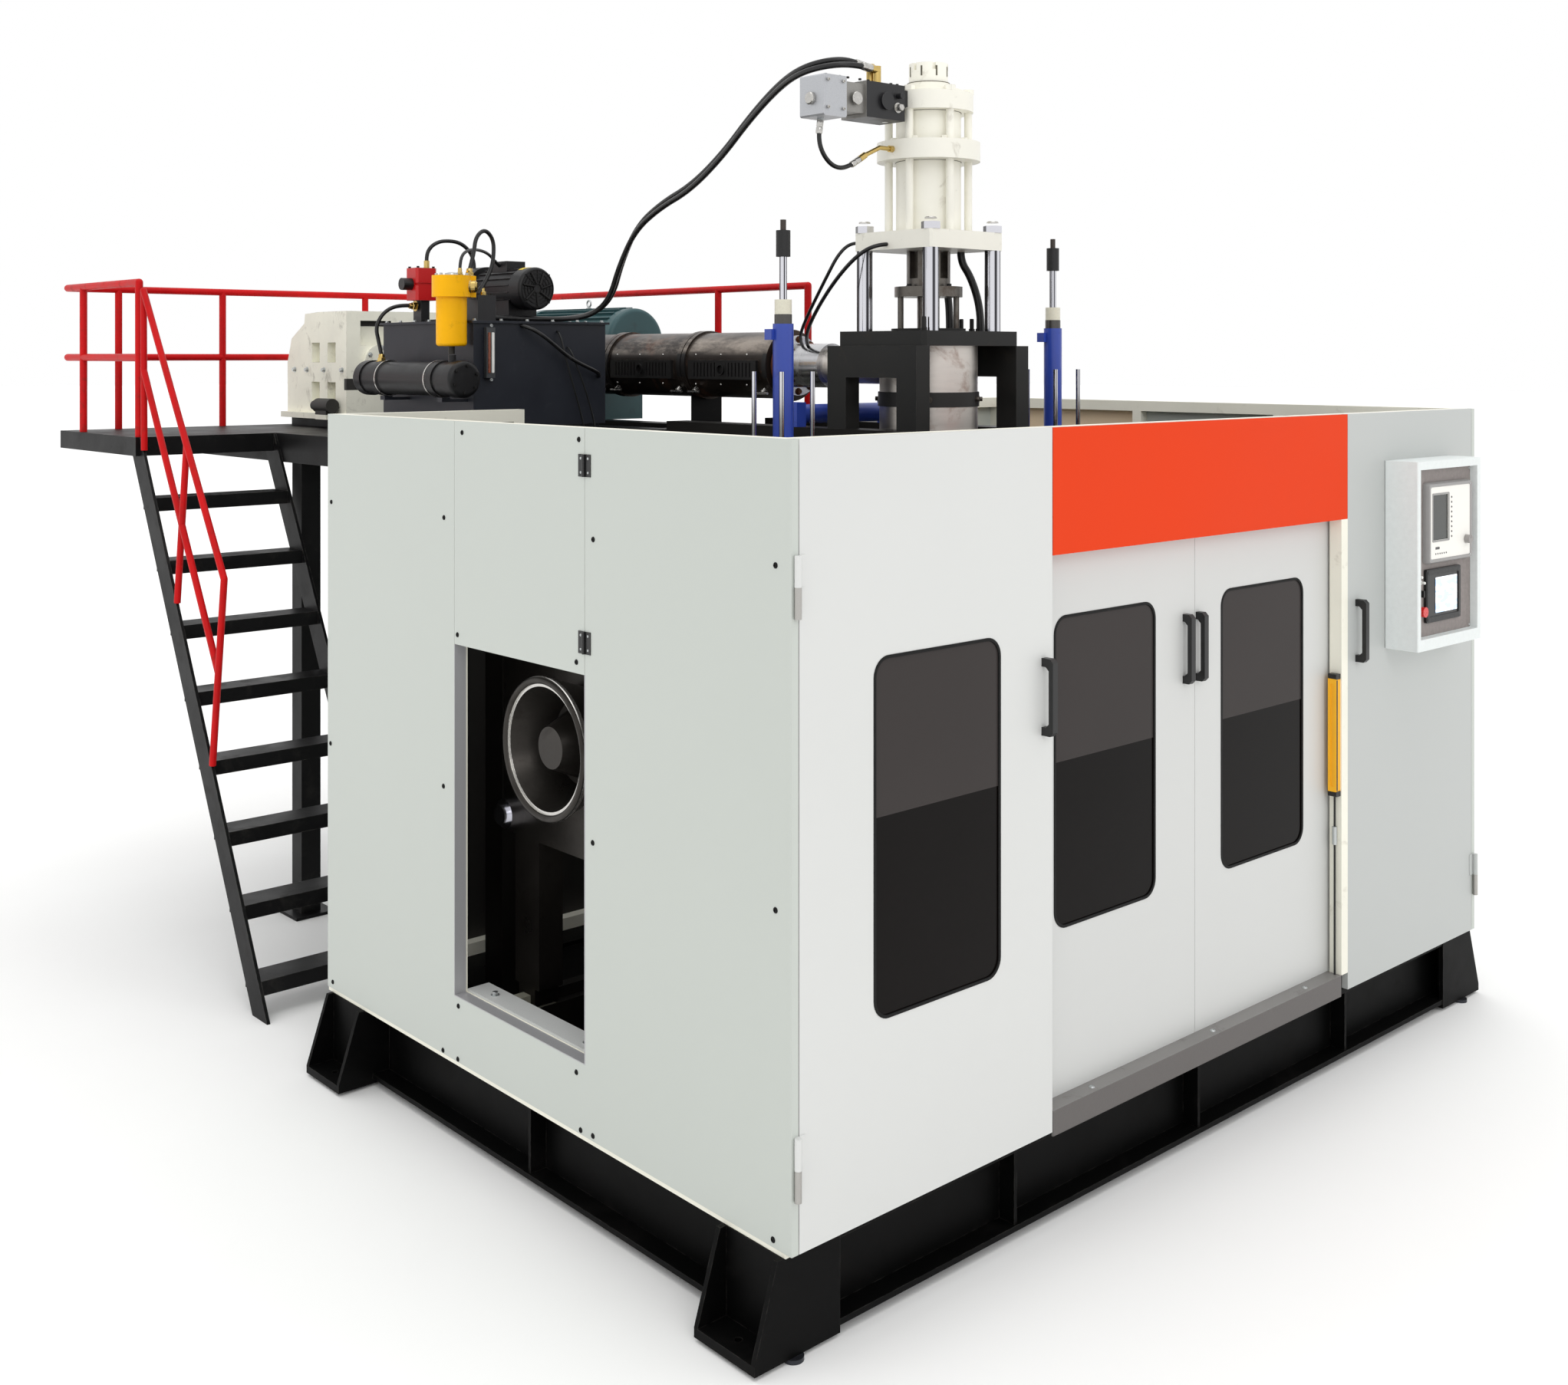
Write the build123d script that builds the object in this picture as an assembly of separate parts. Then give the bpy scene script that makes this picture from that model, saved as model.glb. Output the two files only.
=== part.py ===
from build123d import *
import os
from math import cos, pi, radians, sin, sqrt, tan

# Blow moulding machine with an accumulator head. Millimetres, +Z up.
# Origin: floor level, at the centre of the four anchor holes. The operator's side faces -Y.
# The extruder stands behind, towards +Y, and the stair climbs along the -X side.

# Sheet metal, tubes and general clearances
SKIN = 3.0
TUBE = 50.0
LEAF = 25.0
RETURN = 45.0
CLEAR = 0.3
FIT = 0.05

# Base and feet
ENC_X = 3908.0
ENC_Y = 2650.0
X_END = ENC_X / 2
Y_END = ENC_Y / 2
PAD_HEIGHT = 12.0
PAD_RADIUS = 30.0
PAD_AT = (45.0, 43.0)
FOOT_PLATE = 28.0
FOOT_X = 316.0
FOOT_Y = 256.0
FOOT_OUT = 104.0
FOOT_PROUD = 3.0
CHEEK_TOP_OUT = 22.0
BEAM_BOTTOM = 30.0
BEAM_HEIGHT = 262.0
BEAM_TOP = BEAM_BOTTOM + BEAM_HEIGHT
BEAM_FLANGE = 150.0
BEAM_INSET = 35.0
WEB = 12.0
FLANGE_T = 18.0
TRAY_T = 6.0
COLUMN_X = 1450.0
MIDDLE_BEAM_X = 650.0
STIFFENER_X = 980.0
STIFFENER_IN = 16.0
ANCHOR_OUT = 51.0
ANCHOR_IN = 160.0
ANCHOR_X = ENC_X + 2 * ANCHOR_OUT
ANCHOR_Y = ENC_Y - 2 * ANCHOR_IN
ANCHOR_R = 11.0
GUSSET = 16.0

# Enclosure
PANEL_LIFT = 15.0
PANEL_HEIGHT = 2200.0
PANEL_BOTTOM = BEAM_TOP + PANEL_LIFT
PANEL_TOP = PANEL_BOTTOM + PANEL_HEIGHT
DOOR_GAP = 28.0
SEAM = 2.0
SERVICE_WIDTH = 1102.0
SERVICE_EDGE = SERVICE_WIDTH - X_END
CABINET_WIDTH = 1032.0
CABINET_EDGE = X_END - CABINET_WIDTH
POST_WIDTH = 46.0
POST_BACK = 10.0
HEADER_HEIGHT = 400.0
HEADER_BOTTOM = PANEL_TOP - HEADER_HEIGHT
HEADER_FOOT_IN = 12.0
FRONT_TUBE_Y = -Y_END + LEAF + SKIN + TUBE / 2

# Openings and seams of the -X end, the back and the +X end
END_SEAM_FRONT = -372.0
END_SEAM_REAR = 400.0
STRIP_HEIGHT = 225.0
HATCH_HEIGHT = 768.0
OPENING_BOTTOM = PANEL_BOTTOM + STRIP_HEIGHT
OPENING_TOP = PANEL_TOP - HATCH_HEIGHT
LEDGE_W = 86.0
LEDGE_RISE = 10.0
LEDGE_T = 8.0
REAR_TALL_WIDTH = 860.0
REAR_DROP = 257.0
REAR_LOW_TOP = PANEL_TOP - REAR_DROP
RIGHT_SEAMS = (-420.0, 370.0)

# Sliding doors
SLIDE_RECESS = 60.0
SLIDE_LEAF = 35.0
SLIDE_FRONT = -Y_END + SLIDE_RECESS
SLIDE_BACK = SLIDE_FRONT + SLIDE_LEAF
SILL_BOTTOM = BEAM_TOP
SILL_HEIGHT = 80.0
SILL_TOP = SILL_BOTTOM + SILL_HEIGHT
SLIDE_HIDDEN = 53.0
SLIDE_TOP = HEADER_BOTTOM + SLIDE_HIDDEN
SLIDE_GAP = 2.0
SLIDE_OVERLAP = 26.0
TRACK_BACK = 20.0
TRACK_FRONT = 8.0
TRACK_HEIGHT = 44.0
TRACK_GAP = 1.0
SILL_WALL = 6.0
HANGER_X = (-762.0, 0.0, 782.0)
HANGER_W = 60.0
HANGER_H = 30.0

# Windows
WINDOW_W = 533.0
WINDOW_CORNER = 55.0
WINDOW_RIM = 28.0
WINDOW_SEAT = 12.0
GLASS = 6.0
GLASS_PLAY = 0.5
SERVICE_WINDOW_MARGIN = 288.0
LEFT_WINDOW_MARGIN = 84.0
RIGHT_WINDOW_MARGIN = 178.5
SERVICE_WINDOW_X = -X_END + DOOR_GAP + SERVICE_WINDOW_MARGIN + WINDOW_W / 2
LEFT_WINDOW_X = SERVICE_EDGE + LEFT_WINDOW_MARGIN + WINDOW_W / 2
RIGHT_WINDOW_X = CABINET_EDGE - POST_WIDTH - RIGHT_WINDOW_MARGIN - WINDOW_W / 2
SERVICE_WINDOW_LOW = PANEL_BOTTOM + 554.0
SERVICE_WINDOW_H = 1018.0
SLIDE_WINDOW_LOW = SILL_TOP + 533.0
SLIDE_WINDOW_H = 991.0
SERVICE_WINDOW_Z = (SERVICE_WINDOW_LOW, SERVICE_WINDOW_LOW + SERVICE_WINDOW_H)
SLIDE_WINDOW_Z = (SLIDE_WINDOW_LOW, SLIDE_WINDOW_LOW + SLIDE_WINDOW_H)

# Handles
HANDLE_LENGTH = 240.0
HANDLE_OUT = 46.0
HANDLE_BAR = 17.0
HANDLE_WIDTH = 24.0
HANDLE_BEND = 12.0
HANDLE_FOOT = 26.0
HANDLE_RISE = 1367.0
SLIDE_HANDLE_RISE = 1411.0
HANDLE_Z = PANEL_BOTTOM + HANDLE_RISE
SLIDE_HANDLE_Z = PANEL_BOTTOM + SLIDE_HANDLE_RISE
HANDLE_INSET = 42.0
CABINET_HANDLE_INSET = 66.0
SEAM_HANDLES = (-61.0, 17.0)
SLIDE_HANDLE_OUT = 38.0

# Corner pin hinges of the two swinging doors
HINGE_R = 10.0
HINGE_HALF = 86.0
HINGE_FROM_TOP = 399.0
HINGE_FROM_FOOT = 234.0
HINGE_Z = (PANEL_TOP - HINGE_FROM_TOP, PANEL_BOTTOM + HINGE_FROM_FOOT)
HINGE_OUT = HINGE_R + CLEAR
HINGE_PIN_R = 5.0
HINGE_PIN_LENGTH = 74.0
HINGE_WEB = 6.0
HINGE_WING = 20.0

# Butt hinges of the end hatch
HATCH_HINGE_Z = (PANEL_TOP - 117.0, OPENING_TOP + 101.0)
HATCH_HINGE_HEIGHT = 70.0
HATCH_LEAF_W = 32.0
HATCH_LEAF_T = 3.0
HATCH_KNUCKLE_R = 5.0
HATCH_KNUCKLE_GAP = 0.5
HATCH_PIN_R = 2.5

# Control box on the cabinet door
BOX_FROM_EDGE = 278.0
BOX_WIDTH = 522.0
BOX_FROM_FOOT = 1273.0
BOX_HEIGHT = 738.0
BOX_X = (CABINET_EDGE + BOX_FROM_EDGE, CABINET_EDGE + BOX_FROM_EDGE + BOX_WIDTH)
BOX_Z = (PANEL_BOTTOM + BOX_FROM_FOOT, PANEL_BOTTOM + BOX_FROM_FOOT + BOX_HEIGHT)
BOX_DEPTH = 140.0
BOX_RECESS = 30.0
BOX_MARGIN = (22.0, 32.0, 45.0, 33.0)
BOX_CORNER = 6.0
UNIT_W = 335.0
UNIT_H = 290.0
UNIT_X = (BOX_X[0] + 105.0, BOX_X[0] + 105.0 + UNIT_W)
UNIT_Z = (BOX_Z[1] - 101.0 - UNIT_H, BOX_Z[1] - 101.0)
UNIT_OUT = 24.0
SCREEN_W = 125.0
SCREEN_H = 178.0
SCREEN_LEFT = 26.0
SCREEN_TOP = 35.0
BEZEL = 4.0
TOUCH_W = 278.0
TOUCH_H = 206.0
TOUCH_X = (BOX_X[0] + 100.0, BOX_X[0] + 100.0 + TOUCH_W)
TOUCH_Z = (BOX_Z[0] + 102.0, BOX_Z[0] + 102.0 + TOUCH_H)
TOUCH_OUT = 14.0
TOUCH_FRAME = (20.0, 22.0)
TOUCH_GLASS_IN = 2.0
SWITCH_X = BOX_X[0] + 62.0
SELECTOR_Z = BOX_Z[0] + 220.0
SELECTOR_R = 14.0
SELECTOR_GRIP = 8.0
SELECTOR_DEPTH = 12.0
STOP_Z = BOX_Z[0] + 150.0
STOP_R = 20.0
STOP_NECK_R = 12.0
STOP_HEAD = 16.0
STOP_NECK = 8.0
STOP_TRAVEL = 6.0
DIAL_R = 17.0
DIAL_DEPTH = 22.0
DIAL_FLOOR = 6.0
DIAL_MARK = 3.0
DIAL_X = UNIT_X[1] - 38.0
DIAL_Z = UNIT_Z[0] + 66.0
KNOB_STEM = 5.0
STEM_LENGTH = 20.0

# Light curtain on the post beside the sliding doors
CURTAIN_LOW = SILL_TOP + 690.0
CURTAIN_HEIGHT = 450.0
CURTAIN_Z = (CURTAIN_LOW, CURTAIN_LOW + CURTAIN_HEIGHT)
CURTAIN_W = 30.0
CURTAIN_D = 34.0
CURTAIN_BACK = 6.0
CURTAIN_LEAD_R = 4.0
CURTAIN_SLOT = 12.0
CURTAIN_PLUG_R = 9.0
CURTAIN_PLUG_LOW = SILL_TOP + 496.0
CURTAIN_PLUG_LENGTH = 68.0

# Extruder axis, deck and bed levels
AXIS_RISE = 181.0
AXIS_Z = PANEL_TOP + AXIS_RISE
AXIS_HEIGHT = 338.0
DECK_TOP = AXIS_Z - AXIS_HEIGHT
BED_HEIGHT = 45.0
BED_TOP = DECK_TOP + BED_HEIGHT

# Gallery and landing
DECK_PLATE = 6.0
GALLERY_START = 20.0
GALLERY_LENGTH = 2840.0
GALLERY_X = (-1280.0, 650.0)
GALLERY_Y = (Y_END + GALLERY_START, Y_END + GALLERY_START + GALLERY_LENGTH)
LANDING_OUT = 20.0
LANDING_DEPTH = 993.0
LANDING_X0 = -X_END - LANDING_OUT
LANDING_Y0 = GALLERY_Y[1] - LANDING_DEPTH
LANDING_EDGE = 88.0
GALLERY_EDGE = 140.0
EDGE_W = 60.0
POST = 100.0
POST_PLATE = 200.0
POST_PLATE_T = 15.0
POST_X = (GALLERY_X[0] + 90.0, GALLERY_X[1] - 60.0)
POST_Y = (GALLERY_Y[0] + 95.0, LANDING_Y0 - 142.0, GALLERY_Y[1] - 90.0)
REAR_POST_X = -300.0
FRONT_POSTS = [(x, y) for y in POST_Y[:2] for x in POST_X]
GALLERY_POSTS = FRONT_POSTS + [(REAR_POST_X, POST_Y[2]), (POST_X[1], POST_Y[2])]

# Railing
RAIL_R = 18.0
RAIL_HEIGHT = 742.0
RAIL_MID = 372.0
RAIL_INSET = 28.0
RAIL_POSTS_LEFT = (LANDING_Y0 + 30.0, GALLERY_Y[1] - 245.0)
RAIL_POSTS_BACK = (-1690.0, -1130.0, -280.0)
RAIL_POSTS_RIGHT = (GALLERY_Y[1] - 225.0, GALLERY_Y[0] + 725.0)
RAIL_FRONT_END = GALLERY_Y[0] + 40.0

# Stair
STAIR_RISE = 275.0
STAIR_STEPS = 8
STAIR_SLOPE = 1.753
STAIR_TOP_GAP = 4.0
STRINGER_T = 14.0
STRINGER_DEPTH = 138.0
STAIR_WIDTH = 646.0
STAIR_X0 = -X_END
TREAD_DEPTH = 150.0
TREAD_LIP = 62.0
TREAD_T = 6.0
HANDRAIL_R = 15.0
HANDRAIL_TOP = (LANDING_Y0 - 26.0, DECK_TOP + 684.0)
HANDRAIL_LOW = (LANDING_Y0 - 911.0, DECK_TOP - 574.0)
HANDRAIL_FOOT = DECK_TOP - 1390.0
HANDRAIL_MID = DECK_TOP - 728.0
HANDRAIL_START = DECK_TOP - 60.0

# Extruder
BARREL_R = 88.0
BORE_R = 50.0
SCREW_CLEAR = 0.3
SCREW_ROOT = 33.0
SCREW_FLIGHT = 12.0
SCREW_PITCH = 200.0
SCREW_POINT = 60.0
SCREW_TIP_R = 6.0
SCREW_TIP_GAP = 20.0
BORE_IN = 40.0
BARREL_FRONT = 560.0
MELT_R = 20.0
ADAPTER_LENGTH = 215.0
ADAPTER_R = 95.0
FLANGE_R = 132.0
FLANGE_LENGTH = 36.0
SHROUD_R = 148.0
SHROUD_T = 4.0
ZONE_LENGTH = 590.0
ZONE_COUNT = 4
ZONE_RING = 26.0
ZONE_RING_R = 158.0
ZONE_GAP = 6.0
BLOWER_LENGTH = 470.0
BLOWER_H = 86.0
BLOWER_OUT = 14.0
BLOWER_DROP = 20.0
BLOWER_SLOT_H = 62.0
BLOWER_SLOT_W = 7.0
BLOWER_SLOT_DEEP = 6.0
BLOWER_PITCH = 24.0
BLOWER_MARGIN = 40.0
BLOWER_PORT_R = 24.0
PORT_OUT = 8.0
ZONE_WALL = 20.0
FEED_LENGTH = 200.0
FEED_HALF = 150.0
FEED_THROAT_R = 45.0
FEED_INNER_R = 38.0
FEED_SEAT = 60.0
GEARBOX_X = (-785.0, 560.0)
GEARBOX_LENGTH = 640.0
GEARBOX_Y = (GALLERY_Y[1] - 770.0, GALLERY_Y[1] - 770.0 + GEARBOX_LENGTH)
GEARBOX_HEIGHT = 570.0
GEARBOX_TOP = BED_TOP + GEARBOX_HEIGHT
GEARBOX_TAIL = 40.0
GEARBOX_BACK = ((-10.0, 140.0), (-160.0, 60.0), (-170.0, 8.0), (-330.0, 0.0))
GEARBOX_SHOULDER = 270.0
POCKET_ROWS = (90.0, 300.0)
POCKET_COLUMNS = (120.0, 300.0)
GEARBOX_SLOT = ((80.0, 260.0), (390.0, 520.0))
GEARBOX_DRAIN = ((70.0, 300.0), (200.0, 214.0))
SLOT_DEEP = 40.0
BEARING_COVER_R = 95.0
BEARING_COVER_AT = (190.0, 300.0)
BEARING_COVER_T = 26.0
GEARBOX_FOOT = (40.0, 30.0)
OIL_PUMP_R = (38.0, 26.0)
OIL_PUMP_Y = (60.0, 220.0, 262.0)
OIL_PUMP_OUT = 48.0
OIL_PUMP_RISE = 72.0
OIL_PUMP_SEAT = 28.0
POCKET = (90.0, 105.0)
POCKET_DEEP = 45.0
BED_BEAM = 120.0
BED_X = 230.0
PLINTH_IN = 15.0
PLINTH_OUT = 20.0
SADDLE_HALF = 90.0
SADDLE_GRIP = 30.0
MOTOR_X = 345.0
MOTOR_Z = AXIS_Z + 112.0
MOTOR_R = 172.0
MOTOR_LENGTH = 850.0
MOTOR_SNOUT = 165.0
MOTOR_SNOUT_R = 110.0
MOTOR_COWL = 70.0
MOTOR_BELL = 50.0
MOTOR_FINS = 28
MOTOR_FIN_H = 14.0
MOTOR_FIN_T = 5.0
MOTOR_Y = (GEARBOX_Y[0] - MOTOR_SNOUT - MOTOR_LENGTH, GEARBOX_Y[0] - MOTOR_SNOUT)

# Head, from its side frames up to the cap
SIDE_RISE = 82.0
SIDE_TOP = AXIS_Z + SIDE_RISE
SIDE_HEIGHT = 330.0
HEAD_BASE = SIDE_TOP - SIDE_HEIGHT
SIDE_BRIDGE = 125.0
SIDE_OPEN = SIDE_TOP - SIDE_BRIDGE
SIDE_X = 330.0
SIDE_Y = 245.0
SIDE_T = 75.0
SIDE_LEG = 105.0
PLATE_T = 58.0
PLATE_TOP = SIDE_TOP + PLATE_T
PLATE_HALF = 240.0
PLATE_IN = 50.0
PLATE_CHAMFER = 16.0
PLATE_STEP_R = 150.0
PLATE_STEP = 12.0
HEAD_R = 198.0
HEAD_CHAMBER = 94.0
HEAD_CHAMBER_Z = (SIDE_TOP - 210.0, SIDE_TOP - 30.0)
HEAD_RING = (SIDE_TOP - 242.0, SIDE_TOP - 184.0)
HEAD_RING_R = 204.0
HEAD_LENGTH = 540.0
HEAD_LOW = SIDE_TOP - HEAD_LENGTH
DIE_R = 110.0
DIE_FLARE = 50.0
DIE_HEIGHT = 135.0
DIE_LOW = HEAD_LOW - DIE_HEIGHT
DIE_BORE = 42.0
TIE_AT = 182.0
TIE_R = 32.0
TIE_NUT = 66.0
TIE_NUT_H = 28.0
TIE_LENGTH = 325.0
BASE_PLATE_T = 72.0
BASE_PLATE = (PLATE_TOP + TIE_LENGTH, PLATE_TOP + TIE_LENGTH + BASE_PLATE_T)
BASE_HALF = 212.0
BASE_CHAMFER = 8.0
CYL_R = 131.0
CYL_BORE = 90.0
LOWER_TUBE = 285.0
FLANGE_MID_T = 77.0
FLANGE_MID = (BASE_PLATE[1] + LOWER_TUBE, BASE_PLATE[1] + LOWER_TUBE + FLANGE_MID_T)
FLANGE_MID_R = 208.0
UPPER_TUBE = 121.0
FLANGE_TOP_T = 74.0
FLANGE_TOP = (FLANGE_MID[1] + UPPER_TUBE, FLANGE_MID[1] + UPPER_TUBE + FLANGE_TOP_T)
FLANGE_TOP_R = 180.0
CYL_STEP = (12.0, 14.0)
NECK_R = 85.0
NECK_HEIGHT = 44.0
NECK_TOP = FLANGE_TOP[1] + NECK_HEIGHT
CAP_R = 79.0
CAP_HEIGHT = 80.0
CAP_TOP = NECK_TOP + CAP_HEIGHT
CAP_SLOT_W = 14.0
CAP_SLOT_DEEP = 29.0
CYL_RODS = 6
CYL_ROD_R = 16.0
CYL_ROD_AT = 160.0
CYL_ROD_TURN = 15.0
CYL_NUT = 40.0
CYL_NUT_H = 20.0

# Injection piston with its coupling, disc and studs
PISTON_ROD_R = 45.0
PISTON_STROKE = 110.0
PISTON_GAP = 20.0
PISTON_T = 60.0
RAM_T = 45.0
RAM_GAP = 5.0
COUPLING_GAP = 3.0
COUPLING_R = 88.0
COUPLING_LENGTH = 139.0
COUPLING_TOP = BASE_PLATE[0] - COUPLING_GAP
COUPLING_Z = (COUPLING_TOP - COUPLING_LENGTH, COUPLING_TOP)
COUPLING_SLOT = (60.0, 22.0, 30.0)
DISC_R = 137.0
DISC_T = 41.0
DISC_TOP = COUPLING_Z[0] - COUPLING_GAP
DISC_Z = (DISC_TOP - DISC_T, DISC_TOP)
STUD_R = 12.0
STUD_AT = 112.0
STUD_LENGTH = 160.0
STUD_ANGLES = (45, 135, 225, 315)
STUD_CLEAR = 2.0

# Valve block
VALVE_HEIGHT = 140.0
VALVE_DROP = 58.0
VALVE_Z = (FLANGE_TOP[0] - VALVE_DROP, FLANGE_TOP[0] - VALVE_DROP + VALVE_HEIGHT)
VALVE_STEPS = (-210.0, -422.0, -525.0, -645.0)
VALVE_HALF = 70.0
VALVE_KNOB_R = 34.0
VALVE_SEAT_IN = 12.0
VALVE_NECK_IN = 20.0
PILOT_IN = 13.0

# Hydraulic unit
TANK_X = (-1091.0, -387.0)
TANK_Y = (1675.0, 2465.0)
TANK_LEG = 70.0
TANK_HEIGHT = 464.0
TANK_Z = (DECK_TOP + TANK_LEG, DECK_TOP + TANK_LEG + TANK_HEIGHT)
TANK_FOOT = 60.0
TANK_FOOT_IN = 50.0
TANK_LID = (14.0, 10.0)
GAUGE_W = 44.0
GAUGE_OUT = 30.0
GAUGE_IN = 70.0
GAUGE_DROP = (30.0, 250.0)
PUMP_MOTOR_X = -750.0
PUMP_MOTOR_RISE = 148.0
PUMP_MOTOR_Z = TANK_Z[1] + PUMP_MOTOR_RISE
PUMP_MOTOR_R = 96.0
PUMP_MOTOR_LENGTH = 410.0
PUMP_MOTOR_Y = (TANK_Y[0] + 15.0, TANK_Y[0] + 15.0 + PUMP_MOTOR_LENGTH)
PUMP_SHELL = 6.0
PUMP_COWL = 90.0
PUMP_COWL_ROUND = 16.0
PUMP_FIN = (5.0, 14.0)
PUMP_FIN_START = 95.0
PUMP_FIN_END = 25.0
PUMP_FIN_TURN = 20
PUMP_FEET = (150.0, 120.0, 60.0)
TERMINAL_X = (-40.0, 60.0)
TERMINAL_Y = (190.0, 310.0)
TERMINAL_H = 34.0
BELL_R = 112.0
BELL_LENGTH = 70.0
PUMP_R = 70.0
PUMP_LENGTH = 130.0
PUMP_REAR_R = 50.0
PUMP_REAR = 40.0
MANIFOLD_X = (-1060.0, -968.0)
MANIFOLD_Y = (TANK_Y[0] + 15.0, TANK_Y[0] + 155.0)
MANIFOLD_TOP = TANK_Z[1] + 112.0
RISER_AT = (-1014.0, 2250.0)
RISER_TOP = TANK_Z[1] + 101.0
RISER_W = (44.0, 70.0)
RELIEF_SIZE = (108.0, 100.0, 150.0)
SOLENOID_R = 28.0
SOLENOID_LENGTH = 50.0
RELIEF_CHAMFER = 10.0
RELIEF_GROOVE = (12.0, 6.0)
FILTER_X = -1172.0
FILTER_Y = 1722.0
FILTER_HEAD_T = 93.0
FILTER_HEAD = (RISER_TOP, RISER_TOP + FILTER_HEAD_T)
FILTER_BOWL_LENGTH = 213.0
FILTER_BOWL = FILTER_HEAD[0] - FILTER_BOWL_LENGTH
FILTER_PLUG = 34.0
FILTER_PLUG_R = 14.0
FILTER_R = 76.0
FILTER_HEAD_R = 84.0
FILTER_BOWL_R = 66.0
FILTER_REACH = 26.0
COOLER_GAP = 28.0
COOLER_X = -1200.0
COOLER_R = 80.0
COOLER_Z = FILTER_BOWL - FILTER_PLUG - COOLER_GAP - COOLER_R
COOLER_Y = (1560.0, 2420.0)
COOLER_END = 70.0
COOLER_BAND = 42.0
COOLER_BAND_IN = 180.0
STRAP_HALF = 20.0
STRAP_DROP = 14.0
STRAP_T = 12.0

# Hoses and fittings
HOSE_R = 12.0
SMALL_HOSE_R = 9.0
FITTING = 36.0
FITTING_WALL = 4.0
FITTING_SHORT = 20.0

# Support frame inside the enclosure
COLUMN = 120.0
COLUMN_Y = 850.0
HEADER_BEAM = 140.0
HEAD_BEAM_H = 120.0
HEADER_BEAM_TOP = HEAD_BASE - HEAD_BEAM_H
HEAD_BEAM_W = 120.0
HEAD_BEAM_X = 292.0
HEAD_BEAM_BACK = 10.0
LIFT_BEAM_H = 80.0
LIFT_BEAM_TOP = HEADER_BEAM_TOP + LIFT_BEAM_H
LIFT_BEAM_W = 240.0
LIFT_X = 790.0

# Upright cylinders and seal carriages
LIFT_R = 39.0
LIFT_LENGTH = 450.0
LIFT_TOP = LIFT_BEAM_TOP + LIFT_LENGTH
LIFT_CAP_R = 33.0
LIFT_CAP_HEIGHT = 35.0
LIFT_CAP = LIFT_TOP + LIFT_CAP_HEIGHT
LIFT_FOOT = (100.0, 20.0)
COLLAR_R = 32.0
COLLAR_HEIGHT = 55.0
COLLAR_TOP = LIFT_CAP + COLLAR_HEIGHT
LIFT_STROKE = 150.0
LIFT_ROD_R = 14.0
SLEEVE_R = 27.0
SLEEVE_LENGTH = 98.0
SLEEVE_LOW = COLLAR_TOP + LIFT_STROKE + 10.0
SLEEVE_Z = (SLEEVE_LOW, SLEEVE_LOW + SLEEVE_LENGTH)
TIP_R = 11.0
TIP_HEIGHT = 40.0
LIFT_TIP = SLEEVE_Z[1] + TIP_HEIGHT
GUIDE_R = 9.5
GUIDE_AT = 77.0
GUIDE_HEIGHT = 272.0
GUIDE_TOP = LIFT_BEAM_TOP + GUIDE_HEIGHT
YOKE_T = 27.0
YOKE_DROP = 58.0
YOKE_Z = (HEADER_BEAM_TOP - YOKE_DROP - YOKE_T, HEADER_BEAM_TOP - YOKE_DROP)
YOKE_HALF = 105.0

# Cross cylinder that rests on the head beams
CROSS_R = 40.0
CROSS_X = (-352.0, 262.0)
CROSS_Y = 452.0
CROSS_HEAD = (100.0, 50.0)
CROSS_ROD_R = 16.0
CROSS_ROD = 90.0

# Clamp
CLAMP_HEIGHT = 1138.0
CLAMP_Z = BEAM_TOP + CLAMP_HEIGHT
BED_RAIL_Y = 350.0
BED_RAIL_W = 45.0
BED_RAIL_H = 40.0
CLAMP_BED_H = 150.0
CLAMP_BED_W = 110.0
CLAMP_BED_END = 780.0
RAIL_TOP = BEAM_TOP + CLAMP_BED_H + BED_RAIL_H
PLATEN_T = 80.0
PLATEN_Y = 500.0
PLATEN_Z = 400.0
PLATEN_CHAMFER = 20.0
PLATEN_FACE = 250.0
PLATEN_FOOT = 170.0
PLATEN_LEG = 150.0
SHOE_T = 34.0
BLOCK_H = 62.0
BLOCK_W = 100.0
BLOCK_GRIP = 6.0
TIE_BAR_R = 35.0
TIE_BAR_Y = 420.0
TIE_BAR_Z = 320.0
TIE_BAR_NUT = 52.0
TIE_BAR_NUT_T = 50.0
TIE_BAR_END = 70.0
END_PLATE_X = (-1690.0, -1590.0)
CLAMP_BED_START = END_PLATE_X[0] - 90.0
HUB_R = 240.0
HUB_RIM = 26.0
HUB_OUT = 164.0
HUB_NECK = 55.0
HUB_WALL = 41.0
HUB_FLOOR = 20.0
CONE_R = (70.0, 130.0)
CONE_OUT = 140.0
CLAMP_CYL_R = 125.0
CLAMP_CYL_LENGTH = 710.0
CLAMP_CYL_FRONT = END_PLATE_X[1] + CLAMP_CYL_LENGTH
CLAMP_GLAND = (30.0, 60.0)
CLAMP_BORE = 90.0
CLAMP_ROD_R = 60.0
CLAMP_ROD_IN = 140.0
CLAMP_PISTON = 60.0
CLAMP_BOSS = (45.0, 50.0)
MOULD_BOLT = 250.0
MOULD_BOLT_R = 9.0

# Blow pin
PIN_R = 18.0
PIN_GUIDE_R = 46.0
PIN_FLANGE = (64.0, 24.0)
PIN_BASE = 160.0
PIN_BEARER_H = 60.0
PIN_PEDESTAL = 120.0
PIN_PEDESTAL_TOP = BEAM_TOP + 268.0
PIN_BORE_LOW = BEAM_TOP + 128.0
PIN_LOW = BEAM_TOP + 148.0
PIN_GUIDE_TOP = BEAM_TOP + 528.0
PIN_TOP = BEAM_TOP + 668.0
PIN_COLLAR = (30.0, 30.0)
PIN_TIP = (9.0, 40.0)

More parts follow.
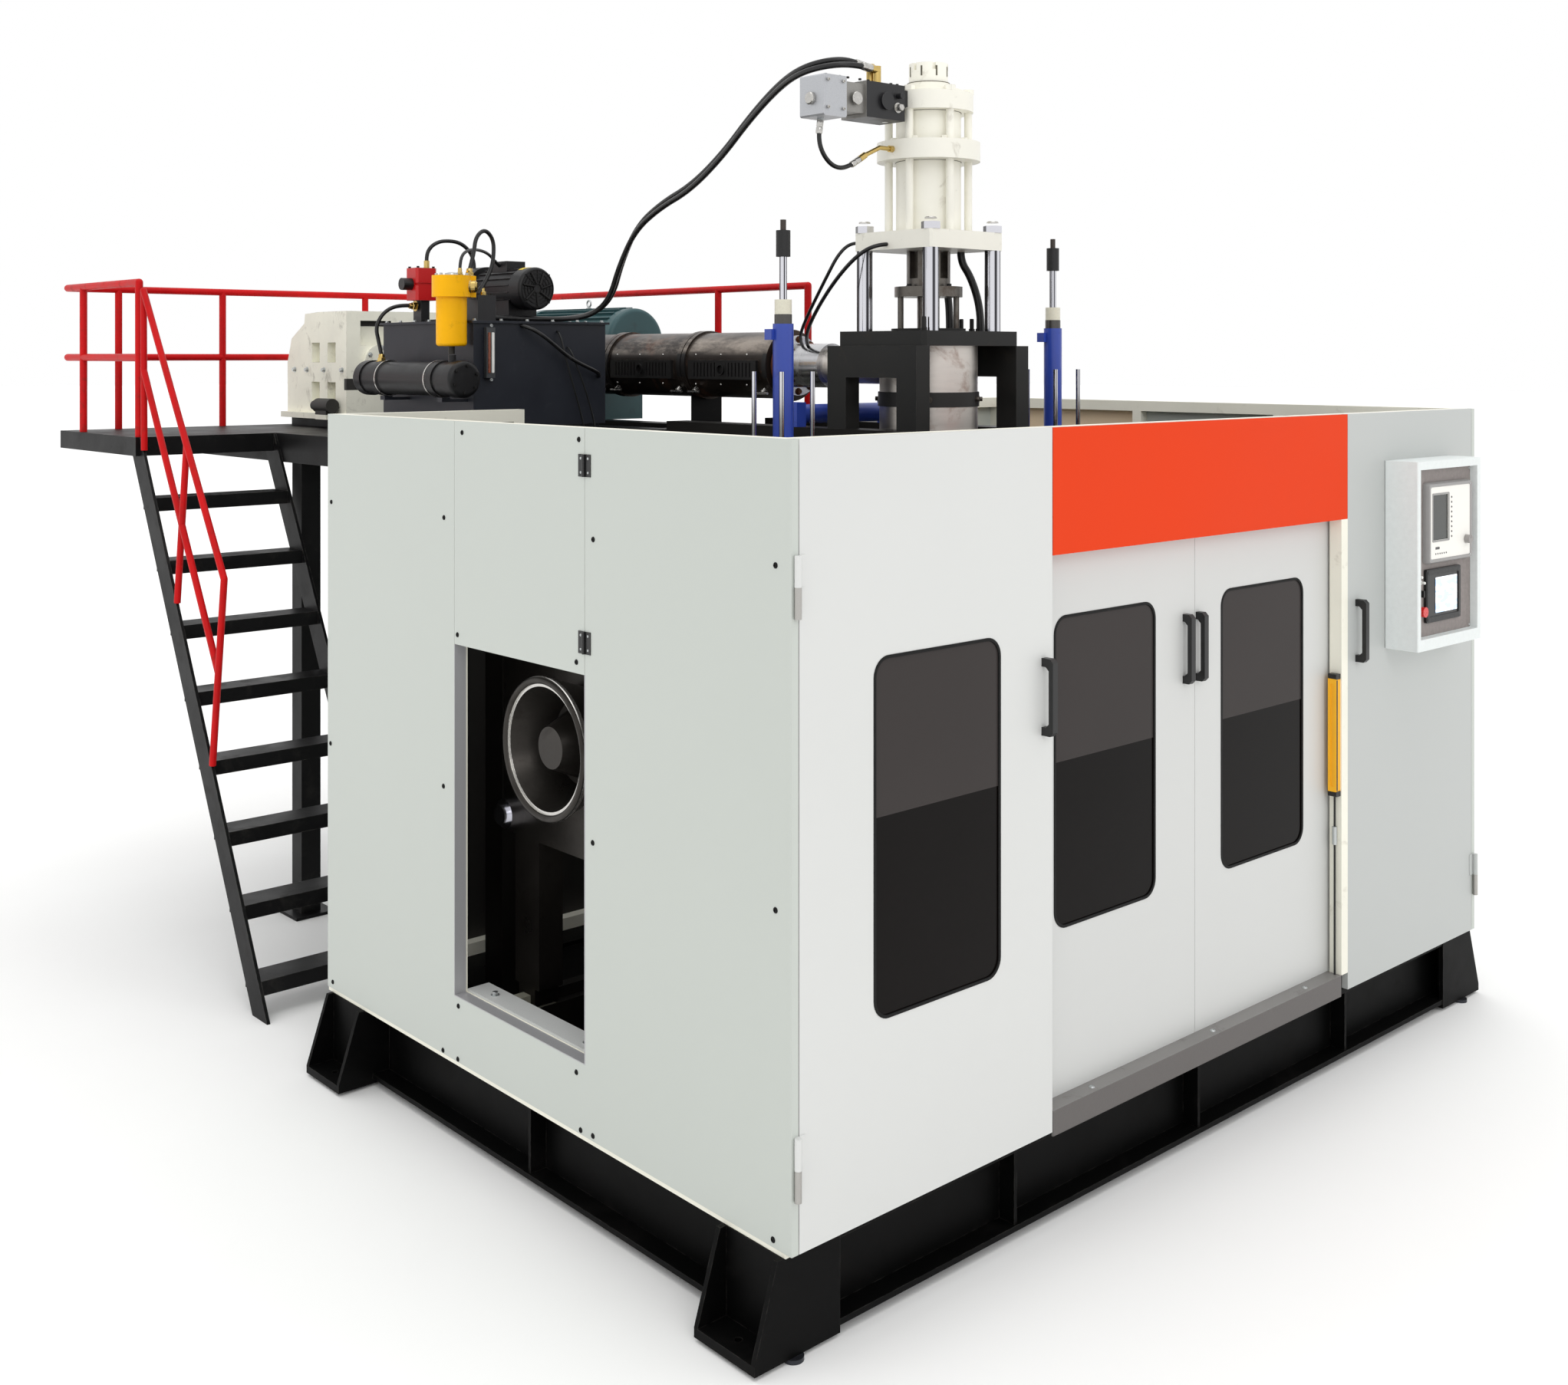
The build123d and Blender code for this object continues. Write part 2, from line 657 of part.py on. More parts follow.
# Electrical cabinet
CAB_IN_X = (70.0, 40.0)
CAB_GAP = 105.0
CAB_FRONT = 30.0
CAB_DEPTH = 220.0
CAB_WALL = 3.0
CAB_BOTTOM = BEAM_TOP + 128.0
CAB_HEIGHT = 1960.0
CAB_PLATE_OFF = 40.0
CAB_PLATE_T = 4.0
CAB_PLATE_IN = 30.0
CAB_STUD_R = 6.0
CAB_LEG = 40.0
CAB_ROWS = 5
CAB_UNITS = 6
CAB_ROW_RISE = 330.0
CAB_UNIT_PITCH = 118.0
CAB_UNIT = (84.0, 90.0, 150.0)
CAB_FIRST_ROW = 230.0
CAB_FIRST_UNIT = 80.0
CAB_UNIT_STEP = 12.0


def block(x, y, z):
    """Box between two corners: x, y and z are (low, high)."""
    size = [high - low for low, high in (x, y, z)]
    centre = [(high + low) / 2 for low, high in (x, y, z)]
    return Pos(*centre) * Box(*size)


def about(centre, width):
    """(low, high) of a width about its centre."""
    return (centre - width / 2, centre + width / 2)


def rod_x(radius, x, y, z):
    """Round bar along X between x = (low, high)."""
    return Pos((x[0] + x[1]) / 2, y, z) * Rot(0, 90, 0) * Cylinder(radius, x[1] - x[0])


def rod_y(radius, x, y, z):
    """Round bar along Y between y = (low, high)."""
    return Pos(x, (y[0] + y[1]) / 2, z) * Rot(90, 0, 0) * Cylinder(radius, y[1] - y[0])


def rod_z(radius, x, y, z):
    """Round bar along Z between z = (low, high)."""
    return Pos(x, y, (z[0] + z[1]) / 2) * Cylinder(radius, z[1] - z[0])


def hex_z(across, x, y, z):
    """Hexagon nut or head with its axis along Z."""
    outline = RegularPolygon(across / 2, 6, major_radius=False)
    return Pos(x, y, z[0]) * extrude(outline, z[1] - z[0])


def tube_between(radius, start, end):
    """Round bar from one point to another."""
    run = Vector(*end) - Vector(*start)
    return extrude(Plane(origin=start, z_dir=run) * Circle(radius), run.length)


def fuse(*shapes):
    """One solid out of several that meet."""
    whole = shapes[0]
    for shape in shapes[1:]:
        whole = whole + shape
    return whole


def save(name, *shapes):
    """Writes one node. Separate solids stay separate."""
    solids = [solid for shape in shapes for solid in shape.solids()]
    node = Compound(solids) if len(solids) > 1 else solids[0]
    export_step(node, f"parts/{name}.step")


# Base


def i_beam(length):
    """Rolled beam along X, centred on X and Y, with its foot at z = 0."""
    web = block(about(0, length), about(0, WEB), (0, BEAM_HEIGHT))
    low = block(about(0, length), about(0, BEAM_FLANGE), (0, FLANGE_T))
    high = block(about(0, length), about(0, BEAM_FLANGE), (BEAM_HEIGHT - FLANGE_T, BEAM_HEIGHT))
    return fuse(web, low, high)


def foot_pocket():
    """Foot at the (-X, -Y) corner: anchored plate, two sloped cheeks and the wall behind them."""
    x_out = -X_END - FOOT_OUT
    x_in = x_out + FOOT_X
    y_out = -Y_END + BEAM_INSET - FOOT_PROUD
    y_in = y_out + FOOT_Y
    z_plate = (PAD_HEIGHT, PAD_HEIGHT + FOOT_PLATE)
    plate = block((x_out, x_in), (y_out, y_in), z_plate)
    cheek = Polyline((x_out, z_plate[1]), (x_in, z_plate[1]), (x_in, BEAM_TOP),
                     (-X_END - CHEEK_TOP_OUT, BEAM_TOP), close=True)
    profile = make_face(Plane.XZ * cheek)
    cheeks = [Pos(0, y_out + GUSSET, 0) * extrude(profile, GUSSET),
              Pos(0, y_in, 0) * extrude(profile, GUSSET)]
    wall = block((-X_END, -X_END + GUSSET), (y_out, y_in), (z_plate[1], BEAM_TOP))
    hole = rod_z(ANCHOR_R, -ANCHOR_X / 2, -ANCHOR_Y / 2, (0, 2 * FOOT_PLATE + PAD_HEIGHT))
    return fuse(plate, *cheeks, wall) - hole


def four_corners(shape):
    """A shape of the (-X, -Y) corner repeated at all four corners."""
    left = [shape, mirror(shape, about=Plane.XZ)]
    right = [mirror(item, about=Plane.YZ) for item in left]
    return left + right


def stiffeners():
    """Upright plates in the beams' webs."""
    y = Y_END - BEAM_INSET - BEAM_FLANGE / 2
    x = X_END - BEAM_INSET - BEAM_FLANGE / 2
    z = (BEAM_BOTTOM + FLANGE_T, BEAM_TOP - FLANGE_T)
    width = BEAM_FLANGE - STIFFENER_IN
    on_sides = [block(about(at, WEB), about(side * y, width), z)
                for at in (-STIFFENER_X, 0.0, STIFFENER_X) for side in (-1, 1)]
    on_ends = [block(about(side * x, width), about(0, WEB), z) for side in (-1, 1)]
    return on_sides + on_ends


def make_base():
    """Welded beam frame with an oil tray between its webs, four foot pockets and round pads."""
    x_span = ENC_X - 2 * BEAM_INSET
    y_span = ENC_Y - 2 * BEAM_INSET
    side_y = Y_END - BEAM_INSET - BEAM_FLANGE / 2
    end_x = X_END - BEAM_INSET - BEAM_FLANGE / 2
    crossings = (-COLUMN_X, -MIDDLE_BEAM_X, MIDDLE_BEAM_X, COLUMN_X)
    beams = [Pos(0, side * side_y, BEAM_BOTTOM) * i_beam(x_span) for side in (-1, 1)]
    beams += [Pos(at, 0, BEAM_BOTTOM) * Rot(0, 0, 90) * i_beam(y_span) for at in (-end_x, end_x)]
    beams += [Pos(at, 0, BEAM_BOTTOM) * Rot(0, 0, 90) * i_beam(2 * side_y) for at in crossings]
    tray_top = BEAM_TOP - FLANGE_T
    tray = block((-end_x, end_x), (-side_y, side_y), (tray_top - TRAY_T, tray_top))
    save("base_frame", fuse(*beams, tray, *four_corners(foot_pocket()), *stiffeners()))
    pad = rod_z(PAD_RADIUS, -X_END + PAD_AT[0], -Y_END + PAD_AT[1], (0, PAD_HEIGHT))
    save("leveling_pads", *four_corners(pad))


# Enclosure


def end_ledge(x_in):
    """Angle bar along the sill of the end opening, welded to the tube behind it."""
    x0 = -x_in + TUBE
    y = (END_SEAM_FRONT, END_SEAM_REAR)
    top = OPENING_BOTTOM - SKIN + LEDGE_RISE
    upright = block((x0, x0 + LEDGE_T), y, (OPENING_BOTTOM - RETURN, top))
    shelf = block((x0, x0 + LEDGE_W), y, (top - LEDGE_T, top))
    return fuse(upright, shelf)


def make_enclosure_frame():
    """Square tube posts and rails behind the panels."""
    x_in = X_END - SKIN
    y_in = Y_END - SKIN
    back_y = y_in - TUBE / 2
    z = (BEAM_TOP, PANEL_TOP)
    z_low = (BEAM_TOP, BEAM_TOP + TUBE)
    z_high = (PANEL_TOP - TUBE, PANEL_TOP)
    z_between = (z_low[1], z_high[0])
    solids = []
    for side in (-1, 1):
        x = about(side * (x_in - TUBE / 2), TUBE)
        solids += [block(x, about(y, TUBE), z) for y in (FRONT_TUBE_Y, back_y)]
        solids += [block(x, (FRONT_TUBE_Y + TUBE / 2, back_y - TUBE / 2), band) for band in (z_low, z_high)]
    for seam in (END_SEAM_FRONT - TUBE / 2, END_SEAM_REAR + TUBE / 2):
        solids.append(block(about(-x_in + TUBE / 2, TUBE), about(seam, TUBE), z_between))
    sill_z = (OPENING_BOTTOM - RETURN, OPENING_BOTTOM - SKIN)
    solids.append(block(about(-x_in + TUBE / 2, TUBE), (END_SEAM_FRONT, END_SEAM_REAR), sill_z))
    solids.append(end_ledge(x_in))
    for at in RIGHT_SEAMS:
        solids.append(block(about(x_in - TUBE / 2, TUBE), about(at, TUBE), z_between))
    inner = (-x_in + TUBE, x_in - TUBE)
    solids.append(block(inner, about(back_y, TUBE), z_low))
    step = X_END - REAR_TALL_WIDTH
    low_rail_z = (REAR_LOW_TOP - TUBE, REAR_LOW_TOP)
    solids.append(block((-step, step), about(back_y, TUBE), low_rail_z))
    for side in (-1, 1):
        solids.append(block(about(side * (step + TUBE / 2), TUBE), about(back_y, TUBE), (z_low[1], z[1])))
        run = sorted((side * (step + TUBE), side * (x_in - TUBE)))
        solids.append(block(run, about(back_y, TUBE), z_high))
    solids.append(block(inner, (SLIDE_BACK + TRACK_BACK, SLIDE_BACK + TRACK_BACK + TUBE), z_low))
    solids.append(block(inner, about(FRONT_TUBE_Y, TUBE), z_high))
    jamb_z = (SILL_TOP, HEADER_BOTTOM)
    jamb_x = (CABINET_EDGE - POST_WIDTH, CABINET_EDGE - CLEAR)
    jamb = block(jamb_x, (-Y_END, SLIDE_FRONT - POST_BACK), jamb_z)
    save("enclosure_frame", *solids, jamb, *fixed_knuckles(), *fixed_hatch_hinges())


def pan(x, y, z):
    """Folded sheet-metal pan: a skin that looks to -Y, with returns all round."""
    inner = block((x[0] + SKIN, x[1] - SKIN), (y[0] + SKIN, y[1]), (z[0] + SKIN, z[1] - SKIN))
    return block(x, y, z) - inner


def make_outer_panels():
    """Fixed sheet panels of the -X end, the back and the +X end."""
    x = (-X_END, -X_END + SKIN)
    z = (PANEL_BOTTOM, PANEL_TOP)
    front_y = -Y_END + CLEAR
    lip_x = (-X_END, -X_END + RETURN)
    lip_z = (OPENING_BOTTOM, OPENING_TOP - CLEAR)
    rear = fuse(block(x, (END_SEAM_REAR, Y_END), z),
                block(lip_x, (END_SEAM_REAR - SKIN, END_SEAM_REAR), lip_z))
    front = fuse(block(x, (front_y, END_SEAM_FRONT), z),
                 block((-X_END, -X_END + DOOR_GAP - SKIN), (front_y, front_y + SKIN), z),
                 block(lip_x, (END_SEAM_FRONT, END_SEAM_FRONT + SKIN), lip_z))
    strip = block(x, (END_SEAM_FRONT, END_SEAM_REAR), (PANEL_BOTTOM, OPENING_BOTTOM))
    strip_lip = block(lip_x, (END_SEAM_FRONT + SKIN, END_SEAM_REAR - SKIN),
                      (OPENING_BOTTOM - SKIN, OPENING_BOTTOM))
    solids = [rear, front, fuse(strip, strip_lip)]
    seams = (front_y, *RIGHT_SEAMS, Y_END)
    for low, high in zip(seams, seams[1:]):
        skin = block((X_END - SKIN, X_END), (low, high - SKIN / 2), z)
        if low == front_y:
            skin = fuse(skin, block((X_END - DOOR_GAP + SKIN, X_END), (low, low + SKIN), z))
        solids.append(skin)
    y = (Y_END - SKIN, Y_END)
    edge = X_END - REAR_TALL_WIDTH
    solids.append(block((-X_END + SKIN, -edge), y, z))
    solids.append(block((edge, X_END - SKIN), y, z))
    solids.append(block((-edge + SKIN / 2, edge - SKIN / 2), y, (PANEL_BOTTOM, REAR_LOW_TOP)))
    save("outer_panels", *solids)


def make_header():
    """Coloured header over the sliding doors, with its folded foot."""
    x = (SERVICE_EDGE + SEAM, CABINET_EDGE - SEAM)
    skin = block(x, (-Y_END, -Y_END + SKIN), (HEADER_BOTTOM, PANEL_TOP))
    foot = block(x, (-Y_END, SLIDE_FRONT - HEADER_FOOT_IN), (HEADER_BOTTOM, HEADER_BOTTOM + SKIN))
    save("header_panel", fuse(skin, foot))


def make_tracks():
    """Sill under the doors, and the upper guide on its hangers behind the header."""
    x = (SERVICE_EDGE + SEAM, CABINET_EDGE - POST_WIDTH - SEAM)
    sill = block(x, (-Y_END, SLIDE_BACK + TRACK_FRONT), (SILL_BOTTOM, SILL_TOP))
    hollow = block((x[0] - 1, x[1] + 1), (-Y_END + SILL_WALL, SLIDE_BACK - SKIN),
                   (SILL_BOTTOM - 1, SILL_TOP - 2 * SILL_WALL))
    run = (-X_END + 2 * TUBE, X_END - 2 * TUBE)
    low = SLIDE_TOP + TRACK_GAP
    upper = block(run, (SLIDE_FRONT - TRACK_FRONT, SLIDE_BACK + TRACK_BACK), (low, low + TRACK_HEIGHT))
    hanger_z = about(low + TRACK_HEIGHT / 2 + TRACK_GAP, HANGER_H)
    hangers = [block(about(at, HANGER_W), (-Y_END + SKIN, SLIDE_FRONT - TRACK_FRONT), hanger_z)
               for at in HANGER_X]
    save("door_tracks", sill - hollow, fuse(upper, *hangers))


# Doors


def window_hole(x, z, y, inset):
    """Rounded upright opening through a leaf, grown by inset on every side."""
    width = WINDOW_W + 2 * inset
    height = z[1] - z[0] + 2 * inset
    outline = RectangleRounded(width, height, WINDOW_CORNER + inset)
    slab = extrude(Plane.XZ * outline, y[1] - y[0])
    return Pos(x, y[1], (z[0] + z[1]) / 2) * slab


def bow_handle(x, y, z, out):
    """Bow handle on a face at y that looks to -Y: two feet and a straight grip."""
    half = HANDLE_LENGTH / 2
    bend = HANDLE_BEND
    outer = Polyline((0, -half), (-out + bend, -half), (-out, -half + bend), (-out, half - bend),
                     (-out + bend, half), (0, half), close=True)
    grip = out - HANDLE_BAR
    low = half - HANDLE_FOOT
    inner = Polyline((0, -low), (-grip + bend, -low), (-grip, -low + bend), (-grip, low - bend),
                     (-grip + bend, low), (0, low), close=True)
    face = make_face(Plane.YZ * outer) - make_face(Plane.YZ * inner)
    return Pos(x, y, z) * extrude(face, HANDLE_WIDTH / 2, both=True)


def leaf(x, y, z, window_x, window_z, handle):
    """Door leaf with a window rim on its back and a handle on its front."""
    rim = window_hole(window_x, window_z, (y[0], y[1]), WINDOW_RIM)
    door = fuse(pan(x, y, z), rim)
    seat = window_hole(window_x, window_z, (y[0] + SKIN, y[1] + 1), WINDOW_SEAT)
    door = door - seat - window_hole(window_x, window_z, (y[0] - 1, y[1] + 1), 0)
    return fuse(door, handle)


def glass(window_x, window_z, y):
    """Pane against the back of the leaf's skin."""
    return window_hole(window_x, window_z, (y + SKIN, y + SKIN + GLASS), WINDOW_SEAT - GLASS_PLAY)


def hinge_axis(side):
    """Upright axis of the corner hinges on the -X (side -1) or +X (side 1) corner."""
    return (side * (X_END - DOOR_GAP / 2), -Y_END - HINGE_OUT)


def fixed_knuckles():
    """Lower hinge halves with their pins, welded to the corner returns."""
    solids = []
    for side in (-1, 1):
        x, y = hinge_axis(side)
        for z in HINGE_Z:
            knuckle = rod_z(HINGE_R, x, y, (z - HINGE_HALF, z))
            pin = rod_z(HINGE_PIN_R, x, y, (z, z + HINGE_PIN_LENGTH))
            web = block(about(x, HINGE_WEB), (y, -Y_END), (z - HINGE_HALF, z - 1))
            solids.append(fuse(knuckle, pin, web))
    return solids


def moving_knuckles(side, edge):
    """Upper hinge halves on a door leaf whose edge is at x = edge."""
    x, y = hinge_axis(side)
    solids = []
    for z in HINGE_Z:
        span = (z + CLEAR, z + HINGE_HALF)
        knuckle = rod_z(HINGE_R, x, y, span)
        wing = block(sorted((x, edge - side * HINGE_WING)), (-Y_END - SKIN, -Y_END), span)
        hole = rod_z(HINGE_PIN_R + FIT, x, y, (z - 1, z + HINGE_PIN_LENGTH + 1))
        solids.append(fuse(knuckle, wing) - hole)
    return solids


def make_doors():
    """Hinged service door, and two sliding doors that part behind the fixed leaves."""
    service_x = (-X_END + DOOR_GAP, SERVICE_EDGE - SEAM)
    front = (-Y_END, -Y_END + LEAF)
    z = (PANEL_BOTTOM, PANEL_TOP)
    handle = bow_handle(service_x[1] - HANDLE_INSET, front[0], HANDLE_Z, HANDLE_OUT)
    door = leaf(service_x, front, z, SERVICE_WINDOW_X, SERVICE_WINDOW_Z, handle)
    save("service_door", fuse(door, *moving_knuckles(-1, service_x[0])))
    save("service_door_window", glass(SERVICE_WINDOW_X, SERVICE_WINDOW_Z, -Y_END))

    y = (SLIDE_FRONT, SLIDE_BACK)
    z = (SILL_TOP + CLEAR, SLIDE_TOP)
    left_x = (SERVICE_EDGE - SLIDE_OVERLAP, -SLIDE_GAP / 2)
    right_x = (SLIDE_GAP / 2, CABINET_EDGE - POST_WIDTH + SLIDE_OVERLAP)
    handles = [bow_handle(at, y[0], SLIDE_HANDLE_Z, SLIDE_HANDLE_OUT) for at in SEAM_HANDLES]
    left = leaf(left_x, y, z, LEFT_WINDOW_X, SLIDE_WINDOW_Z, handles[0])
    right = leaf(right_x, y, z, RIGHT_WINDOW_X, SLIDE_WINDOW_Z, handles[1])
    save("left_sliding_door", left)
    save("left_door_window", glass(LEFT_WINDOW_X, SLIDE_WINDOW_Z, SLIDE_FRONT))
    save("right_sliding_door", right)
    save("right_door_window", glass(RIGHT_WINDOW_X, SLIDE_WINDOW_Z, SLIDE_FRONT))


def hatch_hinge(z, side):
    """Half of a butt hinge on the hatch: the fixed half is side -1 and the hatch's half is side 1."""
    x, y = -X_END - HATCH_KNUCKLE_R - HATCH_KNUCKLE_GAP, END_SEAM_FRONT
    third = HATCH_HINGE_HEIGHT / 6
    wing = block((-X_END - HATCH_LEAF_T, -X_END), sorted((y + side * SEAM, y + side * HATCH_LEAF_W)),
                 about(z, HATCH_HINGE_HEIGHT))
    middle = rod_z(HATCH_KNUCKLE_R, x, y, (z - third, z + third))
    if side < 0:
        clear = rod_z(HATCH_KNUCKLE_R + CLEAR, x, y, (z + third, z + 4 * third))
        clear_low = rod_z(HATCH_KNUCKLE_R + CLEAR, x, y, (z - 4 * third, z - third))
        pin = rod_z(HATCH_PIN_R, x, y, about(z, HATCH_HINGE_HEIGHT))
        return fuse(wing - clear - clear_low, middle, pin)
    full = rod_z(HATCH_KNUCKLE_R, x, y, about(z, HATCH_HINGE_HEIGHT))
    gap = rod_z(HATCH_KNUCKLE_R + 1, x, y, (z - third - CLEAR, z + third + CLEAR))
    hole = rod_z(HATCH_PIN_R + FIT, x, y, about(z, HATCH_HINGE_HEIGHT + 2))
    return fuse(wing, full) - gap - hole


def fixed_hatch_hinges():
    return [hatch_hinge(z, -1) for z in HATCH_HINGE_Z]


def make_hatch():
    """Upper hatch of the -X end, on two butt hinges at its front edge."""
    y = (END_SEAM_FRONT + SEAM, END_SEAM_REAR - SEAM)
    skin = block((-X_END, -X_END + SKIN), y, (OPENING_TOP, PANEL_TOP))
    save("end_hatch", fuse(skin, *[hatch_hinge(z, 1) for z in HATCH_HINGE_Z]))


def make_cabinet_door():
    """Hinged door of the electrical cabinet, with its handle."""
    x = (CABINET_EDGE, X_END - DOOR_GAP)
    y = (-Y_END, -Y_END + LEAF)
    z = (PANEL_BOTTOM, PANEL_TOP)
    handle = bow_handle(x[0] + CABINET_HANDLE_INSET, y[0], HANDLE_Z, HANDLE_OUT)
    door = fuse(pan(x, y, z), handle)
    save("cabinet_door", fuse(door, *moving_knuckles(1, x[1])))


def make_box_shell(y_front, floor):
    """Control box with its recessed front and two switch bores."""
    left, top, bottom, right = BOX_MARGIN
    shell = block(BOX_X, (y_front, -Y_END), BOX_Z)
    shell = fillet(shell.edges().filter_by(Axis.Z), BOX_CORNER)
    recess = block((BOX_X[0] + left, BOX_X[1] - right), (y_front - 1, floor),
                   (BOX_Z[0] + bottom, BOX_Z[1] - top))
    depth = (floor - 1, floor + STEM_LENGTH + 10)
    holes = [rod_y(KNOB_STEM + FIT, SWITCH_X, depth, z) for z in (SELECTOR_Z, STOP_Z)]
    save("control_box", shell - recess - fuse(*holes))


def make_operator_panels(floor):
    """Controller unit with its screen and dial bore, and the touch panel below it."""
    unit_y = floor - UNIT_OUT
    unit = block(UNIT_X, (unit_y, floor), UNIT_Z)
    screen_x = (UNIT_X[0] + SCREEN_LEFT, UNIT_X[0] + SCREEN_LEFT + SCREEN_W)
    screen_z = (UNIT_Z[1] - SCREEN_TOP - SCREEN_H, UNIT_Z[1] - SCREEN_TOP)
    screen = block(screen_x, (unit_y - 1, unit_y + BEZEL), screen_z)
    dial_hole = rod_y(KNOB_STEM + FIT, DIAL_X, (unit_y - 1, floor - DIAL_FLOOR), DIAL_Z)
    touch = block(TOUCH_X, (floor - TOUCH_OUT, floor), TOUCH_Z)
    side, end = TOUCH_FRAME
    face = floor - TOUCH_OUT
    pane = block((TOUCH_X[0] + side, TOUCH_X[1] - side), (face - 1, face + TOUCH_GLASS_IN),
                 (TOUCH_Z[0] + end, TOUCH_Z[1] - end))
    save("operator_panels", unit - screen - dial_hole, touch - pane)


def make_switches(floor):
    """Stop button, selector and the controller's dial, each with its stem."""
    neck_y = floor - STOP_TRAVEL - STOP_NECK
    stop = fuse(rod_y(STOP_R, SWITCH_X, (neck_y - STOP_HEAD, neck_y), STOP_Z),
                rod_y(STOP_NECK_R, SWITCH_X, (neck_y, floor - STOP_TRAVEL - CLEAR), STOP_Z),
                rod_y(KNOB_STEM, SWITCH_X, (neck_y, floor + STEM_LENGTH), STOP_Z))
    save("stop_button", stop)
    grip = block(about(SWITCH_X, SELECTOR_GRIP), (floor - 2 * SELECTOR_DEPTH, floor - SELECTOR_DEPTH + 2),
                 about(SELECTOR_Z, 2 * SELECTOR_R - 2))
    selector = fuse(rod_y(SELECTOR_R, SWITCH_X, (floor - SELECTOR_DEPTH, floor - CLEAR), SELECTOR_Z), grip,
                    rod_y(KNOB_STEM, SWITCH_X, (floor - 1, floor + STEM_LENGTH), SELECTOR_Z))
    save("selector_knob", selector)
    dial_y = floor - UNIT_OUT
    dial = fuse(rod_y(DIAL_R, DIAL_X, (dial_y - DIAL_DEPTH, dial_y - CLEAR), DIAL_Z),
                rod_y(KNOB_STEM, DIAL_X, (dial_y - 1, floor - 2 * DIAL_FLOOR), DIAL_Z))
    mark = block(about(DIAL_X, DIAL_MARK), (dial_y - DIAL_DEPTH - 1, dial_y - DIAL_DEPTH + 2),
                 (DIAL_Z + DIAL_MARK, DIAL_Z + DIAL_R + 1))
    save("dial_knob", dial - mark)


def make_control_box():
    """Control box on the cabinet door, with everything on its front."""
    y_front = -Y_END - BOX_DEPTH
    floor = y_front + BOX_RECESS
    make_box_shell(y_front, floor)
    make_operator_panels(floor)
    make_switches(floor)


def make_electrical_cabinet():
    """Steel cabinet behind the door: an open-fronted box with a mounting plate and switchgear rows."""
    x = (CABINET_EDGE + CAB_IN_X[0], X_END - SKIN - TUBE - CAB_IN_X[1])
    y0 = -Y_END + CAB_GAP + TUBE + CAB_FRONT
    y = (y0, y0 + CAB_DEPTH)
    z = (CAB_BOTTOM, CAB_BOTTOM + CAB_HEIGHT)
    shell = block(x, y, z) - block((x[0] + CAB_WALL, x[1] - CAB_WALL), (y[0] - 1, y[1] - CAB_WALL),
                                   (z[0] + CAB_WALL, z[1] - CAB_WALL))
    plate_y = y[1] - CAB_PLATE_OFF
    plate = block((x[0] + CAB_PLATE_IN, x[1] - CAB_PLATE_IN), (plate_y, plate_y + CAB_PLATE_T),
                  (z[0] + 2 * CAB_PLATE_IN, z[1] - 2 * CAB_PLATE_IN))
    studs = [rod_y(CAB_STUD_R, sx, (plate_y + CAB_PLATE_T - 1, y[1] - CAB_WALL + 1), sz)
             for sx in (x[0] + 2 * CAB_PLATE_IN, x[1] - 2 * CAB_PLATE_IN)
             for sz in (z[0] + 3 * CAB_PLATE_IN, z[1] - 3 * CAB_PLATE_IN)]
    width, depth, height = CAB_UNIT
    units = []
    for row in range(CAB_ROWS):
        base = z[0] + CAB_FIRST_ROW + row * CAB_ROW_RISE
        for item in range(CAB_UNITS):
            left = x[0] + CAB_FIRST_UNIT + item * CAB_UNIT_PITCH
            reach = depth + CAB_UNIT_STEP * (item % 2)
            units.append(block((left, left + width), (plate_y - reach, plate_y), (base, base + height)))
    legs = [block(about(at, CAB_LEG), (y[0] + CAB_LEG / 2, y[1] - CAB_LEG / 2), (BEAM_TOP, z[0]))
            for at in (x[0] + CAB_LEG, x[1] - CAB_LEG)]
    save("electrical_cabinet", fuse(shell, plate, *studs, *units, *legs))


def make_light_curtain():
    """Light curtain bar on the post, with its plug and the lead clipped down to the sill."""
    x1 = CABINET_EDGE - POST_WIDTH
    y0 = -Y_END + CURTAIN_BACK
    y_mid = y0 + CURTAIN_D / 2
    bar = block((x1 - CURTAIN_W, x1), (y0, y0 + CURTAIN_D), CURTAIN_Z)
    slot = block((x1 - CURTAIN_W - 1, x1 - CURTAIN_W + SKIN), about(y_mid, CURTAIN_SLOT),
                 (CURTAIN_Z[0] + CURTAIN_W, CURTAIN_Z[1] - CURTAIN_W))
    lead_x = x1 - CURTAIN_PLUG_R - 1
    lead = rod_z(CURTAIN_LEAD_R, lead_x, y_mid, (SILL_TOP, CURTAIN_Z[0] + 1))
    plug = rod_z(CURTAIN_PLUG_R, lead_x, y_mid, (CURTAIN_PLUG_LOW, CURTAIN_PLUG_LOW + CURTAIN_PLUG_LENGTH))
    save("light_curtain", fuse(bar - slot, lead, plug))


# Gallery, railing and stair


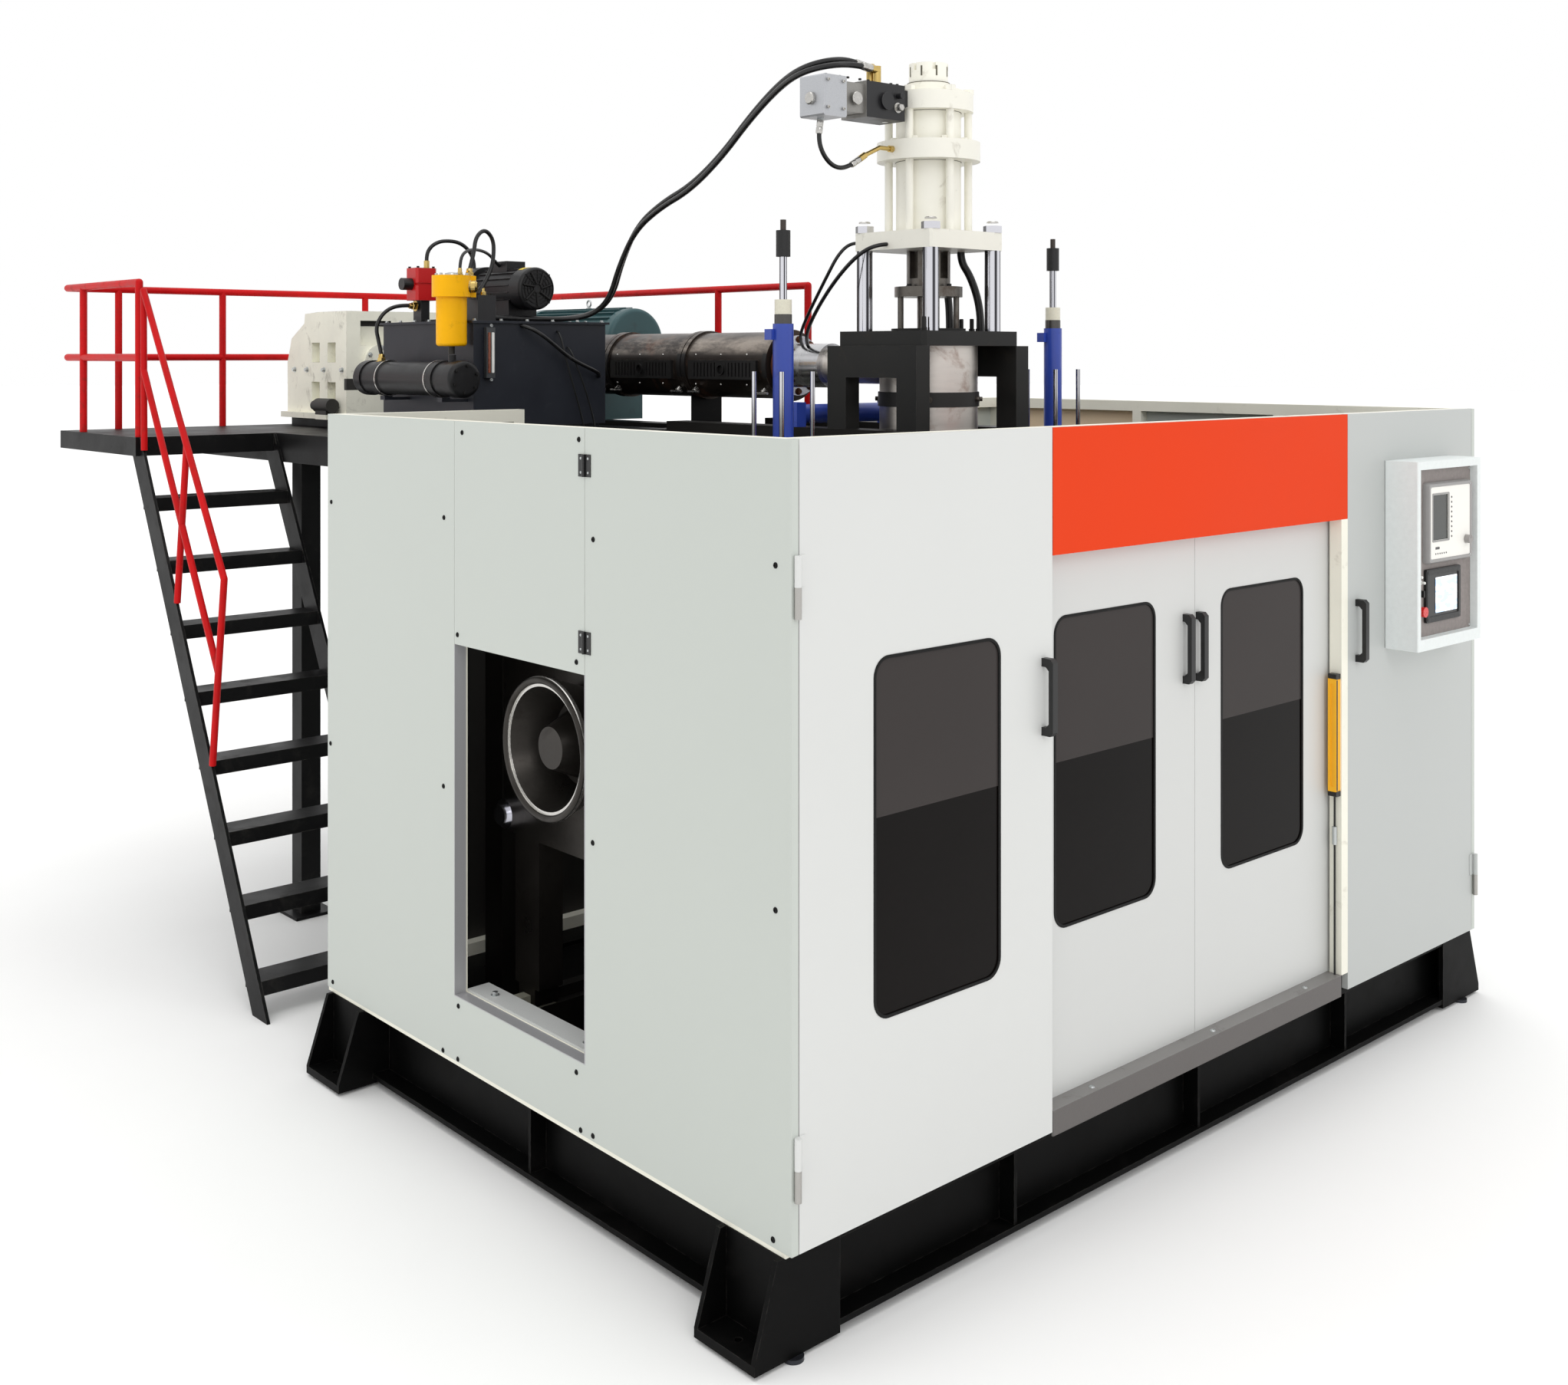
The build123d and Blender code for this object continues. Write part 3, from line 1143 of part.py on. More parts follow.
def make_gallery():
    """Deck plate with edge beams under it, for the gallery and the landing in one weldment."""
    z_plate = (DECK_TOP - DECK_PLATE, DECK_TOP)
    gx, gy = GALLERY_X, GALLERY_Y
    landing_x = (LANDING_X0, gx[0])
    landing_y = (LANDING_Y0, gy[1])
    plates = [block(gx, gy, z_plate), block(landing_x, landing_y, z_plate)]
    deep = (DECK_TOP - GALLERY_EDGE, z_plate[0])
    shallow = (DECK_TOP - LANDING_EDGE, z_plate[0])
    beams = [block((gx[0], gx[0] + EDGE_W), gy, deep), block((gx[1] - EDGE_W, gx[1]), gy, deep),
             block(gx, (gy[0], gy[0] + EDGE_W), deep), block(gx, (gy[1] - EDGE_W, gy[1]), deep),
             block(gx, about(POST_Y[1], EDGE_W), deep)]
    beams += [block(about(side * BED_X, EDGE_W), gy, deep) for side in (-1, 1)]
    beams += [block(landing_x, (landing_y[0], landing_y[0] + EDGE_W), shallow),
              block(landing_x, (landing_y[1] - EDGE_W, landing_y[1]), shallow),
              block((landing_x[0], landing_x[0] + EDGE_W), landing_y, shallow)]
    save("gallery_deck", fuse(*plates, *beams))

    posts = []
    for x, y in GALLERY_POSTS:
        post = block(about(x, POST), about(y, POST), (POST_PLATE_T, deep[0]))
        foot = block(about(x, POST_PLATE), about(y, POST_PLATE), (0, POST_PLATE_T))
        posts.append(fuse(post, foot))
    save("gallery_posts", *posts)


def rail_run(points):
    """Tubes through a list of points, with round elbows."""
    runs = [tube_between(RAIL_R, a, b) for a, b in zip(points, points[1:])]
    elbows = [Pos(*point) * Sphere(RAIL_R) for point in points[1:-1]]
    return fuse(*runs, *elbows)


def make_railing():
    """Two-rail railing round the landing, the back and the far side of the gallery."""
    left = LANDING_X0 + RAIL_INSET
    right = GALLERY_X[1] - RAIL_INSET
    back = GALLERY_Y[1] - RAIL_INSET
    near = RAIL_POSTS_LEFT[0]
    top = DECK_TOP + RAIL_HEIGHT - RAIL_R
    pieces = []
    for z in (top, DECK_TOP + RAIL_MID):
        pieces.append(rail_run([(left, near, z), (left, back, z), (right, back, z),
                                (right, RAIL_FRONT_END, z)]))
    posts = [(left, y) for y in RAIL_POSTS_LEFT] + [(x, back) for x in RAIL_POSTS_BACK]
    posts += [(right, y) for y in RAIL_POSTS_RIGHT] + [(right, RAIL_FRONT_END)]
    for x, y in posts:
        pieces.append(rod_z(RAIL_R, x, y, (DECK_TOP, top)))
        pieces.append(Pos(x, y, top) * Sphere(RAIL_R))
    save("gallery_railing", fuse(*pieces))


def stair_edge(z):
    """Y of the stringers' walking edge at a height."""
    return LANDING_Y0 - (DECK_TOP - z) / STAIR_SLOPE


def make_stair():
    """Two flat stringers with folded treads welded between them."""
    top = DECK_TOP - LANDING_EDGE
    back = STRINGER_DEPTH
    tip = DECK_TOP - STAIR_TOP_GAP
    outline = Polyline((stair_edge(0), 0), (stair_edge(0) + back, 0), (stair_edge(top) + back, top),
                       (LANDING_Y0, top), (LANDING_Y0 - CLEAR, top), (LANDING_Y0 - CLEAR, tip),
                       (stair_edge(tip), tip), close=True)
    face = make_face(Plane.YZ * outline)
    left = Pos(STAIR_X0, 0, 0) * extrude(face, STRINGER_T)
    right = Pos(STAIR_X0 + STRINGER_T + STAIR_WIDTH, 0, 0) * extrude(face, STRINGER_T)
    x = (STAIR_X0 + STRINGER_T, STAIR_X0 + STRINGER_T + STAIR_WIDTH)
    treads = []
    for step in range(1, STAIR_STEPS + 1):
        z = DECK_TOP - step * STAIR_RISE
        y = (stair_edge(z), stair_edge(z) + TREAD_DEPTH)
        under = block(x, (y[0] + TREAD_T, y[1] - TREAD_T), (z - TREAD_LIP - 1, z - TREAD_T))
        treads.append(block(x, y, (z - TREAD_LIP, z)) - under)
    save("stair", fuse(left, right, *treads))


def make_handrail():
    """Stair handrail standing on the left stringer's walking edge."""
    x = STAIR_X0 + STRINGER_T / 2
    foot = (x, stair_edge(HANDRAIL_FOOT), HANDRAIL_FOOT)
    bend = (x, *HANDRAIL_LOW)
    head = (x, *HANDRAIL_TOP)
    start = (x, stair_edge(HANDRAIL_START), HANDRAIL_START)
    middle_foot = (x, stair_edge(HANDRAIL_MID), HANDRAIL_MID)
    lean = Vector(*bend) - Vector(*foot)
    slope = Vector(*head) - Vector(*bend)
    reach = Vector(*middle_foot) - Vector(*bend)
    along = (reach.Y * lean.Z - reach.Z * lean.Y) / (slope.Y * lean.Z - slope.Z * lean.Y)
    middle_top = tuple(Vector(*bend) + slope * along)
    half_low = tuple((Vector(*foot) + Vector(*bend)) * 0.5)
    half_high = tuple((Vector(*start) + Vector(*head)) * 0.5)
    rails = [tube_between(HANDRAIL_R, foot, bend), tube_between(HANDRAIL_R, bend, head),
             tube_between(HANDRAIL_R, start, head), tube_between(HANDRAIL_R, half_high, half_low),
             tube_between(HANDRAIL_R, middle_foot, middle_top)]
    joints = [Pos(*spot) * Sphere(HANDRAIL_R) for spot in (bend, head, half_low, half_high)]
    far = GALLERY_Y[1]
    under = make_face(Plane.YZ * Polyline((stair_edge(0), 0), (far, 0), (far, DECK_TOP),
                                          (stair_edge(DECK_TOP), DECK_TOP), close=True))
    cut = Pos(x, 0, 0) * extrude(under, STAIR_WIDTH / 2, both=True)
    save("stair_handrail", fuse(*rails, *joints) - cut)


# Extruder


def zone_spans():
    """(start, end) of each heater zone along Y."""
    first = BARREL_FRONT + ADAPTER_LENGTH + FLANGE_LENGTH + ZONE_GAP
    last = GEARBOX_Y[0] - FEED_LENGTH - ZONE_GAP
    starts = [first + i * (ZONE_LENGTH + ZONE_GAP) for i in range(ZONE_COUNT)]
    return [(start, min(start + ZONE_LENGTH, last)) for start in starts]


def make_barrel():
    """Barrel with its head adapter, clamp flange and feed block."""
    y0 = BARREL_FRONT
    y1 = y0 + ADAPTER_LENGTH
    end = GEARBOX_Y[0]
    adapter = rod_y(ADAPTER_R, 0, (y0, y1), AXIS_Z)
    flange = rod_y(FLANGE_R, 0, (y1, y1 + FLANGE_LENGTH), AXIS_Z)
    body = rod_y(BARREL_R, 0, (y1, end), AXIS_Z)
    feed = block(about(0, 2 * FEED_HALF), (end - FEED_LENGTH, end), about(AXIS_Z, 2 * FEED_HALF))
    whole = fuse(adapter, flange, body, feed)
    bore = rod_y(BORE_R, 0, (y1 - BORE_IN, end + 1), AXIS_Z)
    channel = rod_y(MELT_R, 0, (y0 - 1, y1), AXIS_Z)
    feed_y = end - FEED_LENGTH / 2
    top = AXIS_Z + FEED_HALF
    throat = fuse(rod_z(FEED_THROAT_R, 0, feed_y, (top - FEED_SEAT, top + 1)),
                  rod_z(FEED_INNER_R, 0, feed_y, (AXIS_Z, top)))
    save("barrel", whole - bore - channel - throat)


def make_screw():
    """Screw with one helical flight, its point at the adapter and its shank in the feed block."""
    tip = BARREL_FRONT + ADAPTER_LENGTH + SCREW_TIP_GAP
    end = GEARBOX_Y[0] - CLEAR
    core = rod_y(SCREW_ROOT, 0, (tip + SCREW_POINT, end), AXIS_Z)
    point = Pos(0, tip + SCREW_POINT / 2, AXIS_Z) * Rot(90, 0, 0) * Cone(SCREW_ROOT, SCREW_TIP_R, SCREW_POINT)
    flight_r = BORE_R - SCREW_CLEAR
    turns = int((end - tip - 2 * SCREW_POINT) / SCREW_PITCH)
    path = Helix(pitch=SCREW_PITCH, height=SCREW_PITCH * turns, radius=SCREW_ROOT - 2)
    height = flight_r - SCREW_ROOT + 2
    spot = Plane(origin=path @ 0, z_dir=path % 0, x_dir=(1, 0, 0))
    profile = spot * Pos(height / 2, 0) * Rectangle(height, SCREW_FLIGHT)
    flight = sweep(profile, path=path, is_frenet=True)
    flight = Pos(0, tip + SCREW_POINT + SCREW_TIP_GAP, AXIS_Z) * Rot(-90, 0, 0) * flight
    save("extruder_screw", fuse(core, point, flight))


def blower_box(side, y, z):
    """Slotted air box on a cover's side, with the blower's round port in its middle."""
    x = sorted((side * (SHROUD_R - RETURN), side * (SHROUD_R + BLOWER_OUT)))
    box = block(x, y, about(z, BLOWER_H))
    face = x[0] if side < 0 else x[1]
    cut = sorted((face - side * BLOWER_SLOT_DEEP, face + side))
    first = y[0] + BLOWER_MARGIN
    count = int((y[1] - y[0] - 2 * BLOWER_MARGIN) / BLOWER_PITCH) + 1
    slots = [block(cut, about(first + i * BLOWER_PITCH, BLOWER_SLOT_W), about(z, BLOWER_SLOT_H))
             for i in range(count)]
    middle = (y[0] + y[1]) / 2
    plain = block(x, about(middle, 2 * BLOWER_H / 3), about(z, BLOWER_H))
    ring = rod_x(BLOWER_PORT_R, sorted((face - side, face + side * PORT_OUT)), middle, z)
    port = rod_x(BLOWER_PORT_R - SHROUD_T, sorted((face - side * BLOWER_SLOT_DEEP, face + 2 * side * PORT_OUT)),
                 middle, z)
    return fuse(box - fuse(*slots), plain, ring) - port


def make_shrouds():
    """Heater zone shrouds: a rolled cover with end rings, and a slotted air box on each side."""
    solids = []
    for start, end in zone_spans():
        cover = rod_y(SHROUD_R, 0, (start, end), AXIS_Z)
        rings = [rod_y(ZONE_RING_R, 0, (start, start + ZONE_RING), AXIS_Z),
                 rod_y(ZONE_RING_R, 0, (end - ZONE_RING, end), AXIS_Z)]
        inside = rod_y(BARREL_R + CLEAR, 0, (start - 1, end + 1), AXIS_Z)
        hollow = rod_y(SHROUD_R - SHROUD_T, 0, (start + ZONE_WALL, end - ZONE_WALL), AXIS_Z)
        length = min(BLOWER_LENGTH, end - start - 2 * ZONE_RING - BLOWER_DROP)
        boxes = [blower_box(side, about((start + end) / 2, length), AXIS_Z - BLOWER_DROP) for side in (-1, 1)]
        solids.append(fuse(cover, *rings, *boxes) - fuse(inside, hollow))
    save("barrel_shrouds", *solids)


def make_bed():
    """Two bed beams with a barrel saddle and the gearbox plinth."""
    z = (DECK_TOP, BED_TOP)
    start = GALLERY_Y[0] + EDGE_W
    beams = [block(about(side * BED_X, BED_BEAM), (start, GEARBOX_Y[1] + GEARBOX_TAIL), z) for side in (-1, 1)]
    plinth = block((GEARBOX_X[0] + PLINTH_IN, GEARBOX_X[1] - PLINTH_IN),
                   (GEARBOX_Y[0] - PLINTH_OUT, GEARBOX_Y[1] + PLINTH_OUT), z)
    tie = block((-BED_X, BED_X), (start, start + BED_BEAM), z)
    saddle_y = about(zone_spans()[1][0] - ZONE_GAP / 2, ZONE_GAP - 2 * CLEAR)
    saddle = block(about(0, 2 * SADDLE_HALF), saddle_y, (BED_TOP - 1, AXIS_Z - BARREL_R + SADDLE_GRIP))
    saddle_foot = block((-BED_X, BED_X), about(sum(saddle_y) / 2, SADDLE_HALF), z)
    seat = rod_y(BARREL_R + CLEAR, 0, (saddle_y[0] - 1, saddle_y[1] + 1), AXIS_Z)
    save("extruder_bed", fuse(*beams, plinth, tie, saddle_foot, saddle - seat))


def oil_pump():
    """Small pump on a seat at the gearbox's foot."""
    x = GEARBOX_X[0] - OIL_PUMP_OUT
    z = BED_TOP + OIL_PUMP_RISE
    y0, y1, y2 = [GEARBOX_Y[0] + along for along in OIL_PUMP_Y]
    wide, narrow = OIL_PUMP_R
    seat = block(about(x, 2 * OIL_PUMP_SEAT), (y0 + STRAP_HALF, y1 - STRAP_HALF), (BED_TOP, z))
    return fuse(rod_y(wide, x, (y0, y1), z), rod_y(narrow, x, (y1 - 1, y2), z), seat)


def make_gearbox():
    """Cast gearbox: stepped outline, pockets in its cheek, bearing cover, slots and a small oil pump."""
    x0, x1 = GEARBOX_X
    y0, y1 = GEARBOX_Y
    top = GEARBOX_TOP
    tail = y1 + GEARBOX_TAIL
    back = [(y1 + along, top - drop) for along, drop in GEARBOX_BACK]
    foot_line = [(y0, BED_TOP), (tail, BED_TOP), (tail, top - GEARBOX_SHOULDER)]
    outline = Polyline(*foot_line, *back, (y0, top), close=True)
    body = Pos(x0, 0, 0) * extrude(make_face(Plane.YZ * outline), x1 - x0)
    width, height = POCKET
    pockets = [block((x0 - 1, x0 + POCKET_DEEP), (y0 + column, y0 + column + width),
                     (BED_TOP + row, BED_TOP + row + height))
               for row in POCKET_ROWS for column in POCKET_COLUMNS]
    slots = [block((x0 + across[0], x0 + across[1]), (y0 - 1, y0 + SLOT_DEEP),
                   (BED_TOP + up[0], BED_TOP + up[1]))
             for across, up in (GEARBOX_SLOT, GEARBOX_DRAIN)]
    cover_x, cover_rise = BEARING_COVER_AT
    cover = rod_y(BEARING_COVER_R, x0 + cover_x, (y0 - BEARING_COVER_T, y0 + 1), BED_TOP + cover_rise)
    foot_out, foot_t = GEARBOX_FOOT
    foot = block((x0 - foot_out, x0 + 1), (y0, tail), (BED_TOP, BED_TOP + foot_t))
    save("gearbox", fuse(body, cover, foot, oil_pump()) - fuse(*pockets, *slots))


def make_drive_motor():
    """Drive motor beside the barrel, flanged to the gearbox, with cooling fins and feet."""
    y0, y1 = MOTOR_Y
    body_y = (y0 + MOTOR_COWL, y1 - MOTOR_BELL)
    body = rod_y(MOTOR_R, MOTOR_X, body_y, MOTOR_Z)
    cowl = rod_y(MOTOR_R + MOTOR_FIN_H / 2, MOTOR_X, (y0, body_y[0]), MOTOR_Z)
    cowl = fillet(cowl.edges().filter_by(GeomType.CIRCLE).sort_by(Axis.Y)[0], MOTOR_COWL / 3)
    bell = rod_y(MOTOR_R + MOTOR_FIN_H, MOTOR_X, (body_y[1], y1), MOTOR_Z)
    snout = rod_y(MOTOR_SNOUT_R, MOTOR_X, (y1 - 1, GEARBOX_Y[0]), MOTOR_Z)
    middle = sum(body_y) / 2
    turn = 360 / MOTOR_FINS
    fins = [Pos(MOTOR_X, middle, MOTOR_Z) * Rot(0, (i + 0.5) * turn, 0) * Pos(0, 0, MOTOR_R)
            * Box(MOTOR_FIN_T, body_y[1] - body_y[0], 2 * MOTOR_FIN_H)
            for i in range(MOTOR_FINS)]
    feet = block(about(MOTOR_X, 2 * MOTOR_R - 60), (y0 + 140, y1 - 120), (BED_TOP, MOTOR_Z - MOTOR_R + 60))
    core = rod_y(MOTOR_R - 1, MOTOR_X, (y0, y1), MOTOR_Z)
    save("drive_motor", fuse(body, cowl, bell, snout, *[fin - core for fin in fins], feet - core))


# Head


def stud_rods(radius, z):
    """Four upright bars on the studs' circle."""
    turns = [radians(angle) for angle in STUD_ANGLES]
    return [rod_z(radius, STUD_AT * cos(turn), STUD_AT * sin(turn), z) for turn in turns]


def cross_cylinder():
    """Horizontal cylinder that rests on the head beams, with square heads and its rod."""
    long_side, head_x = CROSS_HEAD
    z = HEAD_BASE + long_side / 2
    tube = rod_x(CROSS_R, CROSS_X, CROSS_Y, z)
    ends = [block((at, at + head_x), about(CROSS_Y, long_side), (HEAD_BASE, HEAD_BASE + long_side))
            for at in (CROSS_X[0], CROSS_X[1] - head_x)]
    rod = rod_x(CROSS_ROD_R, (CROSS_X[1] - 1, CROSS_X[1] + CROSS_ROD), CROSS_Y, z)
    return fuse(tube, *ends, rod)


def make_press_frame():
    """Columns and beams in the enclosure that carry the head and the upright cylinders."""
    solids = []
    column_top = HEADER_BEAM_TOP - HEADER_BEAM
    for x in (-COLUMN_X, COLUMN_X):
        for y in (-COLUMN_Y, COLUMN_Y):
            solids.append(block(about(x, COLUMN), about(y, COLUMN), (BEAM_TOP, column_top)))
    for y in (-COLUMN_Y, COLUMN_Y):
        solids.append(block(about(0, 2 * COLUMN_X + COLUMN), about(y, COLUMN), (column_top, HEADER_BEAM_TOP)))
    reach = COLUMN_Y + COLUMN / 2
    back = Y_END - SKIN - TUBE - HEAD_BEAM_BACK
    for x in (-HEAD_BEAM_X, HEAD_BEAM_X):
        solids.append(block(about(x, HEAD_BEAM_W), (-reach, back), (HEADER_BEAM_TOP, HEAD_BASE)))
    for x in (-LIFT_X, LIFT_X):
        beam = block(about(x, LIFT_BEAM_W), (-reach, reach), (HEADER_BEAM_TOP, LIFT_BEAM_TOP))
        through = (HEADER_BEAM_TOP - 1, LIFT_BEAM_TOP + 1)
        holes = [rod_z(GUIDE_R + FIT, x + i * GUIDE_AT, j * GUIDE_AT, through)
                 for i in (-1, 1) for j in (-1, 1)]
        holes.append(rod_z(LIFT_ROD_R + FIT, x, 0, through))
        solids.append(beam - fuse(*holes))
    save("press_frame", *solids)


def make_head_frame():
    """Two upright side frames cut from thick plate, and the head plate across them."""
    y = (-SIDE_Y, SIDE_Y)
    sides = []
    for side in (-1, 1):
        x = sorted((side * (SIDE_X - SIDE_T), side * SIDE_X))
        frame = block(x, y, (HEAD_BASE, SIDE_TOP))
        gap = block((x[0] - 1, x[1] + 1), (-SIDE_Y + SIDE_LEG, SIDE_Y - SIDE_LEG), (HEAD_BASE - 1, SIDE_OPEN))
        sides.append(frame - gap)
    save("head_side_frames", *sides)

    plate = block(about(0, 2 * (SIDE_X - PLATE_IN)), about(0, 2 * PLATE_HALF), (SIDE_TOP, PLATE_TOP))
    plate = chamfer(plate.edges().filter_by(Axis.Z), PLATE_CHAMFER)
    step = rod_z(PLATE_STEP_R, 0, 0, (PLATE_TOP, PLATE_TOP + PLATE_STEP))
    through = (SIDE_TOP - 1, PLATE_TOP + PLATE_STEP + 1)
    hole = rod_z(PISTON_ROD_R + FIT, 0, 0, through)
    studs = stud_rods(STUD_R + STUD_CLEAR, through)
    save("head_plate", fuse(plate, step) - fuse(hole, *studs))


def make_accumulator():
    """Accumulator head: heated body, clamp ring, lower body and die, with the ram chamber inside."""
    body = rod_z(HEAD_R, 0, 0, (HEAD_LOW, SIDE_TOP))
    ring = rod_z(HEAD_RING_R, 0, 0, HEAD_RING)
    neck = Pos(0, 0, (DIE_LOW + HEAD_LOW) / 2) * Cone(DIE_R, DIE_R + DIE_FLARE, HEAD_LOW - DIE_LOW)
    port = rod_y(ADAPTER_R - MELT_R, 0, (0, BARREL_FRONT), AXIS_Z)
    chamber = rod_z(HEAD_CHAMBER, 0, 0, HEAD_CHAMBER_Z)
    rod_hole = rod_z(PISTON_ROD_R + FIT, 0, 0, (HEAD_CHAMBER_Z[1] - 1, SIDE_TOP + 1))
    deepest = DISC_Z[0] - STUD_LENGTH - PISTON_STROKE
    studs = stud_rods(STUD_R + STUD_CLEAR, (deepest - STUD_R, SIDE_TOP + 1))
    outlet = rod_z(DIE_BORE, 0, 0, (DIE_LOW - 1, HEAD_CHAMBER_Z[0] + 1))
    feed = rod_y(MELT_R, 0, (HEAD_CHAMBER - 10, BARREL_FRONT + 1), AXIS_Z)
    whole = fuse(body, ring, neck, port)
    save("accumulator_head", whole - fuse(chamber, rod_hole, outlet, feed, *studs))


def make_tie_rods():
    """Four tie rods from the head plate to the cylinder's base plate, with nuts on top."""
    rods = []
    for x in (-TIE_AT, TIE_AT):
        for y in (-TIE_AT, TIE_AT):
            rod = rod_z(TIE_R, x, y, (PLATE_TOP, BASE_PLATE[0]))
            nut = hex_z(TIE_NUT, x, y, (BASE_PLATE[1], BASE_PLATE[1] + TIE_NUT_H))
            rods += [rod, nut]
    save("head_tie_rods", *rods)


def make_injection_cylinder():
    """Injection cylinder: square base plate, lower and upper tubes, two flanges, rods, neck and cap nut."""
    plate = block(about(0, 2 * BASE_HALF), about(0, 2 * BASE_HALF), BASE_PLATE)
    plate = chamfer(plate.edges().filter_by(Axis.Z), BASE_CHAMFER)
    tube = rod_z(CYL_R, 0, 0, (BASE_PLATE[1], FLANGE_TOP[0]))
    middle = rod_z(FLANGE_MID_R, 0, 0, FLANGE_MID)
    top = rod_z(FLANGE_TOP_R, 0, 0, FLANGE_TOP)
    step = rod_z(CYL_R + CYL_STEP[0], 0, 0, (FLANGE_TOP[1] - 1, FLANGE_TOP[1] + CYL_STEP[1]))
    neck = rod_z(NECK_R, 0, 0, (FLANGE_TOP[1], NECK_TOP))
    cap = rod_z(CAP_R, 0, 0, (NECK_TOP, CAP_TOP))
    core = rod_z(CAP_R - CAP_SLOT_W, 0, 0, (NECK_TOP, CAP_TOP + 1))
    slots = [Pos(0, 0, CAP_TOP) * Rot(0, 0, turn) * Box(3 * CAP_R, CAP_SLOT_W, 2 * CAP_SLOT_DEEP)
             for turn in (0, 60, 120)]
    cap = cap - (fuse(*slots) - core)
    rods = []
    for i in range(CYL_RODS):
        turn = radians(i * 360 / CYL_RODS + CYL_ROD_TURN)
        x, y = CYL_ROD_AT * cos(turn), CYL_ROD_AT * sin(turn)
        rods.append(rod_z(CYL_ROD_R, x, y, (BASE_PLATE[1] - 1, FLANGE_TOP[0] + 1)))
        rods.append(hex_z(CYL_NUT, x, y, (FLANGE_TOP[1] - 1, FLANGE_TOP[1] + CYL_NUT_H)))
    whole = fuse(plate, tube, middle, top, step, neck, cap, *rods)
    bore = rod_z(CYL_BORE, 0, 0, (BASE_PLATE[1] - BASE_PLATE_T / 2, FLANGE_TOP[0] - BORE_IN))
    gland = rod_z(PISTON_ROD_R + FIT, 0, 0, (BASE_PLATE[0] - 1, BASE_PLATE[1] + 1))
    save("injection_cylinder", whole - bore - gland)


def make_injection_piston():
    """Piston rod with coupling, disc, four studs and the ram in the head."""
    ram_z = (HEAD_CHAMBER_Z[1] - RAM_T - RAM_GAP, HEAD_CHAMBER_Z[1] - RAM_GAP)
    piston_low = BASE_PLATE[1] + PISTON_STROKE + PISTON_GAP
    rod = rod_z(PISTON_ROD_R, 0, 0, (ram_z[0], piston_low + 1))
    head = rod_z(CYL_BORE - FIT, 0, 0, (piston_low, piston_low + PISTON_T))
    coupling = rod_z(COUPLING_R, 0, 0, COUPLING_Z)
    slot_x, slot_half, slot_z = COUPLING_SLOT
    slots = [Rot(0, 0, turn) * block((slot_x, COUPLING_R + 1), (-slot_half, slot_half),
                                     (COUPLING_Z[0] + slot_z, COUPLING_Z[1] + 1))
             for turn in (0, 90, 180, 270)]
    disc = rod_z(DISC_R, 0, 0, DISC_Z)
    collar = rod_z(COUPLING_R - STUD_R, 0, 0, (DISC_Z[1] - 1, COUPLING_Z[0] + 1))
    studs = stud_rods(STUD_R, (DISC_Z[0] - STUD_LENGTH, DISC_Z[0] + 1))
    ram = rod_z(HEAD_CHAMBER - FIT, 0, 0, ram_z)
    save("injection_piston", fuse(rod, head, coupling - fuse(*slots), collar, disc, *studs, ram))


# Hoses

HOSE_A = [(-345, -18, 3850), (-430, -16, 3857), (-515, 45, 3852), (-545, 180, 3834), (-512, 345, 3792),
          (-486, 540, 3695), (-472, 740, 3556), (-462, 960, 3438), (-452, 1185, 3376), (-441, 1375, 3290),
          (-432, 1505, 3140), (-428, 1585, 2990), (-462, 1668, 2918), (-565, 1722, 2897), (-700, 1738, 2897),
          (-830, 1728, 2897), (-960, 1738, 2900)]
HOSE_B = [(-345, 18, 3862), (-418, 20, 3880), (-492, 72, 3878), (-518, 196, 3860), (-486, 360, 3822),
          (-458, 560, 3724), (-444, 762, 3582), (-434, 980, 3466), (-423, 1204, 3404), (-411, 1398, 3316),
          (-400, 1528, 3160), (-394, 1606, 3002), (-430, 1692, 2926), (-545, 1752, 2899), (-690, 1770, 2897),
          (-826, 1762, 2898), (-960, 1775, 2900)]
VALVE_HOSE = [(-600, 0, 3626), (-612, 0, 3565), (-590, 0, 3500), (-530, 0, 3452), (-455, 0, 3456),
              (-392, 0, 3494)]
FILTER_HOSE = [(-1082, 1722, 3104), (-1060, 1722, 3176), (-1050, 1724, 3250), (-1000, 1730, 3290),
               (-950, 1738, 3248), (-944, 1744, 3170), (-960, 1748, 3098), (-1000, 1752, 3032)]
COOLER_HOSE = [(-1045, 2250, 2960), (-1120, 2262, 2966), (-1195, 2274, 2932), (-1232, 2282, 2862),
               (-1214, 2285, 2795), (-1200, 2285, 2734)]


def bend_radii(points):
    """Radius at each corner of a route: as large as its two runs allow."""
    spots = [Vector(*point) for point in points]
    radii = []
    for a, b, c in zip(spots, spots[1:], spots[2:]):
        turn = (b - a).get_angle(c - b)
        shorter = min((b - a).length, (c - b).length)
        radii.append(0.45 * shorter / tan(radians(turn) / 2))
    return radii


def hose(name, points, radius):
    """Hose along its route: straight runs joined by tangent arcs."""
    radii = bend_radii(points)
    path = FilletPolyline(*points, radius=radii)
    start = Plane(origin=points[0], z_dir=Vector(*points[1]) - Vector(*points[0]))
    solid = sweep(start * Circle(radius), path=path)
    section = pi * radius ** 2 * path.length
    print(name, "length", round(path.length), "least radius", round(min(radii)), "volume ratio",
          round(solid.volume / section, 4))
    save(name, solid)


def make_hoses():
    hose("main_hose_left", HOSE_A, HOSE_R)
    hose("main_hose_right", HOSE_B, HOSE_R)
    hose("valve_hose", VALVE_HOSE, SMALL_HOSE_R)
    hose("filter_hose", FILTER_HOSE, SMALL_HOSE_R)
    hose("cooler_hose", COOLER_HOSE, SMALL_HOSE_R)


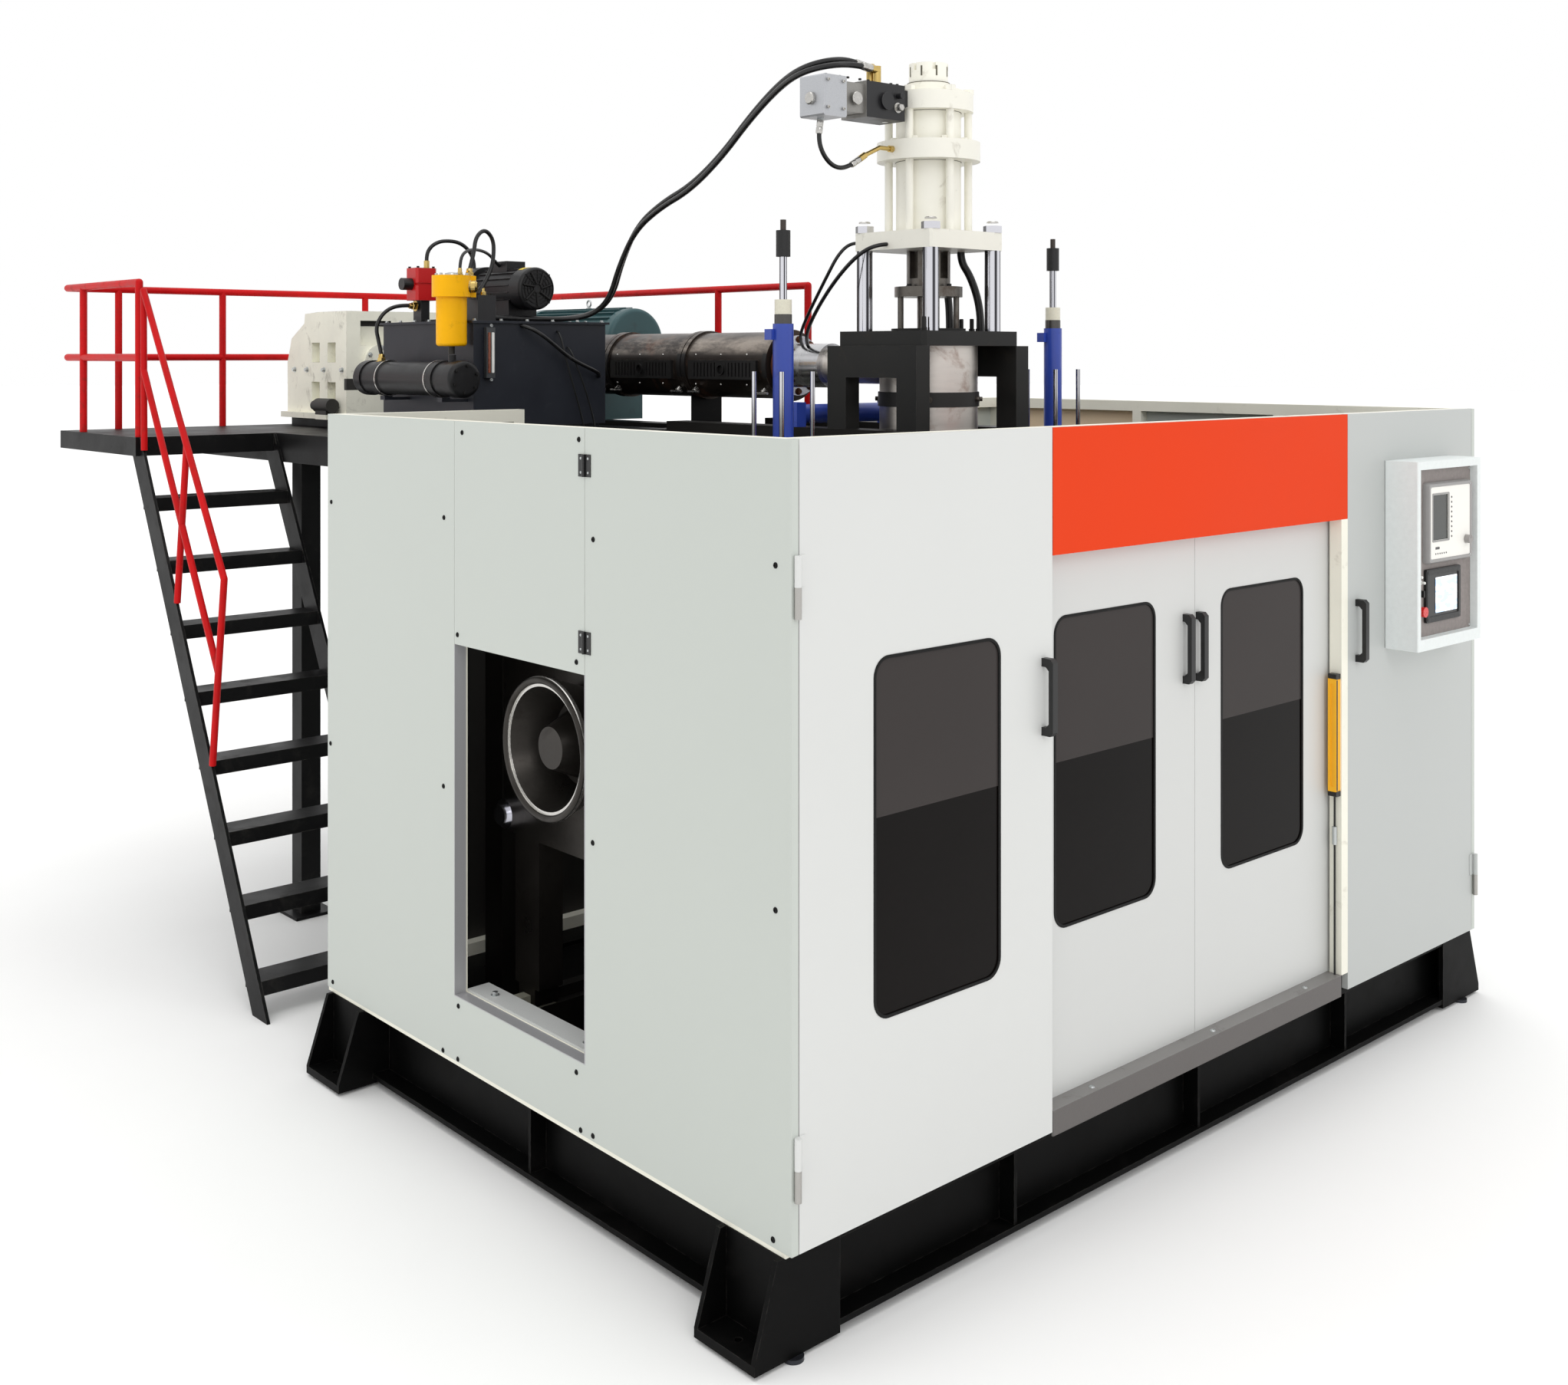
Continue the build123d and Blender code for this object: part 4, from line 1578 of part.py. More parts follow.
def fitting_along(start, toward, length, radius):
    """Straight fitting whose face meets a hose's end at start, running away from the hose."""
    away = (Vector(*start) - Vector(*toward)).normalized()
    end = tuple(Vector(*start) + away * length)
    return tube_between(radius, start, end)


# Valve block


def valve_body():
    """Servo valve with its pilot stage, and the manifold it is bolted to on the cylinder's top flange."""
    x0, x1, x2, x3 = VALVE_STEPS
    manifold = block((x1, x0), (-VALVE_HALF, VALVE_HALF), VALVE_Z)
    seat_x = VALVE_SEAT_IN - sqrt(FLANGE_TOP_R ** 2 - VALVE_HALF ** 2)
    neck_half = VALVE_HALF - VALVE_NECK_IN
    neck = block((x0 - 1, seat_x), (-neck_half, neck_half), (FLANGE_TOP[0] + 5, FLANGE_TOP[1] - 5))
    neck = neck - rod_z(FLANGE_TOP_R, 0, 0, FLANGE_TOP)
    pilot_half = VALVE_HALF - PILOT_IN
    pilot = block((x2, x1 + 1), (-pilot_half, pilot_half), (VALVE_Z[0] + PILOT_IN, VALVE_Z[1] - PILOT_IN))
    motor = block((x3, x2 + 1), about(0, 2 * VALVE_HALF - 8), (VALVE_Z[0] - PILOT_IN, VALVE_Z[1] + 4))
    motor = chamfer(motor.edges().filter_by(Axis.Y), 6)
    knob = rod_y(VALVE_KNOB_R, (x0 + x1) / 2, (-VALVE_HALF - PILOT_IN, -VALVE_HALF + 1), sum(VALVE_Z) / 2)
    screw = rod_y(TIP_R, x0 - 2 * VALVE_NECK_IN, (-VALVE_HALF - 2 * PILOT_IN, -VALVE_HALF + 1), VALVE_Z[1] - 45)
    return fuse(manifold, neck, pilot, motor, knob, screw)


def flange_elbow():
    """Elbow from the valve hose's end into a port on the middle flange's rim."""
    outer = SMALL_HOSE_R + FITTING_WALL
    z = sum(FLANGE_MID) / 2
    ferrule = fitting_along(VALVE_HOSE[-1], VALVE_HOSE[-2], FITTING, outer)
    way = (Vector(*VALVE_HOSE[-1]) - Vector(*VALVE_HOSE[-2])).normalized()
    inner = tuple(Vector(*VALVE_HOSE[-1]) + way * (FITTING - 1))
    bend = (-FLANGE_MID_R - 2 * FITTING, 0, z)
    rise = tube_between(SMALL_HOSE_R, inner, bend)
    run = rod_x(SMALL_HOSE_R, (bend[0], -FLANGE_MID_R), 0, z)
    nut = rod_x(outer, (-FLANGE_MID_R - FITTING_SHORT, -FLANGE_MID_R), 0, z)
    return fuse(ferrule, rise, Pos(*bend) * Sphere(SMALL_HOSE_R), run, nut)


def make_valve():
    """Valve with its hose fittings, and the elbow on the middle flange."""
    outer = HOSE_R + FITTING_WALL
    fittings = []
    for route in (HOSE_A, HOSE_B):
        fittings.append(fitting_along(route[0], route[1], FITTING, outer))
        x, y, z = route[0]
        fittings.append(rod_z(outer, x + FITTING - FITTING_WALL, y, (VALVE_Z[1] - 2, z + HOSE_R)))
    fittings.append(fitting_along(VALVE_HOSE[0], VALVE_HOSE[1], FITTING_SHORT + 2, SMALL_HOSE_R + FITTING_WALL))
    save("valve_block", fuse(valve_body(), *fittings), flange_elbow())


# Hydraulic unit


def make_tank():
    """Welded oil tank with a lid flange, four feet, a level gauge and the cooler's brackets."""
    body = block(TANK_X, TANK_Y, TANK_Z)
    out, lid_t = TANK_LID
    lid = block((TANK_X[0] - out, TANK_X[1] + out), (TANK_Y[0] - out, TANK_Y[1] + out),
                (TANK_Z[1] - lid_t, TANK_Z[1]))
    feet = [block(about(x, TANK_FOOT), about(y, TANK_FOOT), (DECK_TOP, TANK_Z[0]))
            for x in (TANK_X[0] + TANK_FOOT_IN, TANK_X[1] - TANK_FOOT_IN)
            for y in (TANK_Y[0] + TANK_FOOT_IN, TANK_Y[1] - TANK_FOOT_IN)]
    gauge = block(about(TANK_X[0] + GAUGE_IN, GAUGE_W), (TANK_Y[0] - GAUGE_OUT, TANK_Y[0]),
                  (TANK_Z[1] - GAUGE_DROP[1], TANK_Z[1] - GAUGE_DROP[0]))
    strap_low = COOLER_Z - COOLER_R - STRAP_DROP
    carriers = []
    for y in (COOLER_Y[0] + COOLER_BAND_IN, COOLER_Y[1] - COOLER_BAND_IN):
        carriers.append(block((COOLER_X - STRAP_HALF, TANK_X[0]), about(y, 2 * STRAP_HALF),
                              (strap_low - STRAP_T / 2, strap_low + STRAP_T / 2)))
        carriers.append(block(about(COOLER_X, 2 * STRAP_HALF), about(y, 2 * STRAP_HALF),
                              (strap_low, COOLER_Z - COOLER_R - CLEAR)))
    save("oil_tank", fuse(body, lid, *feet, gauge, *carriers))


def make_pump_motor():
    """Pump motor on its feet, with fan cowl at the near end and bell housing at the far end."""
    y0, y1 = PUMP_MOTOR_Y
    x, z = PUMP_MOTOR_X, PUMP_MOTOR_Z
    radius = PUMP_MOTOR_R
    core = radius - PUMP_SHELL
    body = rod_y(core, x, (y0 + PUMP_COWL - 1, y1), z)
    cowl = rod_y(radius, x, (y0, y0 + PUMP_COWL), z)
    cowl = fillet(cowl.edges().filter_by(GeomType.CIRCLE).sort_by(Axis.Y)[0], PUMP_COWL_ROUND)
    bell = rod_y(BELL_R, x, (y1, y1 + BELL_LENGTH), z)
    thick, tall = PUMP_FIN
    fin_y = (y0 + PUMP_FIN_START, y1 - PUMP_FIN_END)
    fin = Pos(0, 0, core) * Box(thick, fin_y[1] - fin_y[0], tall)
    fins = [Pos(x, sum(fin_y) / 2, z) * Rot(0, turn, 0) * fin for turn in range(-120, 121, PUMP_FIN_TURN)]
    width, start, end = PUMP_FEET
    feet = block(about(x, width), (y0 + start, y1 - end), (TANK_Z[1], z - core / 2))
    feet = feet - rod_y(core - 1, x, (y0, y1), z)
    box = block((x + TERMINAL_X[0], x + TERMINAL_X[1]), (y0 + TERMINAL_Y[0], y0 + TERMINAL_Y[1]),
                (z + core / 2, z + radius + TERMINAL_H))
    return fuse(body, cowl, bell, *fins, feet, box)


def make_pump():
    """Pump behind the bell housing."""
    x, z = PUMP_MOTOR_X, PUMP_MOTOR_Z
    y = PUMP_MOTOR_Y[1] + BELL_LENGTH
    pump = rod_y(PUMP_R, x, (y, y + PUMP_LENGTH), z)
    rear = rod_y(PUMP_REAR_R, x, (y + PUMP_LENGTH - 1, y + PUMP_LENGTH + PUMP_REAR), z)
    return fuse(pump, rear)


def relief_valve():
    """Relief valve on the riser: a ribbed square body with its solenoid and an elbow on top."""
    x, y = RISER_AT
    width, depth, height = RELIEF_SIZE
    z = (RISER_TOP, RISER_TOP + height)
    body = block(about(x, width), about(y, depth), z)
    body = chamfer(body.edges().filter_by(Axis.Z), RELIEF_CHAMFER)
    groove_h, groove_in = RELIEF_GROOVE
    middle = z[0] + height / 2
    groove = block(about(x, width + 2), about(y, depth + 2), about(middle, groove_h))
    groove = groove - block(about(x, width - 2 * groove_in), about(y, depth - 2 * groove_in), z)
    solenoid = rod_x(SOLENOID_R, (x - width / 2 - SOLENOID_LENGTH, x - width / 2 + groove_in + 1), y, middle)
    elbow = rod_z(SMALL_HOSE_R + FITTING_WALL, x + width / 4, y, (z[1] - 1, z[1] + FITTING))
    return fuse(body - groove, solenoid, elbow)


def make_manifold():
    """Pressure manifold on the tank lid with its hose ports, and the riser with the relief valve."""
    main = block(MANIFOLD_X, MANIFOLD_Y, (TANK_Z[1], MANIFOLD_TOP))
    ports = [fitting_along(route[-1], route[-2], FITTING_SHORT, HOSE_R + FITTING_WALL)
             for route in (HOSE_A, HOSE_B)]
    loop = fitting_along(FILTER_HOSE[-1], FILTER_HOSE[-2], 2 * FITTING_SHORT, SMALL_HOSE_R + FITTING_WALL)
    x, y = RISER_AT
    riser = block(about(x, RISER_W[0]), about(y, RISER_W[1]), (TANK_Z[1], RISER_TOP))
    outlet = fitting_along(COOLER_HOSE[0], COOLER_HOSE[1], FITTING_SHORT, SMALL_HOSE_R + FITTING_WALL)
    pipe = block(about(x, SMALL_HOSE_R * 2), (MANIFOLD_Y[1] - 5, y), (TANK_Z[1], TANK_Z[1] + STRAP_T))
    arm = block((FILTER_X + FILTER_R + FILTER_REACH, MANIFOLD_X[0] + 10), about(FILTER_Y, 60),
                (FILTER_HEAD[0] - 8, MANIFOLD_TOP))
    return fuse(main, *ports, loop, pipe, riser, outlet, relief_valve(), arm)


def make_filter():
    """Return filter: round head with its port pad, bowl, drain plug and the loop hose's elbow."""
    head = rod_z(FILTER_HEAD_R, FILTER_X, FILTER_Y, FILTER_HEAD)
    bowl = rod_z(FILTER_BOWL_R, FILTER_X, FILTER_Y, (FILTER_BOWL, FILTER_HEAD[0] + 1))
    bowl = fillet(bowl.edges().filter_by(GeomType.CIRCLE).sort_by(Axis.Z)[0], FILTER_PLUG_R)
    plug = rod_z(FILTER_PLUG_R, FILTER_X, FILTER_Y, (FILTER_BOWL - FILTER_PLUG, FILTER_BOWL + 1))
    pad = block((FILTER_X, FILTER_X + FILTER_R + FILTER_REACH), about(FILTER_Y, 70), FILTER_HEAD)
    elbow = fitting_along(FILTER_HOSE[0], FILTER_HOSE[1], 2 * FITTING_SHORT, SMALL_HOSE_R + FITTING_WALL)
    return fuse(head, bowl, plug, pad, elbow)


def make_hydraulics():
    make_tank()
    save("pump_motor", make_pump_motor(), make_pump())
    save("oil_filter", make_filter())
    save("pressure_manifold", make_manifold())


def make_cooler():
    """Shell-and-tube oil cooler beside the tank, with end covers and ports."""
    y0, y1 = COOLER_Y
    shell = rod_y(COOLER_R - 6, COOLER_X, (y0 + COOLER_BAND, y1 - COOLER_BAND), COOLER_Z)
    ends = [rod_y(COOLER_R, COOLER_X, span, COOLER_Z)
            for span in ((y0, y0 + COOLER_END), (y1 - COOLER_END, y1))]
    ends = [fillet(ends[0].edges().filter_by(GeomType.CIRCLE).sort_by(Axis.Y)[0], COOLER_END / 3.5),
            fillet(ends[1].edges().filter_by(GeomType.CIRCLE).sort_by(Axis.Y)[-1], COOLER_END / 3.5)]
    bands = [rod_y(COOLER_R, COOLER_X, about(y, COOLER_BAND), COOLER_Z)
             for y in (y0 + COOLER_BAND_IN, y1 - COOLER_BAND_IN)]
    port = fitting_along(COOLER_HOSE[-1], COOLER_HOSE[-2], 2 * FITTING_SHORT, SMALL_HOSE_R + FITTING_WALL)
    near = rod_z(HOSE_R + FITTING_WALL, COOLER_X, y0 + 110, (COOLER_Z, COOLER_Z + COOLER_R + 24))
    save("oil_cooler", fuse(shell, *ends, *bands, port, near))


# Upright cylinders


def make_lifts():
    """Two upright cylinders on the cross beams. Rod, guide rods and yoke of each move together."""
    bodies = []
    for name, x in (("left", -LIFT_X), ("right", LIFT_X)):
        barrel = rod_z(LIFT_R, x, 0, (LIFT_BEAM_TOP, LIFT_TOP))
        foot_w, foot_t = LIFT_FOOT
        flange = block(about(x, foot_w), about(0, foot_w), (LIFT_BEAM_TOP, LIFT_BEAM_TOP + foot_t))
        cap = rod_z(LIFT_CAP_R, x, 0, (LIFT_TOP - 1, LIFT_CAP))
        collar = rod_z(COLLAR_R, x, 0, (LIFT_CAP - 1, COLLAR_TOP))
        port = block((x - LIFT_R - 16, x - 20), (LIFT_R - 34, LIFT_R + 4), (LIFT_TOP - 60, LIFT_TOP - 20))
        bore = rod_z(LIFT_ROD_R + FIT, x, 0, (LIFT_BEAM_TOP - 1, COLLAR_TOP + 1))
        bodies.append(fuse(barrel, flange, cap, collar, port) - bore)
        rod = rod_z(LIFT_ROD_R, x, 0, (YOKE_Z[0], SLEEVE_Z[0] + 1))
        sleeve = rod_z(SLEEVE_R, x, 0, SLEEVE_Z)
        tip = rod_z(TIP_R, x, 0, (SLEEVE_Z[1] - 1, LIFT_TIP))
        guides = [rod_z(GUIDE_R, x + i * GUIDE_AT, j * GUIDE_AT, (YOKE_Z[0], GUIDE_TOP))
                  for i in (-1, 1) for j in (-1, 1)]
        yoke = block(about(x, 2 * YOKE_HALF), about(0, 2 * YOKE_HALF), YOKE_Z)
        save(f"seal_carriage_{name}", fuse(rod, sleeve, tip, *guides, yoke))
    save("lift_cylinders", *bodies, cross_cylinder())


# Clamp


def carriage_blocks(x, rail_top):
    """Guide blocks that straddle both rails under a plate between x = (low, high)."""
    low = rail_top - BED_RAIL_H
    solids = []
    for side in (-1, 1):
        y = about(side * BED_RAIL_Y, BLOCK_W)
        body = block(x, y, (low + BLOCK_GRIP, low + BLOCK_GRIP + BLOCK_H))
        slot = block((x[0] - 1, x[1] + 1), about(side * BED_RAIL_Y, BED_RAIL_W + 2 * CLEAR),
                     (low, rail_top + CLEAR))
        solids.append(body - slot)
    return solids


def plate_on_legs(x, foot_x, bolts):
    """Upright clamp plate with two legs down to its guide blocks."""
    plate = block(x, (-PLATEN_Y, PLATEN_Y), (CLAMP_Z - PLATEN_Z, CLAMP_Z + PLATEN_Z))
    plate = chamfer(plate.edges().filter_by(Axis.X), PLATEN_CHAMFER)
    top = RAIL_TOP - BED_RAIL_H + BLOCK_GRIP + BLOCK_H - 0.5
    foot = CLAMP_Z - PLATEN_Z + 1
    legs = [block(x, about(side * BED_RAIL_Y, PLATEN_LEG), (top, foot)) for side in (-1, 1)]
    shoes = [block(foot_x, about(side * BED_RAIL_Y, PLATEN_LEG), (top, top + SHOE_T)) for side in (-1, 1)]
    whole = fuse(plate, *legs, *shoes, *carriage_blocks(foot_x, RAIL_TOP))
    if bolts:
        holes = [rod_x(MOULD_BOLT_R, (x[0] - 1, x[1] + 1), i * MOULD_BOLT, CLAMP_Z + j * MOULD_BOLT)
                 for i in (-1, 1) for j in (-1, 1)]
        whole = whole - fuse(*holes)
    return whole


def tie_bar_spots():
    return [(i * TIE_BAR_Y, CLAMP_Z + j * TIE_BAR_Z) for i in (-1, 1) for j in (-1, 1)]


def tie_bar_holes(x, radius):
    """Four bores for the tie bars through a plate between x = (low, high)."""
    return fuse(*[rod_x(radius, (x[0] - 1, x[1] + 1), y, z) for y, z in tie_bar_spots()])


def make_end_plate():
    """End plate of the clamp with its dished hub on one side and the clamp cylinder on the other."""
    plate = plate_on_legs(END_PLATE_X, END_PLATE_X, False) - tie_bar_holes(END_PLATE_X, TIE_BAR_R)
    x0, x1 = END_PLATE_X
    facing = Rot(0, -90, 0)
    bell = Pos(x0 - HUB_OUT / 2, 0, CLAMP_Z) * facing * Cone(HUB_R - HUB_NECK, HUB_R, HUB_OUT)
    dish_r = (HUB_R - HUB_NECK - HUB_WALL, HUB_R - HUB_RIM)
    dish = Pos(x0 - HUB_OUT / 2 - HUB_FLOOR, 0, CLAMP_Z) * facing * Cone(*dish_r, HUB_OUT)
    rim = Pos(x0 - HUB_OUT, 0, CLAMP_Z) * Rot(0, 90, 0) * Torus(HUB_R - HUB_RIM / 2, HUB_RIM / 2)
    cone = Pos(x0 - CONE_OUT / 2, 0, CLAMP_Z) * facing * Cone(CONE_R[1], CONE_R[0], CONE_OUT)
    barrel = rod_x(CLAMP_CYL_R, (x1 - 1, CLAMP_CYL_FRONT), 0, CLAMP_Z)
    gland_out, gland_t = CLAMP_GLAND
    ring = rod_x(CLAMP_CYL_R + gland_out, (CLAMP_CYL_FRONT - gland_t, CLAMP_CYL_FRONT), 0, CLAMP_Z)
    bore = rod_x(CLAMP_BORE, (x1 + HUB_FLOOR, CLAMP_CYL_FRONT - gland_t + 10), 0, CLAMP_Z)
    gland = rod_x(CLAMP_ROD_R + FIT, (CLAMP_CYL_FRONT - gland_t, CLAMP_CYL_FRONT + 1), 0, CLAMP_Z)
    save("clamp_end_plate", fuse(plate, bell - dish, rim, cone, barrel, ring) - fuse(bore, gland))


def make_clamp():
    """Two platens on rails. The cylinder on the end plate pushes one, and the tie bars pull the other."""
    x = (CLAMP_BED_START, CLAMP_BED_END)
    beds = []
    for y in (-BED_RAIL_Y, BED_RAIL_Y):
        beam = block(x, about(y, CLAMP_BED_W), (BEAM_TOP, BEAM_TOP + CLAMP_BED_H))
        rail = block(x, about(y, BED_RAIL_W), (BEAM_TOP + CLAMP_BED_H, RAIL_TOP))
        beds.append(fuse(beam, rail))
    save("clamp_bed", *beds)

    left_x = (-PLATEN_FACE - PLATEN_T, -PLATEN_FACE)
    left = plate_on_legs(left_x, (left_x[0] - PLATEN_FOOT, left_x[1]), True)
    rod_back = CLAMP_CYL_FRONT - CLAMP_ROD_IN
    rod = rod_x(CLAMP_ROD_R, (rod_back, left_x[0] + 1), 0, CLAMP_Z)
    piston = rod_x(CLAMP_BORE - FIT, (rod_back - CLAMP_PISTON, rod_back + 1), 0, CLAMP_Z)
    boss_out, boss_t = CLAMP_BOSS
    boss = rod_x(CLAMP_ROD_R + boss_out, (left_x[0] - boss_t, left_x[0] + 1), 0, CLAMP_Z)
    save("left_platen", fuse(left - tie_bar_holes(left_x, TIE_BAR_R + FIT), rod, piston, boss))

    right_x = (PLATEN_FACE, PLATEN_FACE + PLATEN_T)
    right = plate_on_legs(right_x, (right_x[0], right_x[1] + PLATEN_FOOT), True)
    save("right_platen", right - tie_bar_holes(right_x, TIE_BAR_R))

    bars = []
    for y, z in tie_bar_spots():
        bar = rod_x(TIE_BAR_R, (END_PLATE_X[0] - TIE_BAR_END, right_x[1] + TIE_BAR_END), y, z)
        nuts = [rod_x(TIE_BAR_NUT, (END_PLATE_X[0] - TIE_BAR_NUT_T, END_PLATE_X[0]), y, z),
                rod_x(TIE_BAR_NUT, (right_x[1], right_x[1] + TIE_BAR_NUT_T), y, z)]
        bars.append(fuse(bar, *nuts))
    save("tie_bars", *bars)


def make_blow_pin():
    """Blow pin cylinder on a cross bearer between the clamp beams, and the pin."""
    half = BED_RAIL_Y - CLAMP_BED_W / 2
    bearer_top = BEAM_TOP + PIN_BEARER_H
    bearer = block(about(0, PIN_BASE), (-half, half), (BEAM_TOP, bearer_top))
    pedestal = block(about(0, PIN_PEDESTAL), about(0, PIN_PEDESTAL), (bearer_top - 1, PIN_PEDESTAL_TOP))
    barrel = rod_z(PIN_GUIDE_R, 0, 0, (PIN_PEDESTAL_TOP - 1, PIN_GUIDE_TOP))
    flange = rod_z(PIN_FLANGE[0], 0, 0, (PIN_GUIDE_TOP - PIN_FLANGE[1], PIN_GUIDE_TOP))
    bore = rod_z(PIN_R + FIT, 0, 0, (PIN_BORE_LOW, PIN_GUIDE_TOP + 1))
    save("blow_pin_stand", fuse(bearer, pedestal, barrel, flange) - bore)
    pin = rod_z(PIN_R, 0, 0, (PIN_LOW, PIN_TOP))
    tip_r, tip_h = PIN_TIP
    tip = Pos(0, 0, PIN_TOP + tip_h / 2) * Cone(PIN_R, tip_r, tip_h)
    collar = rod_z(PIN_COLLAR[0], 0, 0, (PIN_GUIDE_TOP + CLEAR, PIN_GUIDE_TOP + PIN_COLLAR[1]))
    save("blow_pin", fuse(pin, tip, collar))


def main():
    os.makedirs("parts", exist_ok=True)
    make_base()
    make_enclosure_frame()
    make_outer_panels()
    make_header()
    make_tracks()
    make_doors()
    make_hatch()
    make_cabinet_door()
    make_control_box()
    make_electrical_cabinet()
    make_light_curtain()
    make_gallery()
    make_railing()
    make_stair()
    make_handrail()
    make_barrel()
    make_screw()
    make_shrouds()
    make_bed()
    make_gearbox()
    make_drive_motor()
    make_press_frame()
    make_head_frame()
    make_accumulator()
    make_tie_rods()
    make_injection_cylinder()
    make_injection_piston()
    make_valve()
    make_hoses()
    make_hydraulics()
    make_cooler()
    make_lifts()
    make_end_plate()
    make_clamp()
    make_blow_pin()


main()
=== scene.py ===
from math import cos, pi, radians, sin

import bmesh
import bpy
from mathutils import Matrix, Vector


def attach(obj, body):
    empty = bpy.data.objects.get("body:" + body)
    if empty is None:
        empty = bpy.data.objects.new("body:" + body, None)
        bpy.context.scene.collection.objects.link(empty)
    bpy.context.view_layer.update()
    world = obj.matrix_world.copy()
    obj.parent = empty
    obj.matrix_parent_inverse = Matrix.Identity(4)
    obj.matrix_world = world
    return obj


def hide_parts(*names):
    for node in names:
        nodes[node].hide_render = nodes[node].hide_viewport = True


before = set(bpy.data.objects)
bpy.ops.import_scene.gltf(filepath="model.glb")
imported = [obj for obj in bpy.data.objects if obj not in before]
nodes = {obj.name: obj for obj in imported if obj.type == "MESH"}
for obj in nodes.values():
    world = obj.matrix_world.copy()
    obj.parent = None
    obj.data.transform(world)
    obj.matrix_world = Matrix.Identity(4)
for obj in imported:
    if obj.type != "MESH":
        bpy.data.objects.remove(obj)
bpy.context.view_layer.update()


# Colours and shader building

def rgb(r, g, b):
    """Linear colour from 0-255 sRGB values."""
    def line(c):
        c /= 255
        return c / 12.92 if c <= 0.04045 else ((c + 0.055) / 1.055) ** 2.4
    return (line(r), line(g), line(b), 1)


class Shade:
    """A material under construction: a Principled shader and helpers that add nodes to it."""

    EDGE_SPAN = (0.02, 0.25)
    WEAR_SPAN = (0.42, 0.62)
    BUMP_DISTANCE = 0.001

    def __init__(self, name):
        self.mat = bpy.data.materials.new(name)
        self.mat.use_nodes = True
        self.tree = self.mat.node_tree
        self.bsdf = self.tree.nodes["Principled BSDF"]
        self.where = self.add("TexCoord").outputs["Object"]
        split = self.add("SeparateXYZ")
        self.link(self.where, split.inputs[0])
        self.x, self.y, self.z = split.outputs

    def add(self, kind, **settings):
        item = self.tree.nodes.new("ShaderNode" + kind)
        for key, value in settings.items():
            setattr(item, key, value)
        return item

    def link(self, a, b):
        self.tree.links.new(a, b)

    def put(self, socket, value):
        if isinstance(value, bpy.types.NodeSocket):
            self.link(value, socket)
        else:
            socket.default_value = value

    def math(self, op, a, b=0, c=0, clamp=False):
        item = self.add("Math", operation=op, use_clamp=clamp)
        for socket, value in zip(item.inputs, (a, b, c)):
            self.put(socket, value)
        return item.outputs[0]

    def noise(self, scale, detail=4, rough=0.55, stretch=None, distortion=0):
        item = self.add("TexNoise")
        values = dict(Scale=scale, Detail=detail, Roughness=rough, Distortion=distortion)
        for key, value in values.items():
            item.inputs[key].default_value = value
        source = self.where
        if stretch:
            mapping = self.add("Mapping")
            mapping.inputs["Scale"].default_value = stretch
            self.link(self.where, mapping.inputs["Vector"])
            source = mapping.outputs[0]
        self.link(source, item.inputs["Vector"])
        return item.outputs["Fac"]

    def span(self, value, low, high, out_low=0, out_high=1):
        item = self.add("MapRange", clamp=True)
        for socket, number in zip(item.inputs, (value, low, high, out_low, out_high)):
            self.put(socket, number)
        return item.outputs[0]

    def mix(self, factor, a, b):
        item = self.add("Mix", data_type="RGBA")
        self.put(item.inputs["Factor"], factor)
        sockets = [s for s in item.inputs if s.type == "RGBA"]
        self.put(sockets[0], a)
        self.put(sockets[1], b)
        return [s for s in item.outputs if s.type == "RGBA"][0]

    def blend(self, factor, a, b):
        """Number a where factor is 0 and number b where it is 1."""
        return self.span(factor, 0, 1, a, b)

    def inside(self, x=None, y=None, z=None):
        """1 inside a box of object coordinates, 0 outside. Each range is (low, high) or None."""
        mask = None
        for socket, pair in ((self.x, x), (self.y, y), (self.z, z)):
            if pair is None:
                continue
            middle, half = (pair[0] + pair[1]) / 2, (pair[1] - pair[0]) / 2
            one = self.math("COMPARE", socket, middle, half)
            mask = one if mask is None else self.math("MULTIPLY", mask, one)
        return mask

    def either(self, *masks):
        whole = masks[0]
        for mask in masks[1:]:
            whole = self.math("MAXIMUM", whole, mask)
        return whole

    def round_about(self, axis, centre, radius):
        """1 within radius of a line along an axis: centre holds the two other coordinates."""
        others = {"X": (self.y, self.z), "Y": (self.x, self.z), "Z": (self.x, self.y)}[axis]
        legs = []
        for socket, at in zip(others, centre):
            off = self.math("SUBTRACT", socket, at)
            legs.append(self.math("MULTIPLY", off, off))
        total = self.math("ADD", legs[0], legs[1])
        return self.math("LESS_THAN", total, radius * radius)

    def edges(self, radius):
        """1 along sharp edges, broken up by noise."""
        bevel = self.add("Bevel", samples=4)
        bevel.inputs["Radius"].default_value = radius
        geometry = self.add("NewGeometry")
        dot = self.add("VectorMath", operation="DOT_PRODUCT")
        self.link(bevel.outputs[0], dot.inputs[0])
        self.link(geometry.outputs["Normal"], dot.inputs[1])
        bend = self.math("SUBTRACT", 1, dot.outputs["Value"])
        raw = self.span(bend, *self.EDGE_SPAN)
        broken = self.span(self.noise(22, 6, 0.7), *self.WEAR_SPAN)
        return self.math("MULTIPLY", raw, broken)

    def streaks(self, across, bands):
        """1 where a face's normal, measured along a direction, lies in a band of (middle, half width)."""
        geometry = self.add("NewGeometry")
        dot = self.add("VectorMath", operation="DOT_PRODUCT")
        self.link(geometry.outputs["Normal"], dot.inputs[0])
        dot.inputs[1].default_value = across
        value = dot.outputs["Value"]
        masks = [self.span(self.math("ABSOLUTE", self.math("SUBTRACT", value, middle)), half, half * 0.4)
                 for middle, half in bands]
        return self.either(*masks)

    def bump(self, height, strength):
        item = self.add("Bump")
        item.inputs["Strength"].default_value = strength
        item.inputs["Distance"].default_value = self.BUMP_DISTANCE
        self.link(height, item.inputs["Height"])
        self.link(item.outputs[0], self.bsdf.inputs["Normal"])

